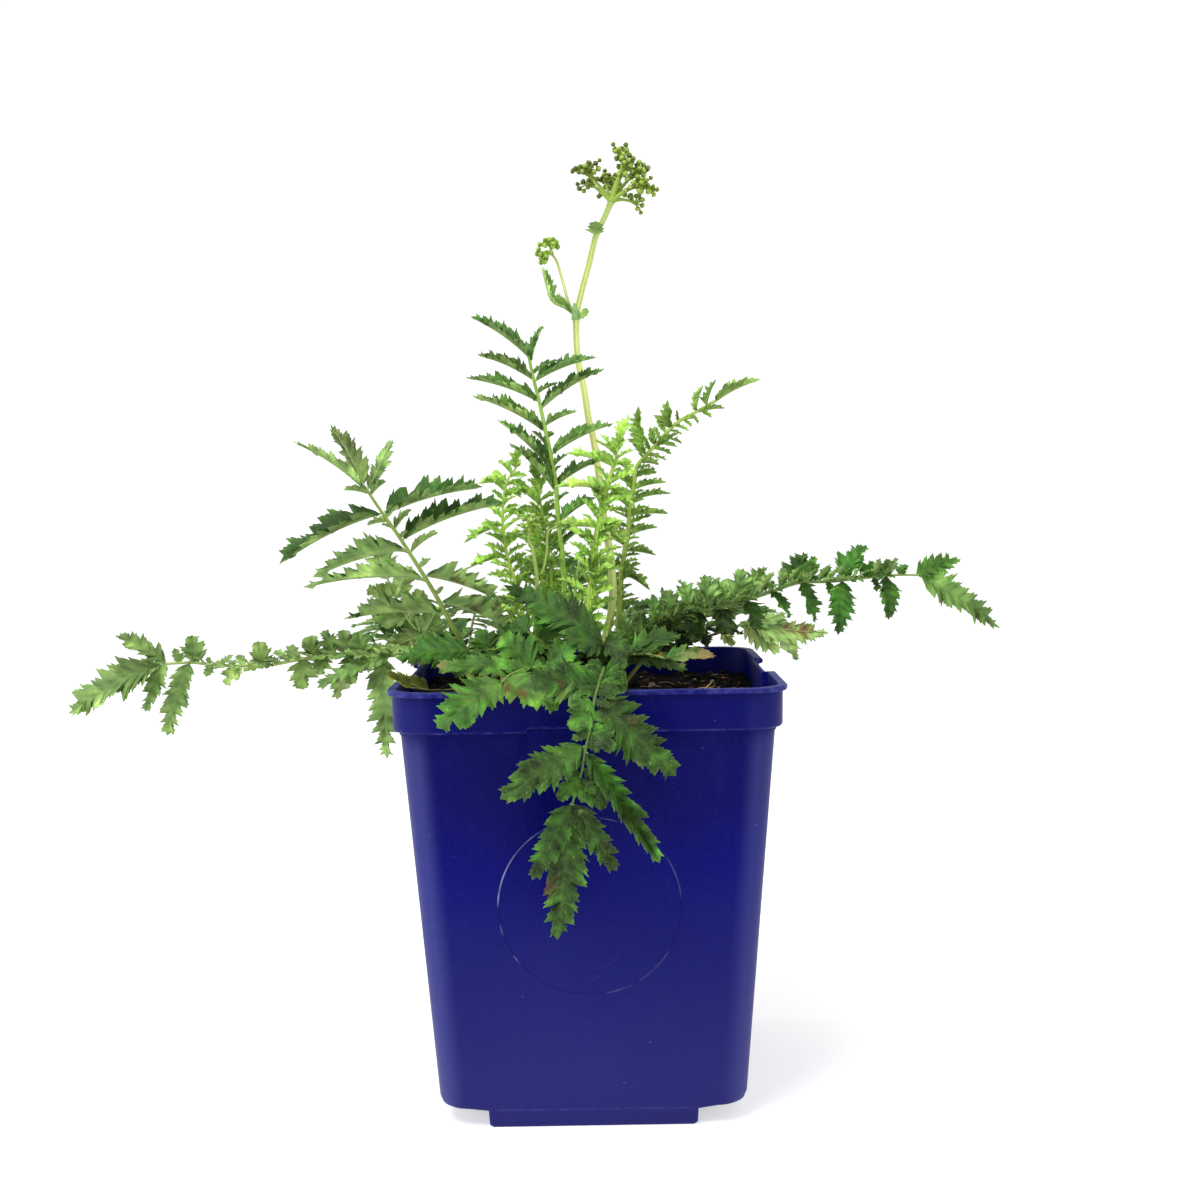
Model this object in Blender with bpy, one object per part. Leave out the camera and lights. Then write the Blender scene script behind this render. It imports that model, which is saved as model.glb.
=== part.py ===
"""A flowering meadowsweet in a square nursery pot.

Metres, +Z up.  The origin is on the ground under the middle of the pot, and the
front of the pot looks along -Y.  Working sizes below are in millimetres.
"""
import math

import bmesh
import bpy
import numpy as np
from mathutils import Matrix, Vector
from mathutils.bvhtree import BVHTree

# ---------------------------------------------------------------- driving sizes
LIP_WIDTH = 152.0        # across the lip, the widest part of the pot
POT_HEIGHT = 172.5
WALL = 1.4
BAND_WIDTH = 148.4       # across the band under the lip
BAND_DEPTH = 17.0        # lip top to the band's lower edge
BODY_TOP = 142.6         # across the body just under the band
BODY_FOOT = 121.2        # across the body at the bottom
CORNER_R = 12.0
FOOT_LIFT = 7.0          # how far the corners of the bottom stand off the ground
FOOT_X = 41.0            # half length of the front and back arms of the foot
FOOT_Y = 31.0            # half length of the arms at the sides
GAP_HALF = 22.0          # half width of the plain part in the middle of each side
GAP_BAND = 14.0          # lip top to the band's lower edge there
SOIL_LEVEL = 158.9
CLEAR = 0.35             # kept between pieces that touch
HOLE_R = 4.5


# ---------------------------------------------------------------- plant layout
# Everything in this block is in millimetres, +Z up, with the origin on the ground
# under the middle of the pot.  The plant is set out as it is seen from in front:
# a station is given by its place across and down a square view 1200 units wide,
# and by its depth (Y).  EYE, REACH and the three small angles fix that view.
EYE = (3.31, -633.82, 247.19)
REACH = 1519.3
PITCH = math.radians(4.198)
YAW = math.radians(0.198)
ROLL = math.radians(-0.838)


def view_axes():
    cy, sy = math.cos(YAW), math.sin(YAW)
    cp, sp = math.cos(PITCH), math.sin(PITCH)
    fwd = Vector((sy * cp, cy * cp, -sp))
    right = Vector((cy, -sy, 0.0))
    up = right.cross(fwd)
    cr, sr = math.cos(ROLL), math.sin(ROLL)
    return fwd, cr * right + sr * up, cr * up - sr * right


FWD, RIGHT, UP = view_axes()


def p(u, v, y):
    """Point at depth y that is seen u across and v down."""
    d = FWD + RIGHT * ((u - 600.0) / REACH) + UP * ((600.0 - v) / REACH)
    return Vector(EYE) + d * ((y - EYE[1]) / d.y)


def m(x, y, z):
    return Vector((x, y, z))


# crown: a low lumpy ellipsoid, half buried
CROWN_C = (-18.0, -1.0, 158.5)
CROWN_R = (40.0, 15.0, 8.5)


def on_crown(x, y, lift=0.95):
    q = 1.0 - ((x - CROWN_C[0]) / CROWN_R[0]) ** 2 - ((y - CROWN_C[1]) / CROWN_R[1]) ** 2
    return Vector((x, y, CROWN_C[2] + CROWN_R[2] * 1.06 * math.sqrt(max(q, 0.0)) + lift))


def smooth_path(points, step=1.0):
    """Centripetal Catmull-Rom curve through the points, as a list of positions
    about `step` apart, with the running length of each."""
    pts = [Vector(q) for q in points]
    ext = [pts[0] * 2 - pts[1]] + pts + [pts[-1] * 2 - pts[-2]]
    out = []
    for i in range(1, len(ext) - 2):
        p0, p1, p2, p3 = ext[i - 1], ext[i], ext[i + 1], ext[i + 2]
        t0 = 0.0
        t1 = t0 + max((p1 - p0).length, 1e-6) ** 0.5
        t2 = t1 + max((p2 - p1).length, 1e-6) ** 0.5
        t3 = t2 + max((p3 - p2).length, 1e-6) ** 0.5
        n = max(2, int(round((p2 - p1).length / step)))
        for k in range(n):
            t = t1 + (t2 - t1) * k / n
            a1 = p0 * ((t1 - t) / (t1 - t0)) + p1 * ((t - t0) / (t1 - t0))
            a2 = p1 * ((t2 - t) / (t2 - t1)) + p2 * ((t - t1) / (t2 - t1))
            a3 = p2 * ((t3 - t) / (t3 - t2)) + p3 * ((t - t2) / (t3 - t2))
            b1 = a1 * ((t2 - t) / (t2 - t0)) + a2 * ((t - t0) / (t2 - t0))
            b2 = a2 * ((t3 - t) / (t3 - t1)) + a3 * ((t - t1) / (t3 - t1))
            out.append(b1 * ((t2 - t) / (t2 - t1)) + b2 * ((t - t1) / (t2 - t1)))
    out.append(pts[-1].copy())
    run = [0.0]
    for a, b in zip(out, out[1:]):
        run.append(run[-1] + (b - a).length)
    return out, run


class Curve:
    def __init__(self, points, step=1.0):
        self.pts, self.run = smooth_path(points, step)
        self.length = self.run[-1]

    def at(self, s):
        s = min(max(s, 0.0), self.length)
        lo, hi = 0, len(self.run) - 1
        while hi - lo > 1:
            mid = (lo + hi) // 2
            if self.run[mid] <= s:
                lo = mid
            else:
                hi = mid
        w = (s - self.run[lo]) / max(self.run[hi] - self.run[lo], 1e-9)
        return self.pts[lo].lerp(self.pts[hi], w)

    def tangent(self, s, d=1.5):
        return (self.at(s + d) - self.at(s - d)).normalized()

    def nearest_seen(self, u, v):
        """Running length whose place in the view is nearest to (u, v)."""
        best, where = 1e18, 0.0
        for q, s in zip(self.pts, self.run):
            d = q - Vector(EYE)
            f = d.dot(FWD)
            uu = 600.0 + REACH * d.dot(RIGHT) / f
            vv = 600.0 - REACH * d.dot(UP) / f
            e = (uu - u) ** 2 + (vv - v) ** 2
            if e < best:
                best, where = e, s
        return where

    def nearest(self, q):
        best, where = 1e18, 0.0
        for a, s in zip(self.pts, self.run):
            e = (a - q).length_squared
            if e < best:
                best, where = e, s
        return where


def square_up(hint, along):
    """The unit vector nearest to `hint` that is square to `along`."""
    n = Vector(hint) - along * along.dot(Vector(hint))
    if n.length < 1e-4:
        n = along.orthogonal()
    return n.normalized()


# Leaves.  path: stations of the rachis from the crown outwards.  face: the side the
# rachis turns up.  up: the way the leaflets' upper faces look.  fold: how far the two
# halves of a leaflet are folded up from flat, in degrees.  Each leaflet is
# (base u, base v, tip u, tip v, tip depth minus base depth, full width[, options]).
# tint and young steer colour only.
def leaf_table():
    L = []

    def leaf(name, path, leaflets, tip, face=(0, 0, 1), up=(0, 0, 1), fold=28.0, rw=(1.0, 0.45),
             tint=0.0, young=0.0, auto=None, age=0.0):
        L.append(dict(name=name, path=path, leaflets=leaflets, tip=tip, face=Vector(face), up=Vector(up),
                      fold=fold, rw=rw, tint=tint, young=young, auto=auto, age=age))

    leaf("leaf_tall",
         [on_crown(-12, -4), p(566, 640, -5), p(565, 612, -6), p(564.3, 584.6, -6), p(561.9, 551, -6),
          p(557.3, 507, -6), p(555.8, 484, -6), p(550.4, 453.6, -6), p(544.3, 425, -6), p(538.9, 400, -6),
          p(533.4, 378, -6), p(528.6, 356, -6)],
         [(533, 379, 477, 354.5, -3, 7.2), (537, 399.5, 465.7, 377.5, -3, 7.6), (542.5, 431, 472, 395.6, -3, 8.4),
          (549, 470, 497, 419.5, -4, 8.6), (553.5, 490, 509, 443, -5, 7.6),
          (536, 381, 597, 357, 2, 6.8), (542.5, 407, 604.5, 368.5, 2, 7.6), (546, 424, 577, 411, 2, 5.0),
          (553, 453, 613, 423.5, 2, 7.6), (557, 485, 601, 459.5, 2, 7.0), (560, 520, 596, 497, 1, 6.4),
          (547.5, 447, 529.5, 433.5, -1, 3.4), (533, 372, 558, 360, 1, 3.4), (540, 391, 558, 383, 1, 3.2),
          (549, 437, 553.5, 432, 0, 2.5), (554, 465, 567.6, 454, 1, 3.2), (556.5, 478, 549, 474, 0, 2.5),
          (562, 545, 580, 530, 1, 4), (562, 552, 543, 540, -1, 4),
          (530, 362, 543, 325.5, 1, 5.0)],
         (470.6, 316.6, -4, 7.8),
         face=(0, -1, 0.2), up=(-0.05, -0.34, 1), fold=46.0, rw=(1.15, 0.5))

    leaf("leaf_young_centre",
         [on_crown(-3, -8), p(589, 640, -13), p(589, 612, -15), p(590.5, 588, -15), p(594, 567, -15),
          p(595.4, 548, -15), p(597.3, 529, -15), p(601.3, 513, -15), p(606, 491.8, -15),
          p(609.7, 476.5, -14), p(615, 463.5, -13), p(617.8, 445.9, -12)],
         [(613.6, 466, 566, 453, -3, 6), (607, 489, 554, 487, -3, 6.5), (598.5, 527, 550, 529, -3, 6),
          (596, 552, 574, 560, -2, 5), (594, 573, 580, 541, -2, 5), (615.5, 462, 635, 476.5, -2, 5),
          (608, 487, 636.5, 509, -2, 6), (598.5, 525, 630, 546, -2, 6), (595.5, 558, 616, 569, -2, 5),
          (618, 450, 629, 414, 1, 6), (617, 453, 600, 434, -1, 3), (604, 502, 592, 482, -1, 4),
          (602, 508, 618, 512, -1, 4), (597, 540, 585, 530, -1, 3), (596.5, 538, 610, 536, -1, 3),
          (592, 583, 575, 566, -2, 4), (591, 588, 606, 575, -1, 4)],
         (604.5, 397, 1, 4.5),
         face=(0, -1, 0.1), up=(0.0, -0.35, 1), fold=40.0, rw=(1.25, 0.4), young=1.0)

    leaf("leaf_upper_right",
         [on_crown(8, 6), p(617, 650, 14), p(619, 620, 15), p(619.5, 600, 16), p(621, 575, 17), p(625, 550, 17),
          p(628.4, 532, 17), p(629, 519.6, 17), p(631, 499.5, 17), p(633.4, 488, 17), p(635, 476.5, 17),
          p(637, 466, 17), p(644, 457.4, 17), p(655.6, 445, 17), p(668.6, 430.6, 17), p(680, 420.5, 17),
          p(694, 413, 17), p(715, 401, 16)],
         [(645, 456, 638.4, 406, 2, 7), (670, 429, 667.5, 400, 2, 7), (656, 444.5, 655, 426, 1, 4),
          (697, 411.5, 703, 385, 2, 5), (707, 405.5, 716, 379, 2, 5),
          (641, 460, 659, 464.5, -2, 4.5), (655, 446, 679, 433, -1, 5), (684, 418, 698, 418, -1, 3.5),
          (699, 411, 725, 408, -1, 4),
          (636, 473, 657, 472, -2, 4), (633.8, 487, 666.4, 482, -2, 5), (631.5, 499, 671.7, 493, -2, 5),
          (629.5, 516, 668.5, 513.5, -2, 5), (628.2, 534, 658, 527, -2, 5), (625, 551, 656, 555, -3, 5.5),
          (621.5, 572, 650, 590, -3, 6), (634, 484, 619, 476, 2, 4), (629.5, 513, 611, 508, 2, 4),
          (626, 545, 606, 536, 2, 4.5), (622, 566, 603, 560, 2, 4.5)],
         (761, 379, 0, 7),
         face=(0, -1, 0.1), up=(-0.25, -0.1, 1), fold=45.0, rw=(1.1, 0.45), young=0.55)

    leaf("leaf_young_left",
         [on_crown(-30, 1), p(525.5, 640, 1), p(522, 612, 1), p(519, 594, 1), p(512, 572, 1), p(506.4, 553, 1),
          p(504, 534, 1), p(502.5, 519.6, 1), p(503, 507, 1), p(504.5, 492, 1), p(508.3, 479, 1),
          p(516, 468, 1)],
         [(513, 473, 497.6, 460.5, -1, 4), (507, 484, 478, 483, -2, 6), (503.2, 524, 464, 543, -3, 6),
          (506.4, 556, 466, 569, -3, 6), (503.5, 538, 494, 535, -1, 2.5), (505.5, 550, 497, 548, -1, 2.5),
          (513, 574, 502, 570, -1, 3), (507.5, 482, 533.6, 495.7, -2, 5.5), (505, 489, 522, 498, -1, 3),
          (504, 497, 512, 494, -1, 2.5), (503, 510, 529, 520, -2, 6), (505, 543, 524, 534, -2, 4.5),
          (509, 563, 524, 556, -2, 4.5), (516, 583, 532, 574, -2, 4.5), (503, 504, 495, 500, -1, 2.5)],
         (520, 447, 1, 5),
         face=(0, -1, 0.1), up=(0.0, -0.3, 1), fold=42.0, rw=(1.0, 0.4), young=1.0)

    leaf("leaf_left_arching",
         [on_crown(-45, -6), p(474, 668, -20), p(462, 643, -26), p(448, 618, -31), p(434.5, 593, -35),
          p(416, 563, -40), p(398, 535, -43), p(379, 508, -46), p(364, 485.5, -48.5)],
         [(366, 488, 293, 441.5, -4, 6.4, dict(up=(-0.15, 0.2, 0.93), fold=32, end=0.10)),
          (367, 489, 393.5, 438.5, 2, 4.6, dict(up=(0.3, 0.5, 0.8), fold=16, end=0.06)),
          (369, 492, 344, 489.5, -2, 4.6), (370, 493, 386, 481, 2, 4.5),
          (380, 513, 279.5, 564, -6, 13.0, dict(up=(0.1, -0.28, 0.95), fold=42, end=0.3)), (386, 520, 367, 525, -1, 4.5),
          (404.6, 548, 313, 577, -6, 14), (423, 577, 303.6, 587, -5, 13), (443, 612, 344, 619, -5, 14),
          (386, 511, 482.5, 487, 4, 13.5, dict(up=(0.1, -0.28, 0.95), fold=42, end=0.34)),
          (394, 527, 411.5, 509, 1, 5),
          (402, 540, 503, 503, 4, 14, dict(up=(0.1, -0.28, 0.95), fold=42, end=0.34)),
          (409, 551, 438, 532, 2, 5), (424, 574, 507, 604, 2, 14), (440, 602, 522, 620, 3, 15)],
         (322.5, 428, -2, 9.6, dict(up=(0.02, 0.55, 0.8), fold=12, end=0.16)),
         face=(0.25, 0.75, 0.55), up=(0.15, 0.35, 0.9), fold=32.0, rw=(1.3, 0.55), age=0.35)

    leaf("leaf_long_left",
         [on_crown(-46, 4), p(462, 668, 6), p(440, 657, 6), p(411, 654, 6), p(380, 655.5, 6), p(340, 655.5, 6),
          p(295, 660, 6), p(269, 665, 6), p(215, 665, 5), p(192, 662.5, 4), p(163, 664, 2)],
         [(158, 664, 115.6, 635, -2, 9), (157, 665, 145, 712, -6, 8), (189, 663, 167, 736, -9, 9),
          (180, 663, 174, 648, 1, 4), (196, 663, 192, 635, 2, 8), (222, 665, 233, 655, 1, 4),
          (262, 664, 258, 641, 2, 7), (290, 660.5, 293, 644, 2, 5), (312, 658, 312, 635, 2, 8),
          (240, 665, 225, 685, -5, 7), (270, 664, 259, 668, -3, 3.5), (213, 665, 206, 677, -3, 4),
          (302, 659, 303, 690, -6, 9), (326, 656.5, 319, 677, -5, 8), (352, 655.5, 350, 685, -6, 8),
          (348, 655.5, 343, 629.5, 3, 8), (334, 655.5, 322, 631, 3, 7), (362, 655.5, 358, 632, 4, 7),
          (383, 655.5, 387, 759, -11, 11), (393, 655, 317, 688, -14, 9)],
         (78, 725, -6, 17),
         face=(0, 0, 1), up=(0.0, -0.55, 0.85), fold=14.0, rw=(1.1, 0.5), tint=0.65)

    leaf("leaf_long_right",
         [on_crown(13, -1), p(624, 652, 1), p(650, 630, 2), p(686, 614, 3), p(723, 607, 4), p(771, 592, 5),
          p(798, 583, 5), p(830, 581.6, 5), p(868, 577.6, 4), p(897, 575, 3), p(919, 575, 2)],
         [(796, 584, 803.5, 552, 4, 11), (808, 583, 815, 556, 3, 5), (842, 580, 866.5, 545, 3, 11.5),
          (866, 578, 873, 561, 2, 6), (884, 576.5, 890, 559, 2, 6), (900, 575, 906, 564, 2, 5),
          (750, 599, 764, 566, 6, 9), (736, 604, 744, 570, 6, 9), (722, 607.5, 724, 574, 7, 9),
          (707, 610, 700, 577, 7, 9), (692, 613, 680, 579, 7, 9), (676, 618.5, 662, 588, 6, 9),
          (800, 583, 815, 623, -4, 8), (842, 580, 838, 635, -5, 9), (886, 576, 889, 620, -5, 7),
          (828, 582, 831, 596, -2, 4), (874, 577.5, 877, 592, -2, 3.5), (772, 592, 790, 618, -5, 7),
          (746, 601, 757, 630, -6, 8), (722, 607, 722, 636, -7, 9), (697, 612, 690, 642, -7, 9),
          (672, 620, 656, 646, -7, 9), (922, 575.5, 961, 559, 2, 8, dict(up=(0.1, -0.8, 0.5), fold=14))],
         (1000, 628, -4, 11.5, dict(up=(0.25, -0.85, 0.5), fold=12, end=0.26)),
         face=(0, 0, 1), up=(0.1, -0.25, 0.95), fold=24.0, rw=(1.2, 0.5))

    leaf("leaf_drooping_front",
         [on_crown(3, -10.5), p(604, 668, -40), p(600.5, 678, -66), p(598.5, 685, -81), p(594.5, 699, -88),
          p(590.6, 726, -92), p(584.5, 754, -93), p(582, 771, -92), p(576, 791, -90), p(571.5, 807, -88)],
         [(585.5, 747, 500, 799, -4, 10.8), (587, 752, 660, 863, -3, 10, dict(fold=56)),
          (594.5, 700, 676, 776, -4, 12.6), (598, 686, 530, 678, -7, 12.5), (594, 703, 570, 730, -4, 8),
          (592, 716, 579, 743, -3, 6), (590, 731, 615, 752, -3, 6), (579, 782, 606, 808, -3, 7),
          (600, 680, 641, 691, -6, 11), (581, 775, 558, 800, -3, 5),
          (571, 809, 532, 880, -3, 8), (572, 806, 617, 871, -3, 7.2)],
         (557, 951, 3, 11.2),
         face=(0.05, -0.9, 0.45), up=(0.05, -0.93, 0.3), fold=12.0, rw=(1.15, 0.5), tint=-0.05, age=0.15)

    leaf("leaf_front_left",
         [on_crown(-15, -10), p(560, 668, -38), p(530, 668, -54), p(510, 675, -66), p(502, 682, -72)],
         [(504, 681, 558, 725, -8, 11.5), (520, 670, 436, 666, -1, 8.5), (534, 667, 500, 636, 4, 11),
          (548, 667, 577, 640, 4, 9)],
         (442, 742, -7, 13.6),
         face=(0.0, -0.4, 0.9), up=(0.05, -0.7, 0.7), fold=10.0, rw=(1.1, 0.55), tint=0.75, age=0.3)

    leaf("leaf_front_centre",
         [on_crown(-6, -12), p(588, 670, -26), p(604, 655, -34), p(604, 640, -38)],
         [(603, 637, 560, 641, -6, 10), (604, 641, 633, 655, -4, 9)],
         (505, 576, 3, 12.8),
         face=(0.2, -0.8, 0.6), up=(0.2, -0.86, 0.45), fold=8.0, rw=(1.1, 0.6), tint=0.0)

    leaf("leaf_low_left",
         [on_crown(-24, -7.5), p(548, 665, -24), p(520, 655, -32), p(500, 650, -37), p(470, 651, -40)],
         [(506, 650, 520, 625, 4, 10), (488, 650, 480, 628, 4, 8), (524, 657, 548, 632, 4, 10),
          (480, 650, 455, 678, -7, 8)],
         (396, 658, -4, 13),
         face=(0.0, -0.3, 0.95), up=(0.0, -0.6, 0.8), fold=12.0, rw=(1.0, 0.5), tint=0.2, age=0.2)

    leaf("leaf_low_back_left",
         [on_crown(-36, 8), p(500, 664, 22), p(470, 650, 30), p(440, 640, 36), p(405, 636, 40), p(375, 640, 42)],
         [(452, 643, 466, 618, 4, 9), (430, 638, 430, 612, 4, 9), (408, 636, 398, 606, 4, 9),
          (460, 646, 446, 664, -4, 8), (436, 640, 425, 658, -4, 8), (412, 637, 398, 654, -4, 7),
          (390, 638, 372, 612, 3, 8)],
         (352, 646, -2, 11),
         face=(0, 0, 1), up=(0.0, -0.2, 1), fold=20.0, rw=(1.0, 0.45), tint=0.0)

    leaf("leaf_right_front",
         [on_crown(7, -7.5), p(613, 664, -22), p(625, 656, -30), p(645, 654, -37), p(664, 658, -42)],
         [(630, 654, 681, 634, 3, 12), (620, 657, 688, 670, -8, 9)],
         (716, 656, -2, 9),
         face=(0, -0.2, 1), up=(0.0, -0.45, 0.9), fold=16.0, rw=(1.0, 0.5), age=0.3)

    leaf("leaf_right_pale",
         [on_crown(3, 10), p(625, 658, 23), p(655, 652, 28), p(685, 643, 33), p(718, 633, 37), p(748, 622, 40)],
         [(752, 622, 780, 653, -3, 9), (750, 621, 786, 613, 2, 6), (722, 632, 735, 645, -3, 5),
          (700, 638, 697, 620, 2, 7), (680, 644, 672, 660, -3, 7)],
         (829, 633, -1, 12),
         face=(0, 0, 1), up=(0.0, 0.6, -0.8), fold=10.0, rw=(1.2, 0.6), tint=0.6, age=0.35)

    leaf("leaf_yellowing",
         [on_crown(-50, -2), p(449, 690, -24), p(428, 690, -44), p(412, 687.5, -58)],
         [(430, 690, 404, 677, -2, 4.4)],
         (386, 672.5, -3, 4.6),
         face=(0, 0, 1), up=(0.1, -0.6, 0.8), fold=20.0, rw=(0.8, 0.45), age=1.0)

    leaf("leaf_left_pale",
         [on_crown(-41, 1), p(466, 660, 14), p(438, 646, 20), p(415, 628, 24), p(400, 606, 26), p(388, 580, 27)],
         [(438, 646, 410, 668, -4, 9), (424, 636, 440, 606, 4, 9), (424, 636, 385, 650, -4, 9),
          (408, 618, 424, 590, 4, 9), (408, 618, 372, 622, -4, 9), (395, 594, 412, 566, 3, 8),
          (396, 596, 366, 590, -3, 8)],
         (374, 545, -2, 11),
         face=(0.1, 0.4, 0.8), up=(0.1, 0.75, 0.5), fold=12.0, rw=(1.0, 0.45), tint=0.8, age=0.15)

    leaf("leaf_right_dark",
         [on_crown(11, 5), p(640, 645, 12), p(662, 636, 16), p(690, 630, 19), p(715, 628, 21)],
         [(650, 641, 640, 612, 4, 10), (652, 640, 660, 660, -4, 10), (670, 634, 664, 603, 4, 10),
          (674, 633, 684, 655, -4, 9), (692, 630, 690, 602, 4, 9), (697, 629, 708, 648, -3, 8)],
         (744, 634, -2, 10),
         face=(0, -0.1, 1), up=(0.1, -0.25, 1), fold=18.0, rw=(1.0, 0.45), tint=-0.7)

    leaf("leaf_front_low",
         [on_crown(-19.5, -9.2), p(557, 654, -26), p(543, 643, -37), p(528, 632, -42)],
         [(545, 645, 562, 616, 4, 12), (538, 639, 503, 652, -4, 11)],
         (512, 620, 2, 9.5),
         face=(0.0, -0.6, 0.8), up=(0.1, -0.8, 0.6), fold=10.0, rw=(1.0, 0.55), tint=0.1)

    leaf("leaf_young_middle",
         [on_crown(-12, 1), p(556, 640, 2), p(554, 610, 3), p(551, 575, 3), p(547, 540, 2), p(541, 505, 2),
          p(537, 480, 2)],
         [(541, 506, 523, 488, -2, 5), (545, 530, 524, 512, -2, 5), (550, 566, 528, 556, -2, 5),
          (548, 548, 566, 532, 2, 5), (543, 516, 558, 502, 2, 5), (552, 590, 570, 574, 2, 5),
          (538.5, 489, 548, 474, 2, 4)],
         (529, 452, 1, 5),
         face=(0, -1, 0.1), up=(0.0, -0.4, 1), fold=36.0, rw=(1.0, 0.4), young=0.75)

    # leaves behind, which bring the rosette round to the back
    leaf("leaf_back_left",
         [on_crown(-28, 9), m(-36, 34, 187), m(-47, 66, 196), m(-55, 94, 186), m(-60, 112, 160), m(-62, 120, 132)],
         [], None, up=(0, 0.1, 1), auto=(7, 27, 9.5, 0.30), fold=22.0, tint=-0.15)
    leaf("leaf_back_middle",
         [on_crown(-8, 10), m(-6, 40, 196), m(-4, 74, 212), m(-4, 108, 207), m(-5, 136, 186)],
         [], None, up=(0, 0.1, 1), auto=(8, 30, 10, 0.28), fold=24.0)
    leaf("leaf_back_right",
         [on_crown(-4, 10.5), m(11, 38, 187), m(26, 70, 193), m(36, 98, 182), m(42, 117, 156), m(44, 126, 126)],
         [], None, up=(0, 0.1, 1), auto=(7, 27, 9.5, 0.30), fold=22.0, tint=0.1)
    leaf("leaf_back_far_left",
         [on_crown(-41, 7.5), m(-62, 34, 184), m(-82, 58, 188), m(-102, 80, 180), m(-114, 94, 163)],
         [], None, up=(0, 0.1, 1), auto=(6, 24, 9, 0.34), fold=20.0, tint=0.1)
    leaf("leaf_back_far_right",
         [on_crown(14, 5), m(36, 30, 184), m(56, 52, 191), m(76, 72, 189), m(90, 88, 176)],
         [], None, up=(0, 0.1, 1), auto=(6, 23, 9, 0.34), fold=20.0)
    leaf("leaf_back_young",
         [on_crown(-18, 9), m(-19, 16, 196), m(-20, 24, 224), m(-21, 34, 243)],
         [], None, face=(0, -1, 0.3), up=(0, -0.2, 1), auto=(6, 15, 5.5, 0.34), fold=40.0, young=0.8)
    return L


def auto_leaflets(lf, cur, seed):
    """Evenly stepped pairs for a leaf given only by its path."""
    pairs, longest, width, start = lf["auto"]
    out = []
    rnd = Steps(seed)
    for k in range(pairs):
        f = (k + 0.5) / pairs
        s = cur.length * (start + (0.95 - start) * f)
        size = longest * (0.55 + 0.45 * math.sin(math.pi * min(1.0, 0.18 + 0.75 * f)))
        for side in (-1, 1):
            s2 = s + rnd.span(-1.2, 1.2)
            t = cur.tangent(s2)
            n = square_up(lf["face"], t)
            sd = t.cross(n)
            b = cur.at(s2)
            ang = math.radians(rnd.span(18, 34))
            d = (sd * side * math.cos(ang) + t * math.sin(ang) + Vector((0, 0, -1)) * rnd.span(0.0, 0.22)).normalized()
            ln = size * rnd.span(0.88, 1.1)
            out.append((s2, b + d * ln, width * rnd.span(0.85, 1.1), {}))
            if k < pairs - 1:
                s3 = s + cur.length * (0.95 - start) / pairs * 0.5
                out.append((s3, cur.at(s3) + (sd * side + t * 0.4).normalized() * rnd.span(4.0, 6.5), 3.0, {}))
    return out


class Steps:
    """A small repeatable number sequence, so that the plant is the same every time."""

    def __init__(self, seed):
        self.x = (seed * 2654435761 + 12345) & 0xFFFFFFFF

    def unit(self):
        self.x = (self.x * 1664525 + 1013904223) & 0xFFFFFFFF
        return (self.x >> 8) / 16777216.0

    def span(self, a, b):
        return a + (b - a) * self.unit()


class Blade:
    """One leaflet: a midrib from base to tip, and a surface folded along it."""

    def __init__(self, base, tip, up, width, fold, arch=0.10, opts=None):
        self.base, self.tip, self.up = base.copy(), tip.copy(), Vector(up)
        self.width, self.fold, self.arch = width, fold, arch
        self.opts = dict(opts or {})
        self.length = (tip - base).length
        self.path = Curve(self.opts["path"]) if "path" in self.opts else None
        a = (tip - base).normalized()
        n = square_up(self.up, a)
        # sweep: how far the midrib bows sideways, towards `bow`
        bow = square_up(self.opts.get("bow", (0, 0, 1)), a)
        self.ctrl = (base + tip) * 0.5 + n * (arch * self.length) + bow * (self.opts.get("sweep", 0.0) * self.length)

    def mid(self, f):
        if self.path:
            return self.path.at(f * self.path.length)
        return self.base * ((1 - f) ** 2) + self.ctrl * (2 * f * (1 - f)) + self.tip * (f * f)

    def frame(self, f):
        a = (self.mid(min(1.0, f + 0.02)) - self.mid(max(0.0, f - 0.02))).normalized()
        n = square_up(self.up, a)
        return a, n, a.cross(n)

    def point(self, f, x, lift=0.0):
        """A point at fraction f along the midrib and x across it (+ to the right)."""
        a, n, sd = self.frame(f)
        c, s = math.cos(math.radians(self.fold)), math.sin(math.radians(self.fold))
        return self.mid(f) + sd * (x * c) + n * (abs(x) * s + lift)

    def normal(self, f, side):
        a, n, sd = self.frame(f)
        c, s = math.cos(math.radians(self.fold)), math.sin(math.radians(self.fold))
        return (n * c - sd * (side * s)).normalized() if side else n

    def turned(self, pitch, yaw, scale):
        a = (self.tip - self.base)
        n = square_up(self.up, a.normalized())
        sd = a.normalized().cross(n)
        r = Matrix.Rotation(math.radians(pitch), 3, sd) @ Matrix.Rotation(math.radians(yaw), 3, n)
        return Blade(self.base, self.base + (r @ a) * scale, r @ self.up, self.width * (0.4 + 0.6 * scale),
                     self.fold, self.arch, self.opts)


SHAPE = ((0.30, 0.90), (0.68, 0.72))


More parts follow.
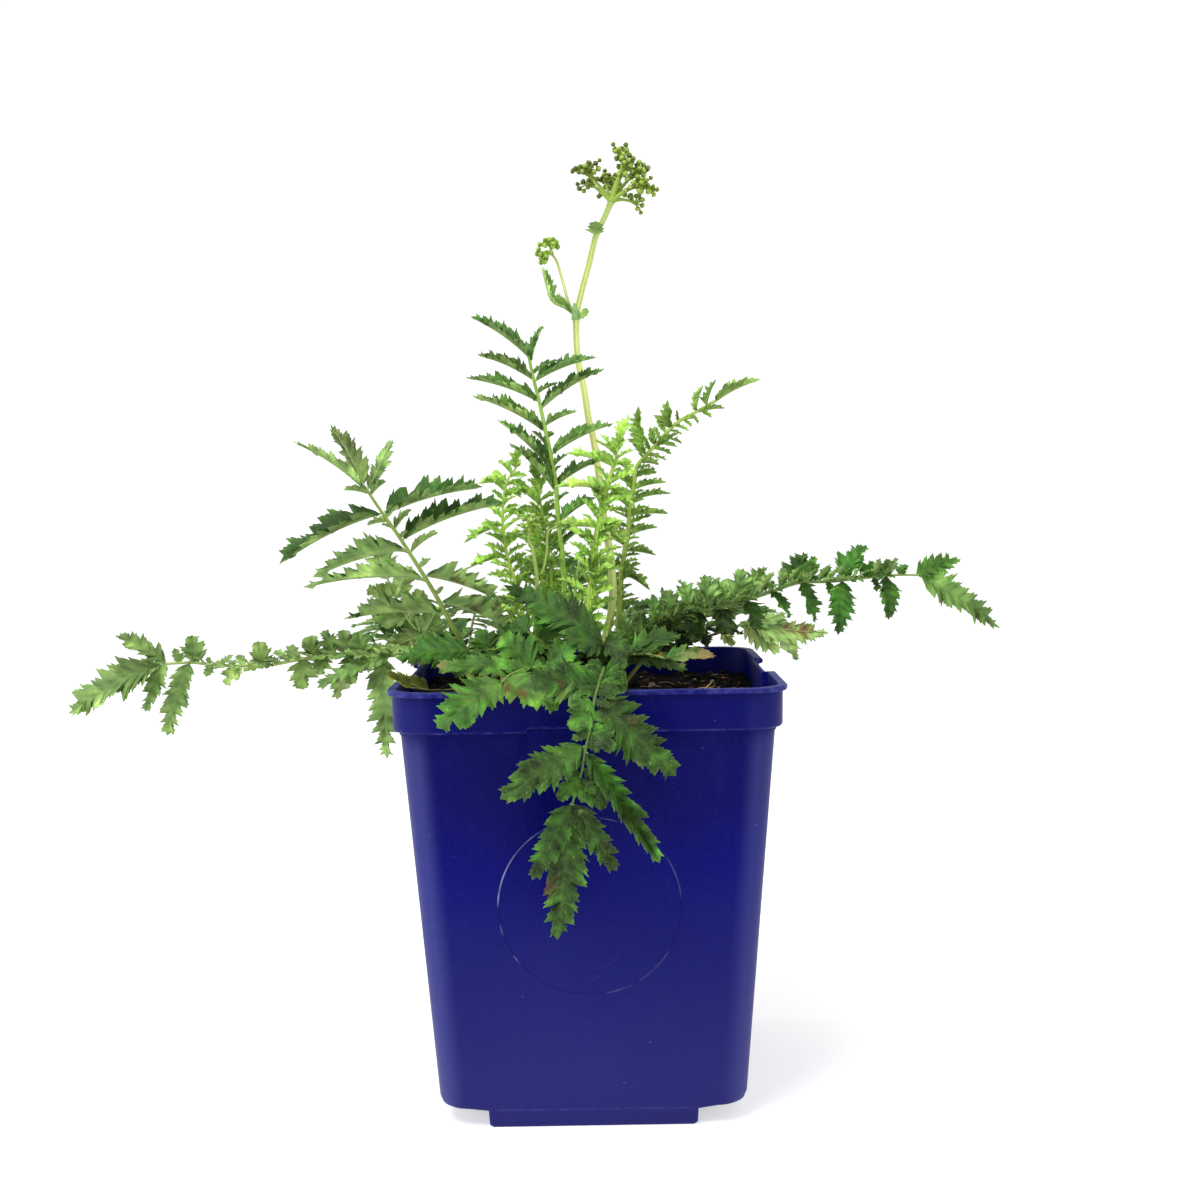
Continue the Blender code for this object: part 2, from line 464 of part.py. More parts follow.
def plate(blade, pad=0.0, lift_base=0.0):
    """A closed coarse plate of the blade, for finding leaflets that would meet."""
    h = 0.36 + pad
    top, bot = [], []

    def add(q, n):
        top.append(q + n * h)
        bot.append(q - n * h)

    w = blade.width * 0.5 + pad
    b0 = 0.10
    add(blade.point(b0, -0.7), blade.normal(b0, 0))
    add(blade.point(b0, 0.7), blade.normal(b0, 0))
    for f, k in SHAPE:
        for side in (-1, 0, 1):
            add(blade.point(f, side * w * k), blade.normal(f, side))
    a = (blade.tip - blade.mid(0.9)).normalized()
    add(blade.tip + a * pad, blade.normal(0.98, 0))
    tris = [(0, 1, 3), (0, 3, 2), (1, 4, 3), (2, 3, 6), (2, 6, 5), (3, 4, 7), (3, 7, 6), (5, 6, 8), (6, 7, 8)]
    rim = [0, 1, 4, 7, 8, 5, 2]
    n = len(top)
    faces = [t for t in tris] + [tuple(n + i for i in reversed(t)) for t in tris]
    for i, j in zip(rim, rim[1:] + rim[:1]):
        faces += [(i, n + i, j), (j, n + i, n + j)]
    return top + bot, faces


def tube_mesh(cur, r0, r1, sides=6, step=5.0, s0=0.0, s1=None, cap=True):
    """A closed tube along a curve, radius going from r0 to r1."""
    s1 = cur.length if s1 is None else s1
    n = max(2, int(math.ceil((s1 - s0) / step)) + 1)
    verts, faces = [], []
    ref = None
    for k in range(n):
        s = s0 + (s1 - s0) * k / (n - 1)
        t = cur.tangent(s)
        if ref is None:
            ref = square_up((1, 0.3, 0.1), t)
        ref = square_up(ref, t)
        b = t.cross(ref)
        r = r0 + (r1 - r0) * k / (n - 1)
        c = cur.at(s)
        for j in range(sides):
            an = 2 * math.pi * j / sides
            verts.append(c + ref * (r * math.cos(an)) + b * (r * math.sin(an)))
    for k in range(n - 1):
        for j in range(sides):
            a, b2 = k * sides + j, k * sides + (j + 1) % sides
            faces += [(a, b2, b2 + sides), (a, b2 + sides, a + sides)]
    if cap:
        for j in range(1, sides - 1):
            faces.append((0, j + 1, j))
            e = (n - 1) * sides
            faces.append((e, e + j, e + j + 1))
    return verts, faces


class Room:
    """Keeps what has been placed, so that later leaflets can be kept clear of it."""

    def __init__(self):
        self.items = []

    def add(self, group, verts, faces):
        lo = Vector((min(v[i] for v in verts) for i in range(3)))
        hi = Vector((max(v[i] for v in verts) for i in range(3)))
        self.items.append((group, lo, hi, BVHTree.FromPolygons([tuple(v) for v in verts], faces)))

    def hits(self, verts, faces, skip=(), only=None):
        lo = Vector((min(v[i] for v in verts) for i in range(3)))
        hi = Vector((max(v[i] for v in verts) for i in range(3)))
        mine = None
        found = []
        for g, l2, h2, tree in self.items:
            if g in skip or (only is not None and g not in only):
                continue
            if any(lo[i] > h2[i] or hi[i] < l2[i] for i in range(3)):
                continue
            if mine is None:
                mine = BVHTree.FromPolygons([tuple(v) for v in verts], faces)
            if tree.overlap(mine):
                found.append(g)
        return found


STEM_PATH = [on_crown(7, 2), p(604, 650, 5), p(606.5, 632, 7), p(611, 612, 8), p(612.5, 590, 8), p(610, 555, 8),
             p(604, 520, 8), p(598.5, 475, 8), p(592, 433, 8), p(588.6, 420, 8), p(584, 390, 8), p(577.5, 357, 8),
             p(576.2, 317, 8), p(579.6, 299, 8), p(588.4, 266, 8), p(596.4, 234, 8), p(604, 218, 8), p(611, 201.6, 8)]
SIDE_PATH = [p(572.2, 311, 8), p(568.5, 303, 8), p(561.8, 278.6, 8), p(556.3, 260.7, 8), p(551.8, 254, 8)]
YOUNG_PATH = [on_crown(-22, -6), p(535, 640, -10), p(536, 610, -11), p(537, 595, -11), p(537, 579, -11),
              p(535.5, 566.5, -11), p(532, 548, -11), p(528.5, 540, -11), p(530, 531, -11)]
SHOOT_PATH = [p(541.5, 575, -11), p(544.5, 565, -11), p(546.8, 552, -11), p(547, 538.7, -11), p(549, 529, -11)]
STEM_R = (1.75, 1.15)


BROAD = 1.32


def resolve_plant():
    """Place every leaf: rachis curves and blades, each kept clear of what is there."""
    room = Room()
    notes = []
    for nm, path, r0, r1 in (("flower_stem", STEM_PATH, 1.75, 1.15), ("side_flower_stem", SIDE_PATH, 0.7, 0.5),
                             ("young_flower_stem", YOUNG_PATH, 1.2, 0.7), ("young_side_shoot", SHOOT_PATH, 0.7, 0.5)):
        v, f = tube_mesh(Curve(path), r0 + 0.1, r1 + 0.1, 8, 4.0)
        room.add(nm, v, f)
    for nm, verts, faces in pot_guard():
        room.add(nm, verts, faces)
    table = leaf_table()
    for i, lf in enumerate(table):
        lf["curve"] = Curve(lf["path"])
        v, f = tube_mesh(lf["curve"], lf["rw"][0] + 0.3, lf["rw"][1] + 0.35, 6, 4.0)
        hit = room.hits(v, f)
        if hit:
            notes.append((lf["name"], "rachis", sorted(set(hit))))
        v, f = tube_mesh(lf["curve"], lf["rw"][0], lf["rw"][1], 6, 4.0)
        room.add(lf["name"] + ":rachis", v, f)
    tries = [(0, 0, 1.0), (10, 0, 1.0), (-10, 0, 1.0), (0, 10, 1.0), (0, -10, 1.0), (20, 0, 1.0), (-20, 0, 1.0),
             (0, 0, 0.85), (12, 10, 0.9), (12, -10, 0.9), (-12, 10, 0.9), (-12, -10, 0.9), (30, 0, 0.9),
             (-30, 0, 0.9), (0, 20, 0.85), (0, -20, 0.85), (0, 0, 0.7), (25, 0, 0.75), (-25, 0, 0.75),
             (40, 0, 0.75), (-40, 0, 0.75), (0, 0, 0.55), (35, 15, 0.6), (35, -15, 0.6), (-35, 15, 0.6),
             (-35, -15, 0.6), (0, 0, 0.42)]
    for i, lf in enumerate(table):
        cur = lf["curve"]
        items = []
        if lf["auto"]:
            raw = auto_leaflets(lf, cur, i + 3)
            pairs, longest, width, start = lf["auto"]
            t = cur.tangent(cur.length)
            raw.append((None, cur.at(cur.length) + (t + Vector((0, 0, -0.15))).normalized() * longest * 0.95,
                        width * 1.25, {}))
        else:
            raw = []
            for e in lf["leaflets"]:
                bu, bv, tu, tv, dy, w = e[:6]
                s = cur.nearest_seen(bu, bv)
                raw.append((s, p(tu, tv, cur.at(s).y + dy), w * BROAD, e[6] if len(e) > 6 else {}))
            tu, tv, dy, w = lf["tip"][:4]
            raw.append((None, p(tu, tv, cur.at(cur.length).y + dy), w * BROAD, lf["tip"][4] if len(lf["tip"]) > 4 else {}))
        placed = []
        for k, (s, tip, w, opts) in enumerate(raw):
            end = s is None
            s = cur.length if end else min(max(s, 3.0), cur.length - 1.4)
            base = cur.at(s)
            t = cur.tangent(s)
            n = square_up(lf["face"], t)
            sd = t.cross(n)
            side = 0 if end else (1 if (tip - base).dot(sd) > 0 else -1)
            half = lf["rw"][0] + (lf["rw"][1] - lf["rw"][0]) * s / cur.length
            if not end:
                base = base + sd * (side * half * 0.9)
            fold = opts.get("fold", lf["fold"])
            up = Vector(opts.get("up", lf["up"]))
            b = Blade(base, tip, up, w, fold, opts.get("arch", 0.10), opts)
            small = b.length < 9.0
            ok = None
            for pitch, yaw, sc in tries:
                c = b if (pitch, yaw, sc) == (0, 0, 1.0) else b.turned(pitch, yaw, sc)
                v, f = plate(c, 0.32)
                if room.hits(v, f, skip=(lf["name"], lf["name"] + ":rachis")):
                    continue
                v, f = plate(c, 0.05)
                if room.hits(v, f, only=(lf["name"],)):
                    continue
                ok = c
                if (pitch, yaw, sc) != (0, 0, 1.0):
                    notes.append((lf["name"], k, (pitch, yaw, sc)))
                break
            if ok is None:
                notes.append((lf["name"], k, "dropped"))
                continue
            v, f = plate(ok, 0.0)
            room.add(lf["name"], v, f)
            placed.append(dict(s=s, side=side, blade=ok, small=small, end=end, k=k))
        lf["placed"] = placed
    return table, notes


def head_layout(kind):
    """A head of buds: (base, rays).  A ray is (stations, radius at its start, radius
    at its end, buds), and a bud is (place on the ray from 0 to 1, centre, radius)."""
    if kind == "main":
        base, y0, r = Curve(STEM_PATH).at(1e9), 8.0, 1.17
        rays = [
            ([(600, 187, -2), (588, 174, -3)], 0.85, 0.5,
             [(575.3, 168.6, -4), (580.3, 167.3, -1), (586, 166.5, -5), (591.4, 165.8, -1), (595.6, 163.3, -3),
              (598.3, 168.5, -5), (594, 172, -7), (590, 171.5, 1.5), (583, 171.5, -6.5)]),
            ([(599, 190.5, 3), (591, 184, 5)], 0.7, 0.42,
             [(583, 181.7, 6), (588.7, 180.3, 3.5), (579.1, 188.5, 5), (592.9, 185.5, 8.5), (600.9, 193.9, 4),
              (596, 179.5, 6.5)]),
            ([(607, 188, 5), (606, 180, 8)], 0.7, 0.42,
             [(604.4, 175.3, 8), (608.8, 175.5, 11), (612, 177.5, 7), (615.5, 175.3, 10.5), (601, 179.5, 10),
              (610.5, 182.5, 12.5), (606.5, 178, 5)]),
            ([(616.5, 185, 0), (622, 170, -1), (623, 160, 0)], 1.2, 0.7,
             [(614.7, 149.9, 0), (618.8, 149.6, -3), (616.6, 158.3, 1.5), (623.5, 154.3, -3.5), (625.4, 150.8, 2),
              (627.6, 160.8, -3.5), (629.3, 155.2, 0.5), (619.5, 154, 3.5), (619.0, 166.7, 4), (630, 166.3, -3.5),
              (621.5, 148.6, 2.5), (632, 162.5, 2.5), (625, 173.6, -6), (627.3, 179, -5.5), (622, 158, -4.5)]),
            ([(622, 187, 2), (632, 176, 3)], 0.85, 0.5,
             [(637.3, 165.5, 2.5), (639.8, 168.5, -2), (643.6, 165, 1), (647.4, 169, 1.5), (643.6, 174.6, -2),
              (637.3, 176.4, -3.5), (633.5, 169.5, 6), (640.5, 171.5, 6), (632.5, 171.8, -2), (645, 171, 5)]),
            ([(624, 192, -2), (637, 186, -2)], 0.8, 0.5,
             [(641.1, 182.8, -5), (647.6, 185.1, -2), (652.4, 190.6, -1), (648.6, 191.6, -5), (643, 186.8, 1.5),
              (637.5, 180.6, 0.5), (630.4, 187.4, -6), (646, 180, -5), (633.5, 182.5, -6.5), (641, 191.3, -5)]),
            ([(621, 199.5, 0), (634, 202, 1)], 0.7, 0.42,
             [(642.3, 205.4, 1), (637.7, 208.8, 0), (636.5, 196.0, 3), (630.5, 195.8, 5), (641.3, 199.5, -2)]),
            ([(612, 191, 8), (613, 184, 13)], 0.7, 0.42,
             [(609, 182, 16), (614.5, 180, 19), (619.5, 184, 16), (605.5, 187, 15), (616, 189, 19), (611.5, 186, 20)]),
        ]
    elif kind == "side":
        base, y0, r = Curve(SIDE_PATH).at(1e9), 8.0, 1.1
        rays = [
            ([(547.5, 251.5, 0), (542.5, 252.5, 0)], 0.5, 0.36,
             [(538.4, 249.5, -1), (537.2, 253.9, 1), (540.3, 254.2, -3), (541, 258.4, 0), (546, 259, 2),
              (540.9, 262.6, 1), (544.6, 261.8, -2), (545.8, 255.5, -3), (541.8, 254.5, 4), (546.5, 255.5, 5.2)]),
            ([(550.5, 248, 1), (548.5, 244.5, 1)], 0.5, 0.36,
             [(544.9, 240.0, 1), (549.5, 239.8, -1), (553.2, 239.5, 2), (556.7, 242.2, 0), (557.5, 246.8, 1),
              (552.9, 246.3, -3), (539.3, 244.7, 0), (544.9, 245.0, -3.2), (553.5, 243.2, -4.5), (548.5, 244, 5.5),
              (543.5, 244.5, 4), (553.5, 244.5, 5)]),
        ]
    else:
        base, y0, r = Curve(YOUNG_PATH).at(1e9), -11.0, 1.05
        rays = [
            ([(529.5, 525, 0)], 0.5, 0.4,
             [(524, 519, 0), (528, 515.5, 2), (533, 515.5, -1), (537, 519.5, 1.5), (538.5, 525.5, -1.5),
              (522.8, 525.5, -2), (525, 530.8, 1), (531, 520, -4), (530.5, 522, 4.5), (535.3, 530.3, 0.5),
              (527, 526, -4.3), (534, 526, 4)]),
        ]
    rnd = Steps(11 if kind == "main" else 23 if kind == "side" else 37)
    out = []
    for stations, r0, r1, buds in rays:
        path = [base] + [p(u, v, y0 + dy) for u, v, dy in stations]
        cur = Curve(path, 0.5)
        got = []
        for k, (u, v, dy) in enumerate(buds):
            c = p(u, v, y0 + dy)
            s = cur.nearest(c) / cur.length
            got.append((max(0.42, min(1.0, s - 0.12)), c, r * rnd.span(0.88, 1.08)))
        out.append((path, r0, r1, got))
    return base, out


def bract_blades():
    """(name, [blade, ...]) for the leafy bracts on the flower stem."""
    big = [p(572.6, 313.5, 5.6), p(563, 306.5, 4.2), p(554.4, 303.4, 3.4), p(549.8, 297.3, 3.0), p(546.4, 285, 3.2),
           p(541.8, 266.7, 4.0)]
    out = [("stem_bract_large", [Blade(big[0], big[-1], (0.75, -0.45, 0.35), 8.0, 58.0, 0.0, dict(path=big))])]
    a = p(580.2, 316.5, 5.9)
    out.append(("stem_bract_small", [Blade(a, p(589.0, 311.5, 3.4), (-0.35, -0.7, 0.55), 6.2, 12.0, 0.12)]))
    a = p(595.2, 234.2, 5.3)
    out.append(("upper_bract", [Blade(a, p(596.0, 221.0, 3.4), (0.0, -1.0, 0.2), 7.2, 4.0, -0.12)]))
    return out


# ---------------------------------------------------------------- pot and soil
CORNER_STEPS = 6


def ring(half, r, z, side=None, face=None, corner_in=0.0, wide=0.0):
    """One level of the pot: a square with round corners, anticlockwise from above,
    with six points on each side and CORNER_STEPS + 1 round each corner.  The middle of
    the left and right sides may stand at its own distance and height, given by `side`,
    and the middle of the front and back by `face`.  `wide` widens those middles."""
    out = []
    for k in range(4):
        hm, zm = (side if k % 2 == 0 else face) or (half, z)
        o = Vector((math.cos(k * math.pi / 2), math.sin(k * math.pi / 2), 0))
        t = Vector((-o.y, o.x, 0))
        g = GAP_HALF + wide
        for w, mid in ((-40.2, 0), (-g - 1.2, 0), (-g, 1), (g, 1), (g + 1.2, 0), (40.2, 0)):
            if k % 2 == 0 and abs(w) > 40:
                w = math.copysign(FOOT_Y - 0.8, w)
            q = o * (hm if mid else half) + t * w
            out.append(Vector((q.x, q.y, zm if mid else z)))
        h2, r2 = half - corner_in, max(r - corner_in, 2.0)
        c = o * (h2 - r2) + t * (h2 - r2)
        for j in range(CORNER_STEPS + 1):
            a = math.pi / 2 * j / CORNER_STEPS
            q = c + o * (r2 * math.cos(a)) + t * (r2 * math.sin(a))
            out.append(Vector((q.x, q.y, z)))
    return out


def cross_ring(half, inset, z):
    """The same points drawn in to the outline of the cross-shaped foot."""
    out = []
    for k in range(4):
        o = Vector((math.cos(k * math.pi / 2), math.sin(k * math.pi / 2), 0))
        t = Vector((-o.y, o.x, 0))
        mine = (FOOT_Y if k % 2 == 0 else FOOT_X) - inset
        other = (FOOT_X if k % 2 == 0 else FOOT_Y) - inset
        for w in (-mine + 0.8, -GAP_HALF - 1.2, -GAP_HALF, GAP_HALF, GAP_HALF + 1.2, mine - 0.8):
            q = o * half + t * w
            out.append(Vector((q.x, q.y, z)))
        d1, d2 = half - 0.8 - other, half - 0.8 - mine
        for j in range(CORNER_STEPS + 1):
            w = 2.0 * j / CORNER_STEPS - 1.0
            q = o * (other + d1 * max(-w, 0.0)) + t * (mine + d2 * max(w, 0.0))
            out.append(Vector((q.x, q.y, z)))
    return out


def body_half(z):
    t = (z - 10.0) / (POT_HEIGHT - BAND_DEPTH - 10.0)
    return (BODY_FOOT + (BODY_TOP - BODY_FOOT) * t) / 2


def pot_rings():
    top = POT_HEIGHT
    bz = top - BAND_DEPTH
    gz = top - GAP_BAND
    bh = BAND_WIDTH / 2
    lip = LIP_WIDTH / 2
    ub = body_half(bz)
    gh = ub + 0.9
    hb = body_half(7.0)
    R = CORNER_R
    outer = [cross_ring(hb - 1.4, 1.4, 0.0),
             cross_ring(hb - 0.5, 0.5, 1.1),
             cross_ring(hb - 0.2, 0.2, 6.6),
             ring(hb + 0.02, R, 7.0, corner_in=2.2),
             ring(body_half(7.9), R, 7.9, corner_in=0.7),
             ring(body_half(10.2), R, 10.2),
             ring(body_half(80.0), R, 80.0),
             ring(ub, R, bz - 0.6, side=(ub, bz), face=(ub, gz - 1.1)),
             ring(ub + 0.5, R + 0.4, bz - 0.3, side=(ub + 0.1, bz + 0.8), face=(ub + 0.1, gz - 0.8)),
             ring(ub + 0.55, R + 0.4, bz + 0.85, side=(ub + 0.2, gz - 0.5), face=(ub + 0.2, gz - 0.5)),
             ring(bh - 1.3, R + 1.4, bz + 1.0, side=(gh - 0.3, gz - 0.2), face=(bh - 1.3, gz - 0.35)),
             ring(bh - 0.35, R + 2.3, bz + 1.4, side=(gh - 0.1, gz + 0.1), face=(bh - 0.35, gz + 0.1)),
             ring(bh, R + 2.6, bz + 2.2, side=(gh, gz + 0.8), face=(bh, gz + 0.9)),
             ring(bh + 0.15, R + 2.7, top - 2.3, side=(gh + 0.1, top - 2.3)),
             ring(lip - 0.35, R + 3.6, top - 2.0, side=(gh + 0.12, top - 1.9)),
             ring(lip, R + 4.0, top - 1.6, side=(gh + 0.14, top - 1.5)),
             ring(lip, R + 4.0, top - 0.45, side=(gh + 0.15, top - 0.7)),
             ring(lip - 0.45, R + 3.6, top, side=(gh - 0.25, top - 0.25))]
    ih = bh - WALL
    ig = gh - WALL
    iw = body_half(bz - 2.4) - WALL
    inner = [ring(ih, R + 1.3, top, side=(ig + 0.3, top - 0.25)),
             ring(ih - 0.3, R + 1.1, top - 0.6, side=(ig, top - 0.9)),
             ring(ih - 0.45, R + 1.0, bz + 2.35, side=(ig - 0.1, gz + 0.2), face=(ih - 0.45, gz + 1.9)),
             ring(iw + 0.05, R - 1.0, bz + 1.6, side=(iw + 0.02, gz - 1.8), face=(iw + 0.02, gz + 0.8)),
             ring(iw, R - 1.0, bz - 2.4),
             ring(body_half(80.0) - WALL, R - 1.2, 80.0),
             ring(body_half(11.0) - WALL, R - 1.2, 11.0),
             ring(body_half(8.7) - WALL, R - 1.2, 8.6, corner_in=1.8),
             cross_ring(hb - WALL - 0.15, WALL + 0.15, 8.2),
             cross_ring(hb - WALL - 0.9, WALL + 0.8, 1.5)]
    return outer, inner


def mound(x, y):
    """Lift of the soil above its level at the wall."""
    d = math.hypot((x + 8.0) / 46.0, y / 40.0)
    return 3.4 * math.exp(-d * d)


def rough(x, y):
    return (0.62 * math.sin(0.31 * x + 1.3) * math.sin(0.27 * y - 0.7) + 0.42 * math.sin(0.71 * x + 0.53 * y)
            + 0.30 * math.sin(1.13 * x - 0.92 * y + 2.0))


def soil_rings():
    bz = POT_HEIGHT - BAND_DEPTH
    bh = BAND_WIDTH / 2 - WALL - 0.45
    ub = body_half(bz)
    ig = ub + 0.9 - WALL - 0.1
    hb = body_half(7.0)
    R = CORNER_R
    g = CLEAR
    iw = body_half(bz - 2.4) - WALL
    rings = [cross_ring(hb - WALL - 0.9 - g - 0.2, WALL + 0.8 + g + 0.2, 1.5 + g + 0.1),
             cross_ring(hb - WALL - g - 0.3, WALL + g + 0.3, 8.3 + g),
             ring(body_half(8.7) - WALL - g - 0.5, R - 1.2, 9.2 + g, corner_in=2.6),
             ring(body_half(11.6) - WALL - g - 0.3, R - 1.6, 11.0, corner_in=0.7),
             ring(body_half(13.0) - WALL - g, R - 1.6, 13.0),
             ring(body_half(80.0) - WALL - g, R - 1.6, 80.0),
             ring(iw - g - 0.15, R - 1.4, bz + 1.95, wide=1.8),
             ring(bh - g - 0.1, R + 0.8, bz + 3.0, side=(ig - g - 1.2, bz + 3.0), face=(iw - g - 0.2, bz + 2.8),
                  wide=1.8),
             ring(bh - g - 0.12, R + 0.8, SOIL_LEVEL - 0.2, side=(ig - g - 1.1, SOIL_LEVEL - 0.2),
                  face=(iw - g - 0.2, SOIL_LEVEL - 0.2), wide=1.8)]
    edge = rings[-1]
    for k in (0.965, 0.86, 0.70, 0.52, 0.33, 0.15):
        pts = []
        for q in edge:
            a = Vector((q.x, q.y, 0))
            rad = 60.0
            r = a.length
            # the inner rings grow rounder towards the middle
            w = (1.0 - k) ** 0.8
            a = a * (k * ((1 - w) + w * rad / r))
            pts.append(Vector((a.x, a.y, SOIL_LEVEL + mound(a.x, a.y) + rough(a.x, a.y) * min(1.0, (1.02 - k) * 9))))
        rings.append(pts)
    return rings


def skin(rings, close_top):
    """Closed surface over the rings: bottom cap, walls, and a top cap or a point."""
    verts = [q for rg in rings for q in rg]
    n = len(rings[0])
    faces = []
    for k in range(len(rings) - 1):
        for i in range(n):
            j = (i + 1) % n
            faces.append((k * n + i, k * n + j, (k + 1) * n + j, (k + 1) * n + i))
    faces.append(tuple(reversed(range(n))))
    last = (len(rings) - 1) * n
    if close_top == "flat":
        faces.append(tuple(last + i for i in range(n)))
    else:
        c = sum((q for q in rings[-1]), Vector()) / n
        verts.append(c)
        for i in range(n):
            faces.append((last + i, last + (i + 1) % n, len(verts) - 1))
    return verts, faces


def crown_mesh(grow=0.0, nu=18, nv=9):
    """The crown: an ellipsoid with soft lumps; `grow` gives the hollow it sits in."""
    verts, faces = [], []
    cx, cy, cz = CROWN_C
    rx, ry, rz = (CROWN_R[0] + grow, CROWN_R[1] + grow, CROWN_R[2] + grow)

    def pt(a, b):
        d = Vector((math.cos(a) * math.cos(b), math.sin(a) * math.cos(b), math.sin(b)))
        k = 1.0 + 0.06 * math.sin(5 * a) * math.cos(b) + 0.04 * math.cos(8 * a + 1.0) * math.cos(b)
        return Vector((cx + d.x * rx * k, cy + d.y * ry * k, cz + d.z * rz))

    verts.append(pt(0, -math.pi / 2))
    for j in range(1, nv):
        for i in range(nu):
            verts.append(pt(2 * math.pi * i / nu, -math.pi / 2 + math.pi * j / nv))
    verts.append(pt(0, math.pi / 2))
    for i in range(nu):
        faces.append((0, 1 + (i + 1) % nu, 1 + i))
    for j in range(nv - 2):
        for i in range(nu):
            a, b = 1 + j * nu + i, 1 + j * nu + (i + 1) % nu
            faces.append((a, b, b + nu, a + nu))
    base = 1 + (nv - 2) * nu
    for i in range(nu):
        faces.append((base + i, base + (i + 1) % nu, len(verts) - 1))
    return verts, faces


def pot_guard():
    """The surfaces that leaves have to stay clear of."""
    outer, inner = pot_rings()
    v, f = skin(outer + inner, "flat")
    yield "pot", v, f
    v, f = skin(soil_rings(), "point")
    yield "soil", v, f
    v, f = crown_mesh(0.1)
    yield "crown", v, f


# ---------------------------------------------------------------- building
for old in list(bpy.data.objects):
    bpy.data.objects.remove(old, do_unlink=True)

MM = 0.001


def material(name, colour, rough_, metallic=0.0):
    mt = bpy.data.materials.new(name)
    mt.use_nodes = True
    bsdf = mt.node_tree.nodes["Principled BSDF"]
    bsdf.inputs["Base Color"].default_value = (*colour, 1.0)
    bsdf.inputs["Roughness"].default_value = rough_
    bsdf.inputs["Metallic"].default_value = metallic
    return mt


def make(name, verts, faces, mat, smooth=35.0, hidden=False):
    me = bpy.data.meshes.new(name)
    me.from_pydata([tuple(q * MM) for q in verts], [], faces)
    me.validate()
    ob = bpy.data.objects.new(name, me)
    bpy.context.scene.collection.objects.link(ob)
    if mat is not None:
        me.materials.append(mat)
    if smooth:
        me.shade_smooth()
        me.set_sharp_from_angle(angle=math.radians(smooth))
    if hidden:
        ob.hide_render = True
        ob.display_type = "WIRE"
    return ob


def cut(ob, tool, op="DIFFERENCE", self_join=False):
    md = ob.modifiers.new(op.lower(), "BOOLEAN")
    md.operation = op
    md.solver = "EXACT"
    md.object = tool
    md.use_self = self_join
    return md


def cylinder(x, y, z0, z1, r, n=16):
    verts = []
    for z in (z0, z1):
        verts += [Vector((x + r * math.cos(2 * math.pi * i / n), y + r * math.sin(2 * math.pi * i / n), z))
                  for i in range(n)]
    faces = [tuple(reversed(range(n))), tuple(n + i for i in range(n))]
    for i in range(n):
        j = (i + 1) % n
        faces.append((i, j, n + j, n + i))
    return verts, faces


def gather(parts):
    verts, faces = [], []
    for v, f in parts:
        k = len(verts)
        verts += v
        faces += [tuple(k + i for i in t) for t in f]
    return verts, faces


# ---- pot: wall, lip, band and foot in one moulding, with drain holes
outer, inner = pot_rings()
v, f = skin(outer + inner, "flat")
pot = make("pot", v, f, material("pot_plastic", (0.035, 0.030, 0.215), 0.38), 30)
holes = [cylinder(sx * 50.5, sy * 43.0, 5.0, 11.0, HOLE_R) for sx in (-1, 1) for sy in (-1, 1)]
holes += [cylinder(x, y, -2.0, 3.6, 5.0) for x, y in ((27, 0), (-27, 0), (0, 33), (0, -33))]
hv, hf = gather(holes)
drill = make("drain_holes", hv, hf, None, 0, hidden=True)
cut(pot, drill)

# ---- potting soil, with a hollow for the crown
v, f = skin(soil_rings(), "point")
soil = make("potting_soil", v, f, material("peat", (0.020, 0.013, 0.009), 0.95), 0)
v, f = crown_mesh(CLEAR + 0.1)
hollow = make("crown_hollow", v, f, None, 0, hidden=True)
cut(soil, hollow)

# ---- crown
v, f = crown_mesh()
crown = make("root_crown", v, f, material("crown_bark", (0.075, 0.045, 0.025), 0.85), 40)


# ---- stems
def stem(name, path, r0, r1, sides, step, mat, lift=0.0):
    cur = Curve(path)
    v, f = tube_mesh(cur, r0, r1, sides, step, s0=lift)
    return make(name, v, f, mat, 50), cur


stem_green = material("stem_green", (0.36, 0.50, 0.14), 0.45)
flower_stem, cur_stem = stem("flower_stem", STEM_PATH, STEM_R[0], STEM_R[1], 8, 9.0, stem_green)
side_stem, cur_side = stem("side_flower_stem", SIDE_PATH, 0.62, 0.5, 6, 5.0, material("side_stem_green", (0.30, 0.45, 0.11), 0.45))
young_stem, cur_young = stem("young_flower_stem", YOUNG_PATH, 1.1, 0.62, 6, 7.0, material("young_stem_green", (0.42, 0.58, 0.15), 0.45))
shoot, cur_shoot = stem("young_side_shoot", SHOOT_PATH, 0.6, 0.45, 6, 5.0, material("shoot_green", (0.45, 0.62, 0.16), 0.45))


# ---- bud heads: pedicels and round buds, grown together
def bud(centre, r):
    g = (1 + math.sqrt(5)) / 2
    k = r / math.sqrt(1 + g * g)
    pts = [(-1, g, 0), (1, g, 0), (-1, -g, 0), (1, -g, 0), (0, -1, g), (0, 1, g), (0, -1, -g), (0, 1, -g),
           (g, 0, -1), (g, 0, 1), (-g, 0, -1), (-g, 0, 1)]
    fs = [(0, 11, 5), (0, 5, 1), (0, 1, 7), (0, 7, 10), (0, 10, 11), (1, 5, 9), (5, 11, 4), (11, 10, 2), (10, 7, 6),
          (7, 1, 8), (3, 9, 4), (3, 4, 2), (3, 2, 6), (3, 6, 8), (3, 8, 9), (4, 9, 5), (2, 4, 11), (6, 2, 10),
          (8, 6, 7), (9, 8, 1)]
    return [centre + Vector(q) * k for q in pts], fs


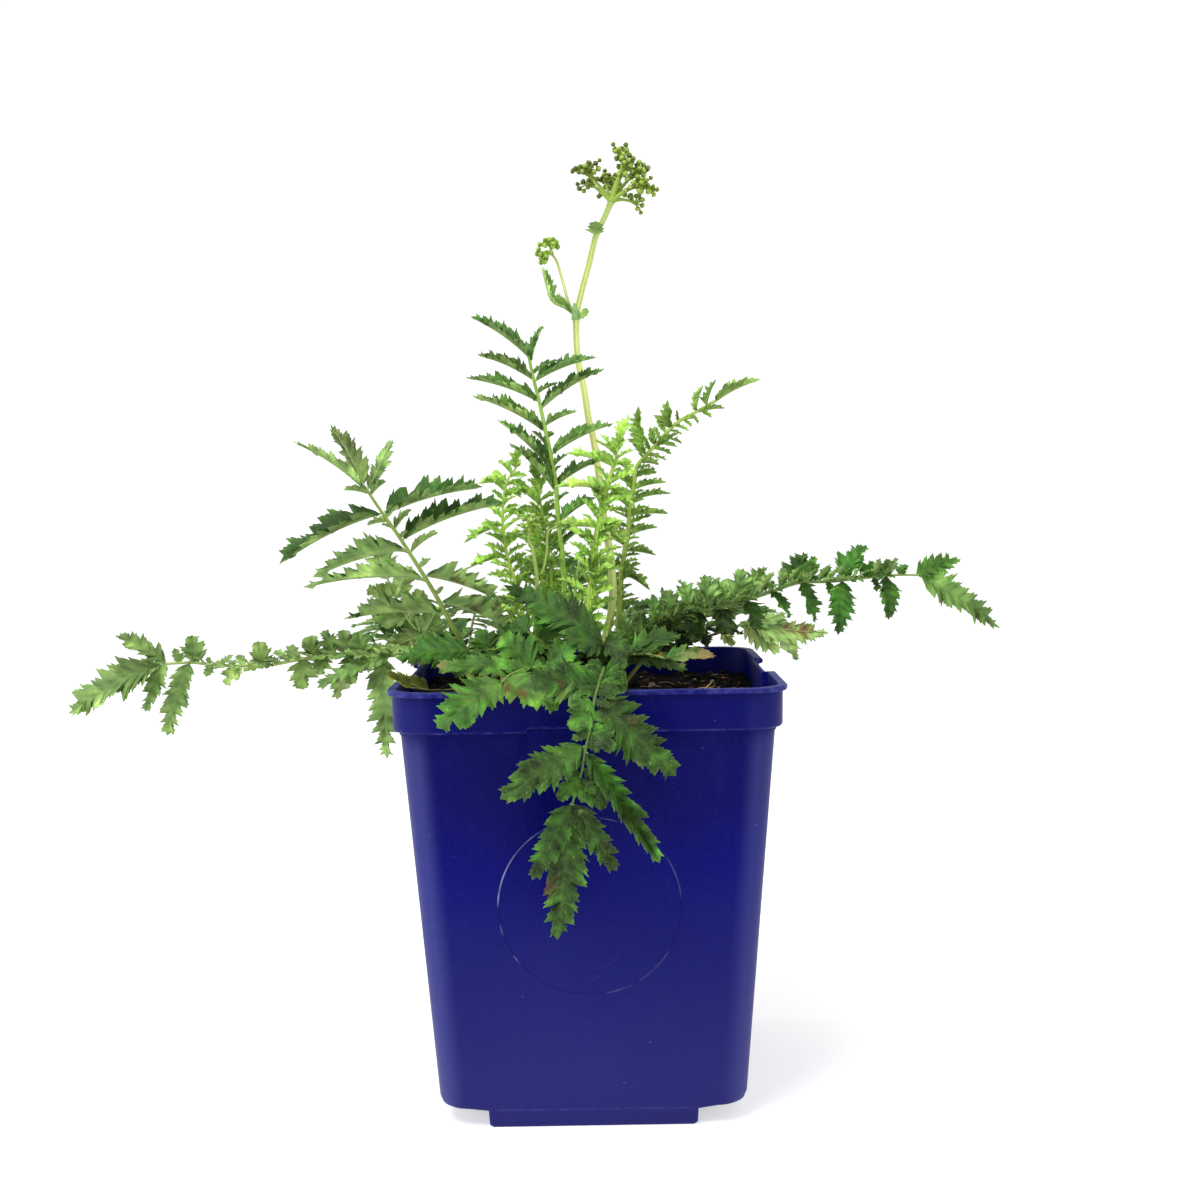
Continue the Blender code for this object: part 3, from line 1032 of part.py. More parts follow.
def head(name, kind, mat):
    """Rays and pedicels as thin tubes, a bud at the end of each, all one body."""
    base, rays = head_layout(kind)
    big = kind == "main"
    rb = 1.15 if big else 0.62
    core = base + Vector((0, 0, rb + (0.55 if big else 0.4)))
    parts = []
    for path, r0, r1, buds in rays:
        cur = Curve([core] + path[1:], 0.5)
        parts.append(tube_mesh(cur, r0 * 0.92, r1, 5, 6.0))
        parts.append(bud(cur.at(1e9), r1 * 1.25))
        for at, c, r in buds[::2] if big else buds:
            a = cur.at(at * cur.length)
            if (a - c).length > r * 0.8:
                parts.append(tube_mesh(Curve([a, (a + c) * 0.5 + Vector((0, 0, 0.02)), c]), 0.34, 0.28, 4, 60.0))
            parts.append(bud(c, r * 0.98))
    v, f = gather(parts)
    ob = make(name, v, f, mat, 40)
    cv, cf = bud(core, rb * 1.02)
    tool = make(name + "_core", cv, cf, None, 0, hidden=True)
    cut(ob, tool, "UNION", self_join=True)
    return ob


head("main_bud_head", "main", material("bud_green", (0.17, 0.24, 0.04), 0.5))
head("side_bud_head", "side", material("side_bud_green", (0.20, 0.28, 0.05), 0.5))
head("young_bud_head", "young", material("young_bud_green", (0.35, 0.50, 0.08), 0.5))


# ---- leaves and bracts: one thin closed body each, thicker along the ribs
class Sheet:
    def __init__(self):
        self.pos, self.nrm, self.half, self.tris = [], [], [], []

    def add(self, q, n, h):
        self.pos.append(Vector(q))
        self.nrm.append(Vector(n))
        self.half.append(h)
        return len(self.pos) - 1

    def bridge(self, a, b):
        i = j = 0
        while i < len(a) - 1 or j < len(b) - 1:
            if j >= len(b) - 1 or (i < len(a) - 1 and (i + 1) / (len(a) - 1) <= (j + 1) / (len(b) - 1)):
                self.tris.append((a[i], a[i + 1], b[j]))
                i += 1
            else:
                self.tris.append((a[i], b[j + 1], b[j]))
                j += 1

    def solid(self):
        n = len(self.pos)
        verts = [q + d * h for q, d, h in zip(self.pos, self.nrm, self.half)]
        verts += [q - d * h for q, d, h in zip(self.pos, self.nrm, self.half)]
        faces = list(self.tris) + [tuple(n + i for i in reversed(t)) for t in self.tris]
        seen = {}
        for t in self.tris:
            for a, b in ((t[0], t[1]), (t[1], t[2]), (t[2], t[0])):
                seen[(a, b)] = True
        for a, b in seen:
            if (b, a) not in seen:
                faces.append((b, a, n + a))
                faces.append((b, n + a, n + b))
        return verts, faces


def add_blade(sheet, blade, base_ids, flip):
    """Grow a leaflet out of base_ids, which run left to right seen from its upper side."""
    sg = -1.0 if flip else 1.0
    prev = base_ids
    w = blade.width * 0.5
    for f_, k in SHAPE:
        row = []
        for side in (-1, 0, 1):
            sd = side * sg
            q = blade.point(f_, sd * w * k)
            row.append(sheet.add(q, blade.normal(f_, sd) * sg, 0.36 if side else 0.42))
        sheet.bridge(prev, row)
        prev = row
    tip = sheet.add(blade.tip, blade.normal(0.98, 0) * sg, 0.3)
    sheet.bridge(prev, [tip])


def leaf_sheet(lf):
    cur = lf["curve"]
    sheet = Sheet()
    s0 = 0.0
    wanted = []
    for e in lf["placed"]:
        if not e["end"] and e["blade"].length > 11.5:
            wanted.append(e)
    # leaflet seats along each edge, 1.7 mm wide, kept apart on the same side
    seats = []
    for side in (-1, 1):
        row = sorted((e for e in wanted if e["side"] == side), key=lambda e: e["s"])
        last = 2.0
        for e in row:
            a = max(e["s"] - 0.85, last + 0.9)
            b = a + 1.7
            last = b
            seats.append([e, a, b])
    marks = []
    for e, a, b in seats:
        marks += [a, b]
    marks = sorted(marks)
    merged = []
    for x in marks:
        if not merged or x - merged[-1] > 0.8:
            merged.append(x)
    end = cur.length
    merged = [x for x in merged if x < end - 0.6]
    stations = [s0] + merged + [end]
    full = [stations[0]]
    for a, b in zip(stations, stations[1:]):
        n = max(1, int(math.ceil((b - a) / 16.0)))
        for k in range(1, n + 1):
            full.append(a + (b - a) * k / n)
    ids = []
    for s in full:
        t = cur.tangent(s)
        n = square_up(lf["face"], t)
        sd = t.cross(n)
        k = s / end
        hw = lf["rw"][0] + (lf["rw"][1] - lf["rw"][0]) * k
        th = hw * 0.85
        c = cur.at(s)
        ids.append((sheet.add(c - sd * hw, n, th * 0.5), sheet.add(c, n, th), sheet.add(c + sd * hw, n, th * 0.5)))
    for a, b in zip(ids, ids[1:]):
        sheet.tris += [(a[0], a[1], b[1]), (a[0], b[1], b[0]), (a[1], a[2], b[2]), (a[1], b[2], b[1])]

    def index_of(x):
        return min(range(len(full)), key=lambda i: abs(full[i] - x))

    used = {-1: [], 1: []}
    for e, a, b in seats:
        i, j = index_of(a), index_of(b)
        if j <= i:
            j = min(i + 1, len(full) - 1)
            i = j - 1
        # never share an edge span with another leaflet of the same side
        if any(not (j <= x or i >= y) for x, y in used[e["side"]]):
            continue
        used[e["side"]].append((i, j))
        col = 2 if e["side"] > 0 else 0
        span = [ids[k][col] for k in range(i, j + 1)]
        if e["side"] > 0:
            span.reverse()
        t = cur.tangent(e["s"])
        _, _, sd = e["blade"].frame(0.05)
        along = sd.dot(t)
        flip = (along > 0) if e["side"] > 0 else (along < 0)
        add_blade(sheet, e["blade"], span, flip)
    for e in lf["placed"]:
        if e["end"]:
            t = cur.tangent(end)
            n = square_up(lf["face"], t)
            _, _, sd = e["blade"].frame(0.05)
            add_blade(sheet, e["blade"], list(ids[-1]), sd.dot(t.cross(n)) < 0)
    return sheet


GREENS = {0: (0.075, 0.160, 0.035), 1: (0.250, 0.420, 0.070)}
table, notes = resolve_plant()
for lf in table:
    sh = leaf_sheet(lf)
    v, f = sh.solid()
    y = lf["young"]
    col = tuple(GREENS[0][i] * (1 - y) + GREENS[1][i] * y for i in range(3))
    if lf["age"] > 0.9:
        col = (0.30, 0.27, 0.04)
    make(lf["name"], v, f, material(lf["name"] + "_green", col, 0.55), 0)


# ---- bracts on the flower stem, each a small leaf of its own
def bract(name, blades, mat):
    b = blades[0]
    sheet = Sheet()
    row = [sheet.add(b.point(0.03, x), b.normal(0.03, 0), 0.33) for x in (-0.6, 0.0, 0.6)]
    add_blade(sheet, b, row, False)
    v, f = sheet.solid()
    return make(name, v, f, mat, 0)


bract_green = material("bract_green", (0.14, 0.26, 0.05), 0.55)
for nm, blades in bract_blades():
    bract(nm, blades, bract_green)
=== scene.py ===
"""Looks for a flowering meadowsweet in a square nursery pot.

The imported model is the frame.  Sizes are in millimetres until a mesh is made.
"""
import math

import bmesh
import bpy
import numpy as np
from mathutils import Matrix, Vector
from mathutils.bvhtree import BVHTree


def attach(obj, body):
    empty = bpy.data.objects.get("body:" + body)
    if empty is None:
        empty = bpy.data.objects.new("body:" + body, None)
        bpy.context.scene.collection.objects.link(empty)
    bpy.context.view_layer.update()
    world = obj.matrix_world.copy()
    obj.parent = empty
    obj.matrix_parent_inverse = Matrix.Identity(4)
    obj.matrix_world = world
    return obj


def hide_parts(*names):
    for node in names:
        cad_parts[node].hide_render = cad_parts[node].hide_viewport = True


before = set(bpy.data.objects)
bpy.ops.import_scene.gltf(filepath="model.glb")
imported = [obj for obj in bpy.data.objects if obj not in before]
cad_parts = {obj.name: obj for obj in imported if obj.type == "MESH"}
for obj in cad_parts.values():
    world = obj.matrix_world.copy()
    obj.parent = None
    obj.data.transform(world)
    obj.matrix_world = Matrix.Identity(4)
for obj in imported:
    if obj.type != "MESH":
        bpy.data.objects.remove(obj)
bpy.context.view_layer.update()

# ---------------------------------------------------------------- sizes, as in the solids
LIP_WIDTH = 152.0
POT_HEIGHT = 172.5
WALL = 1.4
BAND_WIDTH = 148.4
BAND_DEPTH = 17.0
BODY_TOP = 142.6
BODY_FOOT = 121.2
CORNER_R = 12.0
FOOT_LIFT = 7.0
FOOT_X = 41.0
FOOT_Y = 31.0
GAP_HALF = 22.0
GAP_BAND = 14.0
SOIL_LEVEL = 158.9
CLEAR = 0.35
HOLE_R = 4.5
MM = 0.001


# ---------------------------------------------------------------- plant layout
# Everything in this block is in millimetres, +Z up, with the origin on the ground
# under the middle of the pot.  The plant is set out as it is seen from in front:
# a station is given by its place across and down a square view 1200 units wide,
# and by its depth (Y).  EYE, REACH and the three small angles fix that view.
EYE = (3.31, -633.82, 247.19)
REACH = 1519.3
PITCH = math.radians(4.198)
YAW = math.radians(0.198)
ROLL = math.radians(-0.838)


def view_axes():
    cy, sy = math.cos(YAW), math.sin(YAW)
    cp, sp = math.cos(PITCH), math.sin(PITCH)
    fwd = Vector((sy * cp, cy * cp, -sp))
    right = Vector((cy, -sy, 0.0))
    up = right.cross(fwd)
    cr, sr = math.cos(ROLL), math.sin(ROLL)
    return fwd, cr * right + sr * up, cr * up - sr * right


FWD, RIGHT, UP = view_axes()


def p(u, v, y):
    """Point at depth y that is seen u across and v down."""
    d = FWD + RIGHT * ((u - 600.0) / REACH) + UP * ((600.0 - v) / REACH)
    return Vector(EYE) + d * ((y - EYE[1]) / d.y)


def m(x, y, z):
    return Vector((x, y, z))


# crown: a low lumpy ellipsoid, half buried
CROWN_C = (-18.0, -1.0, 158.5)
CROWN_R = (40.0, 15.0, 8.5)


def on_crown(x, y, lift=0.95):
    q = 1.0 - ((x - CROWN_C[0]) / CROWN_R[0]) ** 2 - ((y - CROWN_C[1]) / CROWN_R[1]) ** 2
    return Vector((x, y, CROWN_C[2] + CROWN_R[2] * 1.06 * math.sqrt(max(q, 0.0)) + lift))


def smooth_path(points, step=1.0):
    """Centripetal Catmull-Rom curve through the points, as a list of positions
    about `step` apart, with the running length of each."""
    pts = [Vector(q) for q in points]
    ext = [pts[0] * 2 - pts[1]] + pts + [pts[-1] * 2 - pts[-2]]
    out = []
    for i in range(1, len(ext) - 2):
        p0, p1, p2, p3 = ext[i - 1], ext[i], ext[i + 1], ext[i + 2]
        t0 = 0.0
        t1 = t0 + max((p1 - p0).length, 1e-6) ** 0.5
        t2 = t1 + max((p2 - p1).length, 1e-6) ** 0.5
        t3 = t2 + max((p3 - p2).length, 1e-6) ** 0.5
        n = max(2, int(round((p2 - p1).length / step)))
        for k in range(n):
            t = t1 + (t2 - t1) * k / n
            a1 = p0 * ((t1 - t) / (t1 - t0)) + p1 * ((t - t0) / (t1 - t0))
            a2 = p1 * ((t2 - t) / (t2 - t1)) + p2 * ((t - t1) / (t2 - t1))
            a3 = p2 * ((t3 - t) / (t3 - t2)) + p3 * ((t - t2) / (t3 - t2))
            b1 = a1 * ((t2 - t) / (t2 - t0)) + a2 * ((t - t0) / (t2 - t0))
            b2 = a2 * ((t3 - t) / (t3 - t1)) + a3 * ((t - t1) / (t3 - t1))
            out.append(b1 * ((t2 - t) / (t2 - t1)) + b2 * ((t - t1) / (t2 - t1)))
    out.append(pts[-1].copy())
    run = [0.0]
    for a, b in zip(out, out[1:]):
        run.append(run[-1] + (b - a).length)
    return out, run


class Curve:
    def __init__(self, points, step=1.0):
        self.pts, self.run = smooth_path(points, step)
        self.length = self.run[-1]

    def at(self, s):
        s = min(max(s, 0.0), self.length)
        lo, hi = 0, len(self.run) - 1
        while hi - lo > 1:
            mid = (lo + hi) // 2
            if self.run[mid] <= s:
                lo = mid
            else:
                hi = mid
        w = (s - self.run[lo]) / max(self.run[hi] - self.run[lo], 1e-9)
        return self.pts[lo].lerp(self.pts[hi], w)

    def tangent(self, s, d=1.5):
        return (self.at(s + d) - self.at(s - d)).normalized()

    def nearest_seen(self, u, v):
        """Running length whose place in the view is nearest to (u, v)."""
        best, where = 1e18, 0.0
        for q, s in zip(self.pts, self.run):
            d = q - Vector(EYE)
            f = d.dot(FWD)
            uu = 600.0 + REACH * d.dot(RIGHT) / f
            vv = 600.0 - REACH * d.dot(UP) / f
            e = (uu - u) ** 2 + (vv - v) ** 2
            if e < best:
                best, where = e, s
        return where

    def nearest(self, q):
        best, where = 1e18, 0.0
        for a, s in zip(self.pts, self.run):
            e = (a - q).length_squared
            if e < best:
                best, where = e, s
        return where


def square_up(hint, along):
    """The unit vector nearest to `hint` that is square to `along`."""
    n = Vector(hint) - along * along.dot(Vector(hint))
    if n.length < 1e-4:
        n = along.orthogonal()
    return n.normalized()


# Leaves.  path: stations of the rachis from the crown outwards.  face: the side the
# rachis turns up.  up: the way the leaflets' upper faces look.  fold: how far the two
# halves of a leaflet are folded up from flat, in degrees.  Each leaflet is
# (base u, base v, tip u, tip v, tip depth minus base depth, full width[, options]).
# tint and young steer colour only.
def leaf_table():
    L = []

    def leaf(name, path, leaflets, tip, face=(0, 0, 1), up=(0, 0, 1), fold=28.0, rw=(1.0, 0.45),
             tint=0.0, young=0.0, auto=None, age=0.0):
        L.append(dict(name=name, path=path, leaflets=leaflets, tip=tip, face=Vector(face), up=Vector(up),
                      fold=fold, rw=rw, tint=tint, young=young, auto=auto, age=age))

    leaf("leaf_tall",
         [on_crown(-12, -4), p(566, 640, -5), p(565, 612, -6), p(564.3, 584.6, -6), p(561.9, 551, -6),
          p(557.3, 507, -6), p(555.8, 484, -6), p(550.4, 453.6, -6), p(544.3, 425, -6), p(538.9, 400, -6),
          p(533.4, 378, -6), p(528.6, 356, -6)],
         [(533, 379, 477, 354.5, -3, 7.2), (537, 399.5, 465.7, 377.5, -3, 7.6), (542.5, 431, 472, 395.6, -3, 8.4),
          (549, 470, 497, 419.5, -4, 8.6), (553.5, 490, 509, 443, -5, 7.6),
          (536, 381, 597, 357, 2, 6.8), (542.5, 407, 604.5, 368.5, 2, 7.6), (546, 424, 577, 411, 2, 5.0),
          (553, 453, 613, 423.5, 2, 7.6), (557, 485, 601, 459.5, 2, 7.0), (560, 520, 596, 497, 1, 6.4),
          (547.5, 447, 529.5, 433.5, -1, 3.4), (533, 372, 558, 360, 1, 3.4), (540, 391, 558, 383, 1, 3.2),
          (549, 437, 553.5, 432, 0, 2.5), (554, 465, 567.6, 454, 1, 3.2), (556.5, 478, 549, 474, 0, 2.5),
          (562, 545, 580, 530, 1, 4), (562, 552, 543, 540, -1, 4),
          (530, 362, 543, 325.5, 1, 5.0)],
         (470.6, 316.6, -4, 7.8),
         face=(0, -1, 0.2), up=(-0.05, -0.34, 1), fold=46.0, rw=(1.15, 0.5))

    leaf("leaf_young_centre",
         [on_crown(-3, -8), p(589, 640, -13), p(589, 612, -15), p(590.5, 588, -15), p(594, 567, -15),
          p(595.4, 548, -15), p(597.3, 529, -15), p(601.3, 513, -15), p(606, 491.8, -15),
          p(609.7, 476.5, -14), p(615, 463.5, -13), p(617.8, 445.9, -12)],
         [(613.6, 466, 566, 453, -3, 6), (607, 489, 554, 487, -3, 6.5), (598.5, 527, 550, 529, -3, 6),
          (596, 552, 574, 560, -2, 5), (594, 573, 580, 541, -2, 5), (615.5, 462, 635, 476.5, -2, 5),
          (608, 487, 636.5, 509, -2, 6), (598.5, 525, 630, 546, -2, 6), (595.5, 558, 616, 569, -2, 5),
          (618, 450, 629, 414, 1, 6), (617, 453, 600, 434, -1, 3), (604, 502, 592, 482, -1, 4),
          (602, 508, 618, 512, -1, 4), (597, 540, 585, 530, -1, 3), (596.5, 538, 610, 536, -1, 3),
          (592, 583, 575, 566, -2, 4), (591, 588, 606, 575, -1, 4)],
         (604.5, 397, 1, 4.5),
         face=(0, -1, 0.1), up=(0.0, -0.35, 1), fold=40.0, rw=(1.25, 0.4), young=1.0)

    leaf("leaf_upper_right",
         [on_crown(8, 6), p(617, 650, 14), p(619, 620, 15), p(619.5, 600, 16), p(621, 575, 17), p(625, 550, 17),
          p(628.4, 532, 17), p(629, 519.6, 17), p(631, 499.5, 17), p(633.4, 488, 17), p(635, 476.5, 17),
          p(637, 466, 17), p(644, 457.4, 17), p(655.6, 445, 17), p(668.6, 430.6, 17), p(680, 420.5, 17),
          p(694, 413, 17), p(715, 401, 16)],
         [(645, 456, 638.4, 406, 2, 7), (670, 429, 667.5, 400, 2, 7), (656, 444.5, 655, 426, 1, 4),
          (697, 411.5, 703, 385, 2, 5), (707, 405.5, 716, 379, 2, 5),
          (641, 460, 659, 464.5, -2, 4.5), (655, 446, 679, 433, -1, 5), (684, 418, 698, 418, -1, 3.5),
          (699, 411, 725, 408, -1, 4),
          (636, 473, 657, 472, -2, 4), (633.8, 487, 666.4, 482, -2, 5), (631.5, 499, 671.7, 493, -2, 5),
          (629.5, 516, 668.5, 513.5, -2, 5), (628.2, 534, 658, 527, -2, 5), (625, 551, 656, 555, -3, 5.5),
          (621.5, 572, 650, 590, -3, 6), (634, 484, 619, 476, 2, 4), (629.5, 513, 611, 508, 2, 4),
          (626, 545, 606, 536, 2, 4.5), (622, 566, 603, 560, 2, 4.5)],
         (761, 379, 0, 7),
         face=(0, -1, 0.1), up=(-0.25, -0.1, 1), fold=45.0, rw=(1.1, 0.45), young=0.55)

    leaf("leaf_young_left",
         [on_crown(-30, 1), p(525.5, 640, 1), p(522, 612, 1), p(519, 594, 1), p(512, 572, 1), p(506.4, 553, 1),
          p(504, 534, 1), p(502.5, 519.6, 1), p(503, 507, 1), p(504.5, 492, 1), p(508.3, 479, 1),
          p(516, 468, 1)],
         [(513, 473, 497.6, 460.5, -1, 4), (507, 484, 478, 483, -2, 6), (503.2, 524, 464, 543, -3, 6),
          (506.4, 556, 466, 569, -3, 6), (503.5, 538, 494, 535, -1, 2.5), (505.5, 550, 497, 548, -1, 2.5),
          (513, 574, 502, 570, -1, 3), (507.5, 482, 533.6, 495.7, -2, 5.5), (505, 489, 522, 498, -1, 3),
          (504, 497, 512, 494, -1, 2.5), (503, 510, 529, 520, -2, 6), (505, 543, 524, 534, -2, 4.5),
          (509, 563, 524, 556, -2, 4.5), (516, 583, 532, 574, -2, 4.5), (503, 504, 495, 500, -1, 2.5)],
         (520, 447, 1, 5),
         face=(0, -1, 0.1), up=(0.0, -0.3, 1), fold=42.0, rw=(1.0, 0.4), young=1.0)

    leaf("leaf_left_arching",
         [on_crown(-45, -6), p(474, 668, -20), p(462, 643, -26), p(448, 618, -31), p(434.5, 593, -35),
          p(416, 563, -40), p(398, 535, -43), p(379, 508, -46), p(364, 485.5, -48.5)],
         [(366, 488, 293, 441.5, -4, 6.4, dict(up=(-0.15, 0.2, 0.93), fold=32, end=0.10)),
          (367, 489, 393.5, 438.5, 2, 4.6, dict(up=(0.3, 0.5, 0.8), fold=16, end=0.06)),
          (369, 492, 344, 489.5, -2, 4.6), (370, 493, 386, 481, 2, 4.5),
          (380, 513, 279.5, 564, -6, 13.0, dict(up=(0.1, -0.28, 0.95), fold=42, end=0.3)), (386, 520, 367, 525, -1, 4.5),
          (404.6, 548, 313, 577, -6, 14), (423, 577, 303.6, 587, -5, 13), (443, 612, 344, 619, -5, 14),
          (386, 511, 482.5, 487, 4, 13.5, dict(up=(0.1, -0.28, 0.95), fold=42, end=0.34)),
          (394, 527, 411.5, 509, 1, 5),
          (402, 540, 503, 503, 4, 14, dict(up=(0.1, -0.28, 0.95), fold=42, end=0.34)),
          (409, 551, 438, 532, 2, 5), (424, 574, 507, 604, 2, 14), (440, 602, 522, 620, 3, 15)],
         (322.5, 428, -2, 9.6, dict(up=(0.02, 0.55, 0.8), fold=12, end=0.16)),
         face=(0.25, 0.75, 0.55), up=(0.15, 0.35, 0.9), fold=32.0, rw=(1.3, 0.55), age=0.35)

    leaf("leaf_long_left",
         [on_crown(-46, 4), p(462, 668, 6), p(440, 657, 6), p(411, 654, 6), p(380, 655.5, 6), p(340, 655.5, 6),
          p(295, 660, 6), p(269, 665, 6), p(215, 665, 5), p(192, 662.5, 4), p(163, 664, 2)],
         [(158, 664, 115.6, 635, -2, 9), (157, 665, 145, 712, -6, 8), (189, 663, 167, 736, -9, 9),
          (180, 663, 174, 648, 1, 4), (196, 663, 192, 635, 2, 8), (222, 665, 233, 655, 1, 4),
          (262, 664, 258, 641, 2, 7), (290, 660.5, 293, 644, 2, 5), (312, 658, 312, 635, 2, 8),
          (240, 665, 225, 685, -5, 7), (270, 664, 259, 668, -3, 3.5), (213, 665, 206, 677, -3, 4),
          (302, 659, 303, 690, -6, 9), (326, 656.5, 319, 677, -5, 8), (352, 655.5, 350, 685, -6, 8),
          (348, 655.5, 343, 629.5, 3, 8), (334, 655.5, 322, 631, 3, 7), (362, 655.5, 358, 632, 4, 7),
          (383, 655.5, 387, 759, -11, 11), (393, 655, 317, 688, -14, 9)],
         (78, 725, -6, 17),
         face=(0, 0, 1), up=(0.0, -0.55, 0.85), fold=14.0, rw=(1.1, 0.5), tint=0.65)

    leaf("leaf_long_right",
         [on_crown(13, -1), p(624, 652, 1), p(650, 630, 2), p(686, 614, 3), p(723, 607, 4), p(771, 592, 5),
          p(798, 583, 5), p(830, 581.6, 5), p(868, 577.6, 4), p(897, 575, 3), p(919, 575, 2)],
         [(796, 584, 803.5, 552, 4, 11), (808, 583, 815, 556, 3, 5), (842, 580, 866.5, 545, 3, 11.5),
          (866, 578, 873, 561, 2, 6), (884, 576.5, 890, 559, 2, 6), (900, 575, 906, 564, 2, 5),
          (750, 599, 764, 566, 6, 9), (736, 604, 744, 570, 6, 9), (722, 607.5, 724, 574, 7, 9),
          (707, 610, 700, 577, 7, 9), (692, 613, 680, 579, 7, 9), (676, 618.5, 662, 588, 6, 9),
          (800, 583, 815, 623, -4, 8), (842, 580, 838, 635, -5, 9), (886, 576, 889, 620, -5, 7),
          (828, 582, 831, 596, -2, 4), (874, 577.5, 877, 592, -2, 3.5), (772, 592, 790, 618, -5, 7),
          (746, 601, 757, 630, -6, 8), (722, 607, 722, 636, -7, 9), (697, 612, 690, 642, -7, 9),
          (672, 620, 656, 646, -7, 9), (922, 575.5, 961, 559, 2, 8, dict(up=(0.1, -0.8, 0.5), fold=14))],
         (1000, 628, -4, 11.5, dict(up=(0.25, -0.85, 0.5), fold=12, end=0.26)),
         face=(0, 0, 1), up=(0.1, -0.25, 0.95), fold=24.0, rw=(1.2, 0.5))

    leaf("leaf_drooping_front",
         [on_crown(3, -10.5), p(604, 668, -40), p(600.5, 678, -66), p(598.5, 685, -81), p(594.5, 699, -88),
          p(590.6, 726, -92), p(584.5, 754, -93), p(582, 771, -92), p(576, 791, -90), p(571.5, 807, -88)],
         [(585.5, 747, 500, 799, -4, 10.8), (587, 752, 660, 863, -3, 10, dict(fold=56)),
          (594.5, 700, 676, 776, -4, 12.6), (598, 686, 530, 678, -7, 12.5), (594, 703, 570, 730, -4, 8),
          (592, 716, 579, 743, -3, 6), (590, 731, 615, 752, -3, 6), (579, 782, 606, 808, -3, 7),
          (600, 680, 641, 691, -6, 11), (581, 775, 558, 800, -3, 5),
          (571, 809, 532, 880, -3, 8), (572, 806, 617, 871, -3, 7.2)],
         (557, 951, 3, 11.2),
         face=(0.05, -0.9, 0.45), up=(0.05, -0.93, 0.3), fold=12.0, rw=(1.15, 0.5), tint=-0.05, age=0.15)

    leaf("leaf_front_left",
         [on_crown(-15, -10), p(560, 668, -38), p(530, 668, -54), p(510, 675, -66), p(502, 682, -72)],
         [(504, 681, 558, 725, -8, 11.5), (520, 670, 436, 666, -1, 8.5), (534, 667, 500, 636, 4, 11),
          (548, 667, 577, 640, 4, 9)],
         (442, 742, -7, 13.6),
         face=(0.0, -0.4, 0.9), up=(0.05, -0.7, 0.7), fold=10.0, rw=(1.1, 0.55), tint=0.75, age=0.3)

    leaf("leaf_front_centre",
         [on_crown(-6, -12), p(588, 670, -26), p(604, 655, -34), p(604, 640, -38)],
         [(603, 637, 560, 641, -6, 10), (604, 641, 633, 655, -4, 9)],
         (505, 576, 3, 12.8),
         face=(0.2, -0.8, 0.6), up=(0.2, -0.86, 0.45), fold=8.0, rw=(1.1, 0.6), tint=0.0)

    leaf("leaf_low_left",
         [on_crown(-24, -7.5), p(548, 665, -24), p(520, 655, -32), p(500, 650, -37), p(470, 651, -40)],
         [(506, 650, 520, 625, 4, 10), (488, 650, 480, 628, 4, 8), (524, 657, 548, 632, 4, 10),
          (480, 650, 455, 678, -7, 8)],
         (396, 658, -4, 13),
         face=(0.0, -0.3, 0.95), up=(0.0, -0.6, 0.8), fold=12.0, rw=(1.0, 0.5), tint=0.2, age=0.2)

    leaf("leaf_low_back_left",
         [on_crown(-36, 8), p(500, 664, 22), p(470, 650, 30), p(440, 640, 36), p(405, 636, 40), p(375, 640, 42)],
         [(452, 643, 466, 618, 4, 9), (430, 638, 430, 612, 4, 9), (408, 636, 398, 606, 4, 9),
          (460, 646, 446, 664, -4, 8), (436, 640, 425, 658, -4, 8), (412, 637, 398, 654, -4, 7),
          (390, 638, 372, 612, 3, 8)],
         (352, 646, -2, 11),
         face=(0, 0, 1), up=(0.0, -0.2, 1), fold=20.0, rw=(1.0, 0.45), tint=0.0)

    leaf("leaf_right_front",
         [on_crown(7, -7.5), p(613, 664, -22), p(625, 656, -30), p(645, 654, -37), p(664, 658, -42)],
         [(630, 654, 681, 634, 3, 12), (620, 657, 688, 670, -8, 9)],
         (716, 656, -2, 9),
         face=(0, -0.2, 1), up=(0.0, -0.45, 0.9), fold=16.0, rw=(1.0, 0.5), age=0.3)

    leaf("leaf_right_pale",
         [on_crown(3, 10), p(625, 658, 23), p(655, 652, 28), p(685, 643, 33), p(718, 633, 37), p(748, 622, 40)],
         [(752, 622, 780, 653, -3, 9), (750, 621, 786, 613, 2, 6), (722, 632, 735, 645, -3, 5),
          (700, 638, 697, 620, 2, 7), (680, 644, 672, 660, -3, 7)],
         (829, 633, -1, 12),
         face=(0, 0, 1), up=(0.0, 0.6, -0.8), fold=10.0, rw=(1.2, 0.6), tint=0.6, age=0.35)

    leaf("leaf_yellowing",
         [on_crown(-50, -2), p(449, 690, -24), p(428, 690, -44), p(412, 687.5, -58)],
         [(430, 690, 404, 677, -2, 4.4)],
         (386, 672.5, -3, 4.6),
         face=(0, 0, 1), up=(0.1, -0.6, 0.8), fold=20.0, rw=(0.8, 0.45), age=1.0)

    leaf("leaf_left_pale",
         [on_crown(-41, 1), p(466, 660, 14), p(438, 646, 20), p(415, 628, 24), p(400, 606, 26), p(388, 580, 27)],
         [(438, 646, 410, 668, -4, 9), (424, 636, 440, 606, 4, 9), (424, 636, 385, 650, -4, 9),
          (408, 618, 424, 590, 4, 9), (408, 618, 372, 622, -4, 9), (395, 594, 412, 566, 3, 8),
          (396, 596, 366, 590, -3, 8)],
         (374, 545, -2, 11),
         face=(0.1, 0.4, 0.8), up=(0.1, 0.75, 0.5), fold=12.0, rw=(1.0, 0.45), tint=0.8, age=0.15)

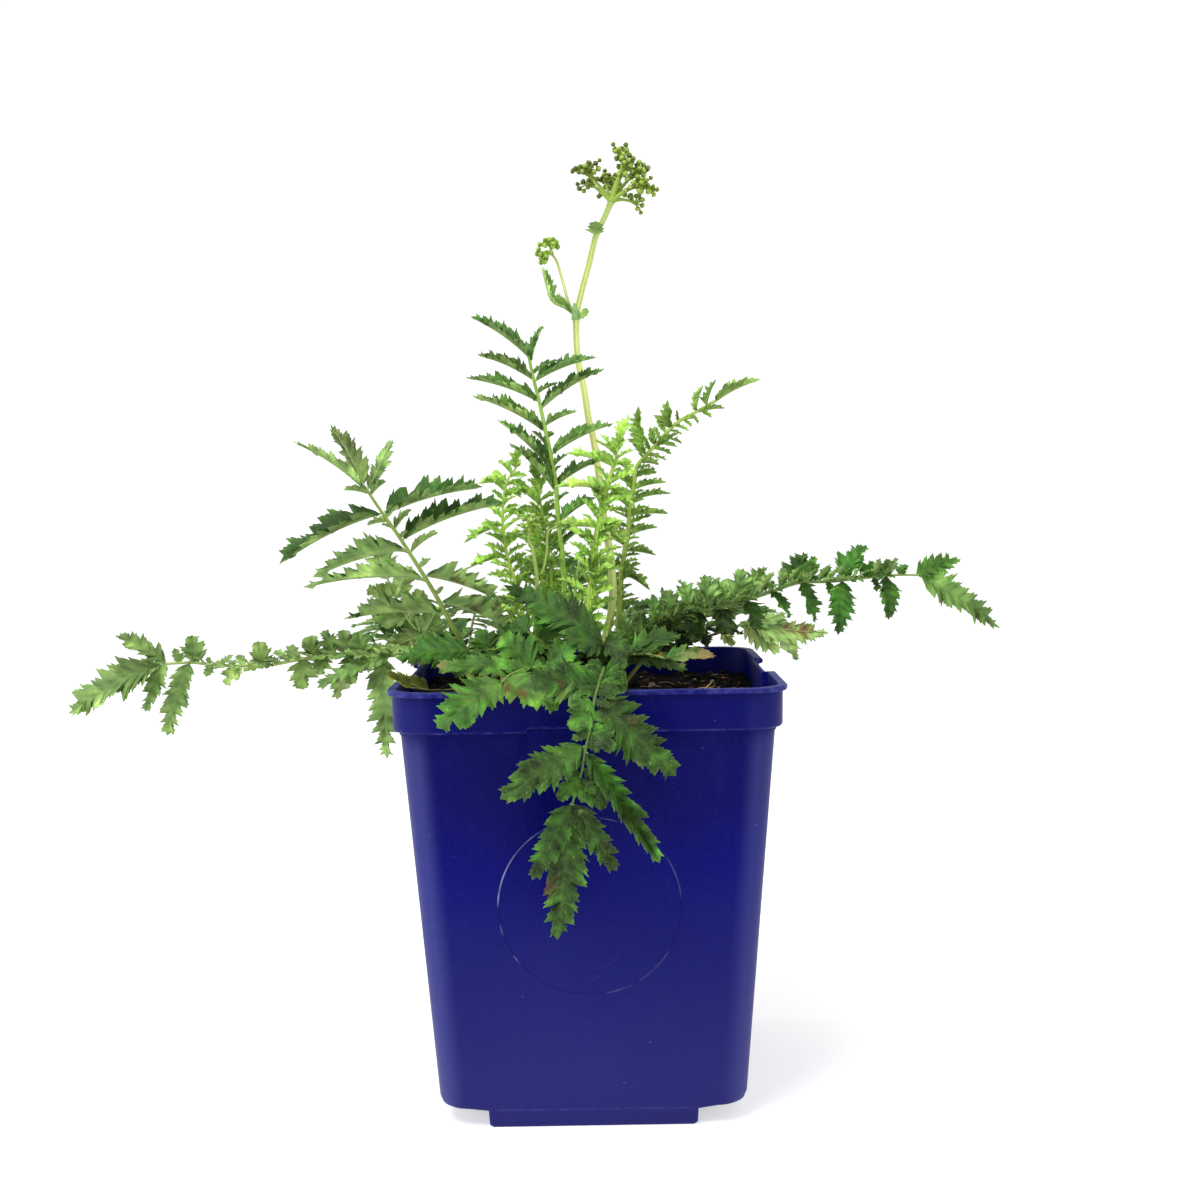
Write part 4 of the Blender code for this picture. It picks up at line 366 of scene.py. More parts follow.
    leaf("leaf_right_dark",
         [on_crown(11, 5), p(640, 645, 12), p(662, 636, 16), p(690, 630, 19), p(715, 628, 21)],
         [(650, 641, 640, 612, 4, 10), (652, 640, 660, 660, -4, 10), (670, 634, 664, 603, 4, 10),
          (674, 633, 684, 655, -4, 9), (692, 630, 690, 602, 4, 9), (697, 629, 708, 648, -3, 8)],
         (744, 634, -2, 10),
         face=(0, -0.1, 1), up=(0.1, -0.25, 1), fold=18.0, rw=(1.0, 0.45), tint=-0.7)

    leaf("leaf_front_low",
         [on_crown(-19.5, -9.2), p(557, 654, -26), p(543, 643, -37), p(528, 632, -42)],
         [(545, 645, 562, 616, 4, 12), (538, 639, 503, 652, -4, 11)],
         (512, 620, 2, 9.5),
         face=(0.0, -0.6, 0.8), up=(0.1, -0.8, 0.6), fold=10.0, rw=(1.0, 0.55), tint=0.1)

    leaf("leaf_young_middle",
         [on_crown(-12, 1), p(556, 640, 2), p(554, 610, 3), p(551, 575, 3), p(547, 540, 2), p(541, 505, 2),
          p(537, 480, 2)],
         [(541, 506, 523, 488, -2, 5), (545, 530, 524, 512, -2, 5), (550, 566, 528, 556, -2, 5),
          (548, 548, 566, 532, 2, 5), (543, 516, 558, 502, 2, 5), (552, 590, 570, 574, 2, 5),
          (538.5, 489, 548, 474, 2, 4)],
         (529, 452, 1, 5),
         face=(0, -1, 0.1), up=(0.0, -0.4, 1), fold=36.0, rw=(1.0, 0.4), young=0.75)

    # leaves behind, which bring the rosette round to the back
    leaf("leaf_back_left",
         [on_crown(-28, 9), m(-36, 34, 187), m(-47, 66, 196), m(-55, 94, 186), m(-60, 112, 160), m(-62, 120, 132)],
         [], None, up=(0, 0.1, 1), auto=(7, 27, 9.5, 0.30), fold=22.0, tint=-0.15)
    leaf("leaf_back_middle",
         [on_crown(-8, 10), m(-6, 40, 196), m(-4, 74, 212), m(-4, 108, 207), m(-5, 136, 186)],
         [], None, up=(0, 0.1, 1), auto=(8, 30, 10, 0.28), fold=24.0)
    leaf("leaf_back_right",
         [on_crown(-4, 10.5), m(11, 38, 187), m(26, 70, 193), m(36, 98, 182), m(42, 117, 156), m(44, 126, 126)],
         [], None, up=(0, 0.1, 1), auto=(7, 27, 9.5, 0.30), fold=22.0, tint=0.1)
    leaf("leaf_back_far_left",
         [on_crown(-41, 7.5), m(-62, 34, 184), m(-82, 58, 188), m(-102, 80, 180), m(-114, 94, 163)],
         [], None, up=(0, 0.1, 1), auto=(6, 24, 9, 0.34), fold=20.0, tint=0.1)
    leaf("leaf_back_far_right",
         [on_crown(14, 5), m(36, 30, 184), m(56, 52, 191), m(76, 72, 189), m(90, 88, 176)],
         [], None, up=(0, 0.1, 1), auto=(6, 23, 9, 0.34), fold=20.0)
    leaf("leaf_back_young",
         [on_crown(-18, 9), m(-19, 16, 196), m(-20, 24, 224), m(-21, 34, 243)],
         [], None, face=(0, -1, 0.3), up=(0, -0.2, 1), auto=(6, 15, 5.5, 0.34), fold=40.0, young=0.8)
    return L


def auto_leaflets(lf, cur, seed):
    """Evenly stepped pairs for a leaf given only by its path."""
    pairs, longest, width, start = lf["auto"]
    out = []
    rnd = Steps(seed)
    for k in range(pairs):
        f = (k + 0.5) / pairs
        s = cur.length * (start + (0.95 - start) * f)
        size = longest * (0.55 + 0.45 * math.sin(math.pi * min(1.0, 0.18 + 0.75 * f)))
        for side in (-1, 1):
            s2 = s + rnd.span(-1.2, 1.2)
            t = cur.tangent(s2)
            n = square_up(lf["face"], t)
            sd = t.cross(n)
            b = cur.at(s2)
            ang = math.radians(rnd.span(18, 34))
            d = (sd * side * math.cos(ang) + t * math.sin(ang) + Vector((0, 0, -1)) * rnd.span(0.0, 0.22)).normalized()
            ln = size * rnd.span(0.88, 1.1)
            out.append((s2, b + d * ln, width * rnd.span(0.85, 1.1), {}))
            if k < pairs - 1:
                s3 = s + cur.length * (0.95 - start) / pairs * 0.5
                out.append((s3, cur.at(s3) + (sd * side + t * 0.4).normalized() * rnd.span(4.0, 6.5), 3.0, {}))
    return out


class Steps:
    """A small repeatable number sequence, so that the plant is the same every time."""

    def __init__(self, seed):
        self.x = (seed * 2654435761 + 12345) & 0xFFFFFFFF

    def unit(self):
        self.x = (self.x * 1664525 + 1013904223) & 0xFFFFFFFF
        return (self.x >> 8) / 16777216.0

    def span(self, a, b):
        return a + (b - a) * self.unit()


class Blade:
    """One leaflet: a midrib from base to tip, and a surface folded along it."""

    def __init__(self, base, tip, up, width, fold, arch=0.10, opts=None):
        self.base, self.tip, self.up = base.copy(), tip.copy(), Vector(up)
        self.width, self.fold, self.arch = width, fold, arch
        self.opts = dict(opts or {})
        self.length = (tip - base).length
        self.path = Curve(self.opts["path"]) if "path" in self.opts else None
        a = (tip - base).normalized()
        n = square_up(self.up, a)
        # sweep: how far the midrib bows sideways, towards `bow`
        bow = square_up(self.opts.get("bow", (0, 0, 1)), a)
        self.ctrl = (base + tip) * 0.5 + n * (arch * self.length) + bow * (self.opts.get("sweep", 0.0) * self.length)

    def mid(self, f):
        if self.path:
            return self.path.at(f * self.path.length)
        return self.base * ((1 - f) ** 2) + self.ctrl * (2 * f * (1 - f)) + self.tip * (f * f)

    def frame(self, f):
        a = (self.mid(min(1.0, f + 0.02)) - self.mid(max(0.0, f - 0.02))).normalized()
        n = square_up(self.up, a)
        return a, n, a.cross(n)

    def point(self, f, x, lift=0.0):
        """A point at fraction f along the midrib and x across it (+ to the right)."""
        a, n, sd = self.frame(f)
        c, s = math.cos(math.radians(self.fold)), math.sin(math.radians(self.fold))
        return self.mid(f) + sd * (x * c) + n * (abs(x) * s + lift)

    def normal(self, f, side):
        a, n, sd = self.frame(f)
        c, s = math.cos(math.radians(self.fold)), math.sin(math.radians(self.fold))
        return (n * c - sd * (side * s)).normalized() if side else n

    def turned(self, pitch, yaw, scale):
        a = (self.tip - self.base)
        n = square_up(self.up, a.normalized())
        sd = a.normalized().cross(n)
        r = Matrix.Rotation(math.radians(pitch), 3, sd) @ Matrix.Rotation(math.radians(yaw), 3, n)
        return Blade(self.base, self.base + (r @ a) * scale, r @ self.up, self.width * (0.4 + 0.6 * scale),
                     self.fold, self.arch, self.opts)


SHAPE = ((0.30, 0.90), (0.68, 0.72))


def plate(blade, pad=0.0, lift_base=0.0):
    """A closed coarse plate of the blade, for finding leaflets that would meet."""
    h = 0.36 + pad
    top, bot = [], []

    def add(q, n):
        top.append(q + n * h)
        bot.append(q - n * h)

    w = blade.width * 0.5 + pad
    b0 = 0.10
    add(blade.point(b0, -0.7), blade.normal(b0, 0))
    add(blade.point(b0, 0.7), blade.normal(b0, 0))
    for f, k in SHAPE:
        for side in (-1, 0, 1):
            add(blade.point(f, side * w * k), blade.normal(f, side))
    a = (blade.tip - blade.mid(0.9)).normalized()
    add(blade.tip + a * pad, blade.normal(0.98, 0))
    tris = [(0, 1, 3), (0, 3, 2), (1, 4, 3), (2, 3, 6), (2, 6, 5), (3, 4, 7), (3, 7, 6), (5, 6, 8), (6, 7, 8)]
    rim = [0, 1, 4, 7, 8, 5, 2]
    n = len(top)
    faces = [t for t in tris] + [tuple(n + i for i in reversed(t)) for t in tris]
    for i, j in zip(rim, rim[1:] + rim[:1]):
        faces += [(i, n + i, j), (j, n + i, n + j)]
    return top + bot, faces


def tube_mesh(cur, r0, r1, sides=6, step=5.0, s0=0.0, s1=None, cap=True):
    """A closed tube along a curve, radius going from r0 to r1."""
    s1 = cur.length if s1 is None else s1
    n = max(2, int(math.ceil((s1 - s0) / step)) + 1)
    verts, faces = [], []
    ref = None
    for k in range(n):
        s = s0 + (s1 - s0) * k / (n - 1)
        t = cur.tangent(s)
        if ref is None:
            ref = square_up((1, 0.3, 0.1), t)
        ref = square_up(ref, t)
        b = t.cross(ref)
        r = r0 + (r1 - r0) * k / (n - 1)
        c = cur.at(s)
        for j in range(sides):
            an = 2 * math.pi * j / sides
            verts.append(c + ref * (r * math.cos(an)) + b * (r * math.sin(an)))
    for k in range(n - 1):
        for j in range(sides):
            a, b2 = k * sides + j, k * sides + (j + 1) % sides
            faces += [(a, b2, b2 + sides), (a, b2 + sides, a + sides)]
    if cap:
        for j in range(1, sides - 1):
            faces.append((0, j + 1, j))
            e = (n - 1) * sides
            faces.append((e, e + j, e + j + 1))
    return verts, faces


class Room:
    """Keeps what has been placed, so that later leaflets can be kept clear of it."""

    def __init__(self):
        self.items = []

    def add(self, group, verts, faces):
        lo = Vector((min(v[i] for v in verts) for i in range(3)))
        hi = Vector((max(v[i] for v in verts) for i in range(3)))
        self.items.append((group, lo, hi, BVHTree.FromPolygons([tuple(v) for v in verts], faces)))

    def hits(self, verts, faces, skip=(), only=None):
        lo = Vector((min(v[i] for v in verts) for i in range(3)))
        hi = Vector((max(v[i] for v in verts) for i in range(3)))
        mine = None
        found = []
        for g, l2, h2, tree in self.items:
            if g in skip or (only is not None and g not in only):
                continue
            if any(lo[i] > h2[i] or hi[i] < l2[i] for i in range(3)):
                continue
            if mine is None:
                mine = BVHTree.FromPolygons([tuple(v) for v in verts], faces)
            if tree.overlap(mine):
                found.append(g)
        return found


STEM_PATH = [on_crown(7, 2), p(604, 650, 5), p(606.5, 632, 7), p(611, 612, 8), p(612.5, 590, 8), p(610, 555, 8),
             p(604, 520, 8), p(598.5, 475, 8), p(592, 433, 8), p(588.6, 420, 8), p(584, 390, 8), p(577.5, 357, 8),
             p(576.2, 317, 8), p(579.6, 299, 8), p(588.4, 266, 8), p(596.4, 234, 8), p(604, 218, 8), p(611, 201.6, 8)]
SIDE_PATH = [p(572.2, 311, 8), p(568.5, 303, 8), p(561.8, 278.6, 8), p(556.3, 260.7, 8), p(551.8, 254, 8)]
YOUNG_PATH = [on_crown(-22, -6), p(535, 640, -10), p(536, 610, -11), p(537, 595, -11), p(537, 579, -11),
              p(535.5, 566.5, -11), p(532, 548, -11), p(528.5, 540, -11), p(530, 531, -11)]
SHOOT_PATH = [p(541.5, 575, -11), p(544.5, 565, -11), p(546.8, 552, -11), p(547, 538.7, -11), p(549, 529, -11)]
STEM_R = (1.75, 1.15)


BROAD = 1.32


def resolve_plant():
    """Place every leaf: rachis curves and blades, each kept clear of what is there."""
    room = Room()
    notes = []
    for nm, path, r0, r1 in (("flower_stem", STEM_PATH, 1.75, 1.15), ("side_flower_stem", SIDE_PATH, 0.7, 0.5),
                             ("young_flower_stem", YOUNG_PATH, 1.2, 0.7), ("young_side_shoot", SHOOT_PATH, 0.7, 0.5)):
        v, f = tube_mesh(Curve(path), r0 + 0.1, r1 + 0.1, 8, 4.0)
        room.add(nm, v, f)
    for nm, verts, faces in pot_guard():
        room.add(nm, verts, faces)
    table = leaf_table()
    for i, lf in enumerate(table):
        lf["curve"] = Curve(lf["path"])
        v, f = tube_mesh(lf["curve"], lf["rw"][0] + 0.3, lf["rw"][1] + 0.35, 6, 4.0)
        hit = room.hits(v, f)
        if hit:
            notes.append((lf["name"], "rachis", sorted(set(hit))))
        v, f = tube_mesh(lf["curve"], lf["rw"][0], lf["rw"][1], 6, 4.0)
        room.add(lf["name"] + ":rachis", v, f)
    tries = [(0, 0, 1.0), (10, 0, 1.0), (-10, 0, 1.0), (0, 10, 1.0), (0, -10, 1.0), (20, 0, 1.0), (-20, 0, 1.0),
             (0, 0, 0.85), (12, 10, 0.9), (12, -10, 0.9), (-12, 10, 0.9), (-12, -10, 0.9), (30, 0, 0.9),
             (-30, 0, 0.9), (0, 20, 0.85), (0, -20, 0.85), (0, 0, 0.7), (25, 0, 0.75), (-25, 0, 0.75),
             (40, 0, 0.75), (-40, 0, 0.75), (0, 0, 0.55), (35, 15, 0.6), (35, -15, 0.6), (-35, 15, 0.6),
             (-35, -15, 0.6), (0, 0, 0.42)]
    for i, lf in enumerate(table):
        cur = lf["curve"]
        items = []
        if lf["auto"]:
            raw = auto_leaflets(lf, cur, i + 3)
            pairs, longest, width, start = lf["auto"]
            t = cur.tangent(cur.length)
            raw.append((None, cur.at(cur.length) + (t + Vector((0, 0, -0.15))).normalized() * longest * 0.95,
                        width * 1.25, {}))
        else:
            raw = []
            for e in lf["leaflets"]:
                bu, bv, tu, tv, dy, w = e[:6]
                s = cur.nearest_seen(bu, bv)
                raw.append((s, p(tu, tv, cur.at(s).y + dy), w * BROAD, e[6] if len(e) > 6 else {}))
            tu, tv, dy, w = lf["tip"][:4]
            raw.append((None, p(tu, tv, cur.at(cur.length).y + dy), w * BROAD, lf["tip"][4] if len(lf["tip"]) > 4 else {}))
        placed = []
        for k, (s, tip, w, opts) in enumerate(raw):
            end = s is None
            s = cur.length if end else min(max(s, 3.0), cur.length - 1.4)
            base = cur.at(s)
            t = cur.tangent(s)
            n = square_up(lf["face"], t)
            sd = t.cross(n)
            side = 0 if end else (1 if (tip - base).dot(sd) > 0 else -1)
            half = lf["rw"][0] + (lf["rw"][1] - lf["rw"][0]) * s / cur.length
            if not end:
                base = base + sd * (side * half * 0.9)
            fold = opts.get("fold", lf["fold"])
            up = Vector(opts.get("up", lf["up"]))
            b = Blade(base, tip, up, w, fold, opts.get("arch", 0.10), opts)
            small = b.length < 9.0
            ok = None
            for pitch, yaw, sc in tries:
                c = b if (pitch, yaw, sc) == (0, 0, 1.0) else b.turned(pitch, yaw, sc)
                v, f = plate(c, 0.32)
                if room.hits(v, f, skip=(lf["name"], lf["name"] + ":rachis")):
                    continue
                v, f = plate(c, 0.05)
                if room.hits(v, f, only=(lf["name"],)):
                    continue
                ok = c
                if (pitch, yaw, sc) != (0, 0, 1.0):
                    notes.append((lf["name"], k, (pitch, yaw, sc)))
                break
            if ok is None:
                notes.append((lf["name"], k, "dropped"))
                continue
            v, f = plate(ok, 0.0)
            room.add(lf["name"], v, f)
            placed.append(dict(s=s, side=side, blade=ok, small=small, end=end, k=k))
        lf["placed"] = placed
    return table, notes


def head_layout(kind):
    """A head of buds: (base, rays).  A ray is (stations, radius at its start, radius
    at its end, buds), and a bud is (place on the ray from 0 to 1, centre, radius)."""
    if kind == "main":
        base, y0, r = Curve(STEM_PATH).at(1e9), 8.0, 1.17
        rays = [
            ([(600, 187, -2), (588, 174, -3)], 0.85, 0.5,
             [(575.3, 168.6, -4), (580.3, 167.3, -1), (586, 166.5, -5), (591.4, 165.8, -1), (595.6, 163.3, -3),
              (598.3, 168.5, -5), (594, 172, -7), (590, 171.5, 1.5), (583, 171.5, -6.5)]),
            ([(599, 190.5, 3), (591, 184, 5)], 0.7, 0.42,
             [(583, 181.7, 6), (588.7, 180.3, 3.5), (579.1, 188.5, 5), (592.9, 185.5, 8.5), (600.9, 193.9, 4),
              (596, 179.5, 6.5)]),
            ([(607, 188, 5), (606, 180, 8)], 0.7, 0.42,
             [(604.4, 175.3, 8), (608.8, 175.5, 11), (612, 177.5, 7), (615.5, 175.3, 10.5), (601, 179.5, 10),
              (610.5, 182.5, 12.5), (606.5, 178, 5)]),
            ([(616.5, 185, 0), (622, 170, -1), (623, 160, 0)], 1.2, 0.7,
             [(614.7, 149.9, 0), (618.8, 149.6, -3), (616.6, 158.3, 1.5), (623.5, 154.3, -3.5), (625.4, 150.8, 2),
              (627.6, 160.8, -3.5), (629.3, 155.2, 0.5), (619.5, 154, 3.5), (619.0, 166.7, 4), (630, 166.3, -3.5),
              (621.5, 148.6, 2.5), (632, 162.5, 2.5), (625, 173.6, -6), (627.3, 179, -5.5), (622, 158, -4.5)]),
            ([(622, 187, 2), (632, 176, 3)], 0.85, 0.5,
             [(637.3, 165.5, 2.5), (639.8, 168.5, -2), (643.6, 165, 1), (647.4, 169, 1.5), (643.6, 174.6, -2),
              (637.3, 176.4, -3.5), (633.5, 169.5, 6), (640.5, 171.5, 6), (632.5, 171.8, -2), (645, 171, 5)]),
            ([(624, 192, -2), (637, 186, -2)], 0.8, 0.5,
             [(641.1, 182.8, -5), (647.6, 185.1, -2), (652.4, 190.6, -1), (648.6, 191.6, -5), (643, 186.8, 1.5),
              (637.5, 180.6, 0.5), (630.4, 187.4, -6), (646, 180, -5), (633.5, 182.5, -6.5), (641, 191.3, -5)]),
            ([(621, 199.5, 0), (634, 202, 1)], 0.7, 0.42,
             [(642.3, 205.4, 1), (637.7, 208.8, 0), (636.5, 196.0, 3), (630.5, 195.8, 5), (641.3, 199.5, -2)]),
            ([(612, 191, 8), (613, 184, 13)], 0.7, 0.42,
             [(609, 182, 16), (614.5, 180, 19), (619.5, 184, 16), (605.5, 187, 15), (616, 189, 19), (611.5, 186, 20)]),
        ]
    elif kind == "side":
        base, y0, r = Curve(SIDE_PATH).at(1e9), 8.0, 1.1
        rays = [
            ([(547.5, 251.5, 0), (542.5, 252.5, 0)], 0.5, 0.36,
             [(538.4, 249.5, -1), (537.2, 253.9, 1), (540.3, 254.2, -3), (541, 258.4, 0), (546, 259, 2),
              (540.9, 262.6, 1), (544.6, 261.8, -2), (545.8, 255.5, -3), (541.8, 254.5, 4), (546.5, 255.5, 5.2)]),
            ([(550.5, 248, 1), (548.5, 244.5, 1)], 0.5, 0.36,
             [(544.9, 240.0, 1), (549.5, 239.8, -1), (553.2, 239.5, 2), (556.7, 242.2, 0), (557.5, 246.8, 1),
              (552.9, 246.3, -3), (539.3, 244.7, 0), (544.9, 245.0, -3.2), (553.5, 243.2, -4.5), (548.5, 244, 5.5),
              (543.5, 244.5, 4), (553.5, 244.5, 5)]),
        ]
    else:
        base, y0, r = Curve(YOUNG_PATH).at(1e9), -11.0, 1.05
        rays = [
            ([(529.5, 525, 0)], 0.5, 0.4,
             [(524, 519, 0), (528, 515.5, 2), (533, 515.5, -1), (537, 519.5, 1.5), (538.5, 525.5, -1.5),
              (522.8, 525.5, -2), (525, 530.8, 1), (531, 520, -4), (530.5, 522, 4.5), (535.3, 530.3, 0.5),
              (527, 526, -4.3), (534, 526, 4)]),
        ]
    rnd = Steps(11 if kind == "main" else 23 if kind == "side" else 37)
    out = []
    for stations, r0, r1, buds in rays:
        path = [base] + [p(u, v, y0 + dy) for u, v, dy in stations]
        cur = Curve(path, 0.5)
        got = []
        for k, (u, v, dy) in enumerate(buds):
            c = p(u, v, y0 + dy)
            s = cur.nearest(c) / cur.length
            got.append((max(0.42, min(1.0, s - 0.12)), c, r * rnd.span(0.88, 1.08)))
        out.append((path, r0, r1, got))
    return base, out


def bract_blades():
    """(name, [blade, ...]) for the leafy bracts on the flower stem."""
    big = [p(572.6, 313.5, 5.6), p(563, 306.5, 4.2), p(554.4, 303.4, 3.4), p(549.8, 297.3, 3.0), p(546.4, 285, 3.2),
           p(541.8, 266.7, 4.0)]
    out = [("stem_bract_large", [Blade(big[0], big[-1], (0.75, -0.45, 0.35), 8.0, 58.0, 0.0, dict(path=big))])]
    a = p(580.2, 316.5, 5.9)
    out.append(("stem_bract_small", [Blade(a, p(589.0, 311.5, 3.4), (-0.35, -0.7, 0.55), 6.2, 12.0, 0.12)]))
    a = p(595.2, 234.2, 5.3)
    out.append(("upper_bract", [Blade(a, p(596.0, 221.0, 3.4), (0.0, -1.0, 0.2), 7.2, 4.0, -0.12)]))
    return out


# ---------------------------------------------------------------- pot and soil
CORNER_STEPS = 6


def ring(half, r, z, side=None, face=None, corner_in=0.0, wide=0.0):
    """One level of the pot: a square with round corners, anticlockwise from above,
    with six points on each side and CORNER_STEPS + 1 round each corner.  The middle of
    the left and right sides may stand at its own distance and height, given by `side`,
    and the middle of the front and back by `face`.  `wide` widens those middles."""
    out = []
    for k in range(4):
        hm, zm = (side if k % 2 == 0 else face) or (half, z)
        o = Vector((math.cos(k * math.pi / 2), math.sin(k * math.pi / 2), 0))
        t = Vector((-o.y, o.x, 0))
        g = GAP_HALF + wide
        for w, mid in ((-40.2, 0), (-g - 1.2, 0), (-g, 1), (g, 1), (g + 1.2, 0), (40.2, 0)):
            if k % 2 == 0 and abs(w) > 40:
                w = math.copysign(FOOT_Y - 0.8, w)
            q = o * (hm if mid else half) + t * w
            out.append(Vector((q.x, q.y, zm if mid else z)))
        h2, r2 = half - corner_in, max(r - corner_in, 2.0)
        c = o * (h2 - r2) + t * (h2 - r2)
        for j in range(CORNER_STEPS + 1):
            a = math.pi / 2 * j / CORNER_STEPS
            q = c + o * (r2 * math.cos(a)) + t * (r2 * math.sin(a))
            out.append(Vector((q.x, q.y, z)))
    return out


def cross_ring(half, inset, z):
    """The same points drawn in to the outline of the cross-shaped foot."""
    out = []
    for k in range(4):
        o = Vector((math.cos(k * math.pi / 2), math.sin(k * math.pi / 2), 0))
        t = Vector((-o.y, o.x, 0))
        mine = (FOOT_Y if k % 2 == 0 else FOOT_X) - inset
        other = (FOOT_X if k % 2 == 0 else FOOT_Y) - inset
        for w in (-mine + 0.8, -GAP_HALF - 1.2, -GAP_HALF, GAP_HALF, GAP_HALF + 1.2, mine - 0.8):
            q = o * half + t * w
            out.append(Vector((q.x, q.y, z)))
        d1, d2 = half - 0.8 - other, half - 0.8 - mine
        for j in range(CORNER_STEPS + 1):
            w = 2.0 * j / CORNER_STEPS - 1.0
            q = o * (other + d1 * max(-w, 0.0)) + t * (mine + d2 * max(w, 0.0))
            out.append(Vector((q.x, q.y, z)))
    return out


def body_half(z):
    t = (z - 10.0) / (POT_HEIGHT - BAND_DEPTH - 10.0)
    return (BODY_FOOT + (BODY_TOP - BODY_FOOT) * t) / 2


def pot_rings():
    top = POT_HEIGHT
    bz = top - BAND_DEPTH
    gz = top - GAP_BAND
    bh = BAND_WIDTH / 2
    lip = LIP_WIDTH / 2
    ub = body_half(bz)
    gh = ub + 0.9
    hb = body_half(7.0)
    R = CORNER_R
    outer = [cross_ring(hb - 1.4, 1.4, 0.0),
             cross_ring(hb - 0.5, 0.5, 1.1),
             cross_ring(hb - 0.2, 0.2, 6.6),
             ring(hb + 0.02, R, 7.0, corner_in=2.2),
             ring(body_half(7.9), R, 7.9, corner_in=0.7),
             ring(body_half(10.2), R, 10.2),
             ring(body_half(80.0), R, 80.0),
             ring(ub, R, bz - 0.6, side=(ub, bz), face=(ub, gz - 1.1)),
             ring(ub + 0.5, R + 0.4, bz - 0.3, side=(ub + 0.1, bz + 0.8), face=(ub + 0.1, gz - 0.8)),
             ring(ub + 0.55, R + 0.4, bz + 0.85, side=(ub + 0.2, gz - 0.5), face=(ub + 0.2, gz - 0.5)),
             ring(bh - 1.3, R + 1.4, bz + 1.0, side=(gh - 0.3, gz - 0.2), face=(bh - 1.3, gz - 0.35)),
             ring(bh - 0.35, R + 2.3, bz + 1.4, side=(gh - 0.1, gz + 0.1), face=(bh - 0.35, gz + 0.1)),
             ring(bh, R + 2.6, bz + 2.2, side=(gh, gz + 0.8), face=(bh, gz + 0.9)),
             ring(bh + 0.15, R + 2.7, top - 2.3, side=(gh + 0.1, top - 2.3)),
             ring(lip - 0.35, R + 3.6, top - 2.0, side=(gh + 0.12, top - 1.9)),
             ring(lip, R + 4.0, top - 1.6, side=(gh + 0.14, top - 1.5)),
             ring(lip, R + 4.0, top - 0.45, side=(gh + 0.15, top - 0.7)),
             ring(lip - 0.45, R + 3.6, top, side=(gh - 0.25, top - 0.25))]
    ih = bh - WALL
    ig = gh - WALL
    iw = body_half(bz - 2.4) - WALL
    inner = [ring(ih, R + 1.3, top, side=(ig + 0.3, top - 0.25)),
             ring(ih - 0.3, R + 1.1, top - 0.6, side=(ig, top - 0.9)),
             ring(ih - 0.45, R + 1.0, bz + 2.35, side=(ig - 0.1, gz + 0.2), face=(ih - 0.45, gz + 1.9)),
             ring(iw + 0.05, R - 1.0, bz + 1.6, side=(iw + 0.02, gz - 1.8), face=(iw + 0.02, gz + 0.8)),
             ring(iw, R - 1.0, bz - 2.4),
             ring(body_half(80.0) - WALL, R - 1.2, 80.0),
             ring(body_half(11.0) - WALL, R - 1.2, 11.0),
             ring(body_half(8.7) - WALL, R - 1.2, 8.6, corner_in=1.8),
             cross_ring(hb - WALL - 0.15, WALL + 0.15, 8.2),
             cross_ring(hb - WALL - 0.9, WALL + 0.8, 1.5)]
    return outer, inner


def mound(x, y):
    """Lift of the soil above its level at the wall."""
    d = math.hypot((x + 8.0) / 46.0, y / 40.0)
    return 3.4 * math.exp(-d * d)


def rough(x, y):
    return (0.62 * math.sin(0.31 * x + 1.3) * math.sin(0.27 * y - 0.7) + 0.42 * math.sin(0.71 * x + 0.53 * y)
            + 0.30 * math.sin(1.13 * x - 0.92 * y + 2.0))


def soil_rings():
    bz = POT_HEIGHT - BAND_DEPTH
    bh = BAND_WIDTH / 2 - WALL - 0.45
    ub = body_half(bz)
    ig = ub + 0.9 - WALL - 0.1
    hb = body_half(7.0)
    R = CORNER_R
    g = CLEAR
    iw = body_half(bz - 2.4) - WALL
    rings = [cross_ring(hb - WALL - 0.9 - g - 0.2, WALL + 0.8 + g + 0.2, 1.5 + g + 0.1),
             cross_ring(hb - WALL - g - 0.3, WALL + g + 0.3, 8.3 + g),
             ring(body_half(8.7) - WALL - g - 0.5, R - 1.2, 9.2 + g, corner_in=2.6),
             ring(body_half(11.6) - WALL - g - 0.3, R - 1.6, 11.0, corner_in=0.7),
             ring(body_half(13.0) - WALL - g, R - 1.6, 13.0),
             ring(body_half(80.0) - WALL - g, R - 1.6, 80.0),
             ring(iw - g - 0.15, R - 1.4, bz + 1.95, wide=1.8),
             ring(bh - g - 0.1, R + 0.8, bz + 3.0, side=(ig - g - 1.2, bz + 3.0), face=(iw - g - 0.2, bz + 2.8),
                  wide=1.8),
             ring(bh - g - 0.12, R + 0.8, SOIL_LEVEL - 0.2, side=(ig - g - 1.1, SOIL_LEVEL - 0.2),
                  face=(iw - g - 0.2, SOIL_LEVEL - 0.2), wide=1.8)]
    edge = rings[-1]
    for k in (0.965, 0.86, 0.70, 0.52, 0.33, 0.15):
        pts = []
        for q in edge:
            a = Vector((q.x, q.y, 0))
            rad = 60.0
            r = a.length
            # the inner rings grow rounder towards the middle
            w = (1.0 - k) ** 0.8
            a = a * (k * ((1 - w) + w * rad / r))
            pts.append(Vector((a.x, a.y, SOIL_LEVEL + mound(a.x, a.y) + rough(a.x, a.y) * min(1.0, (1.02 - k) * 9))))
        rings.append(pts)
    return rings


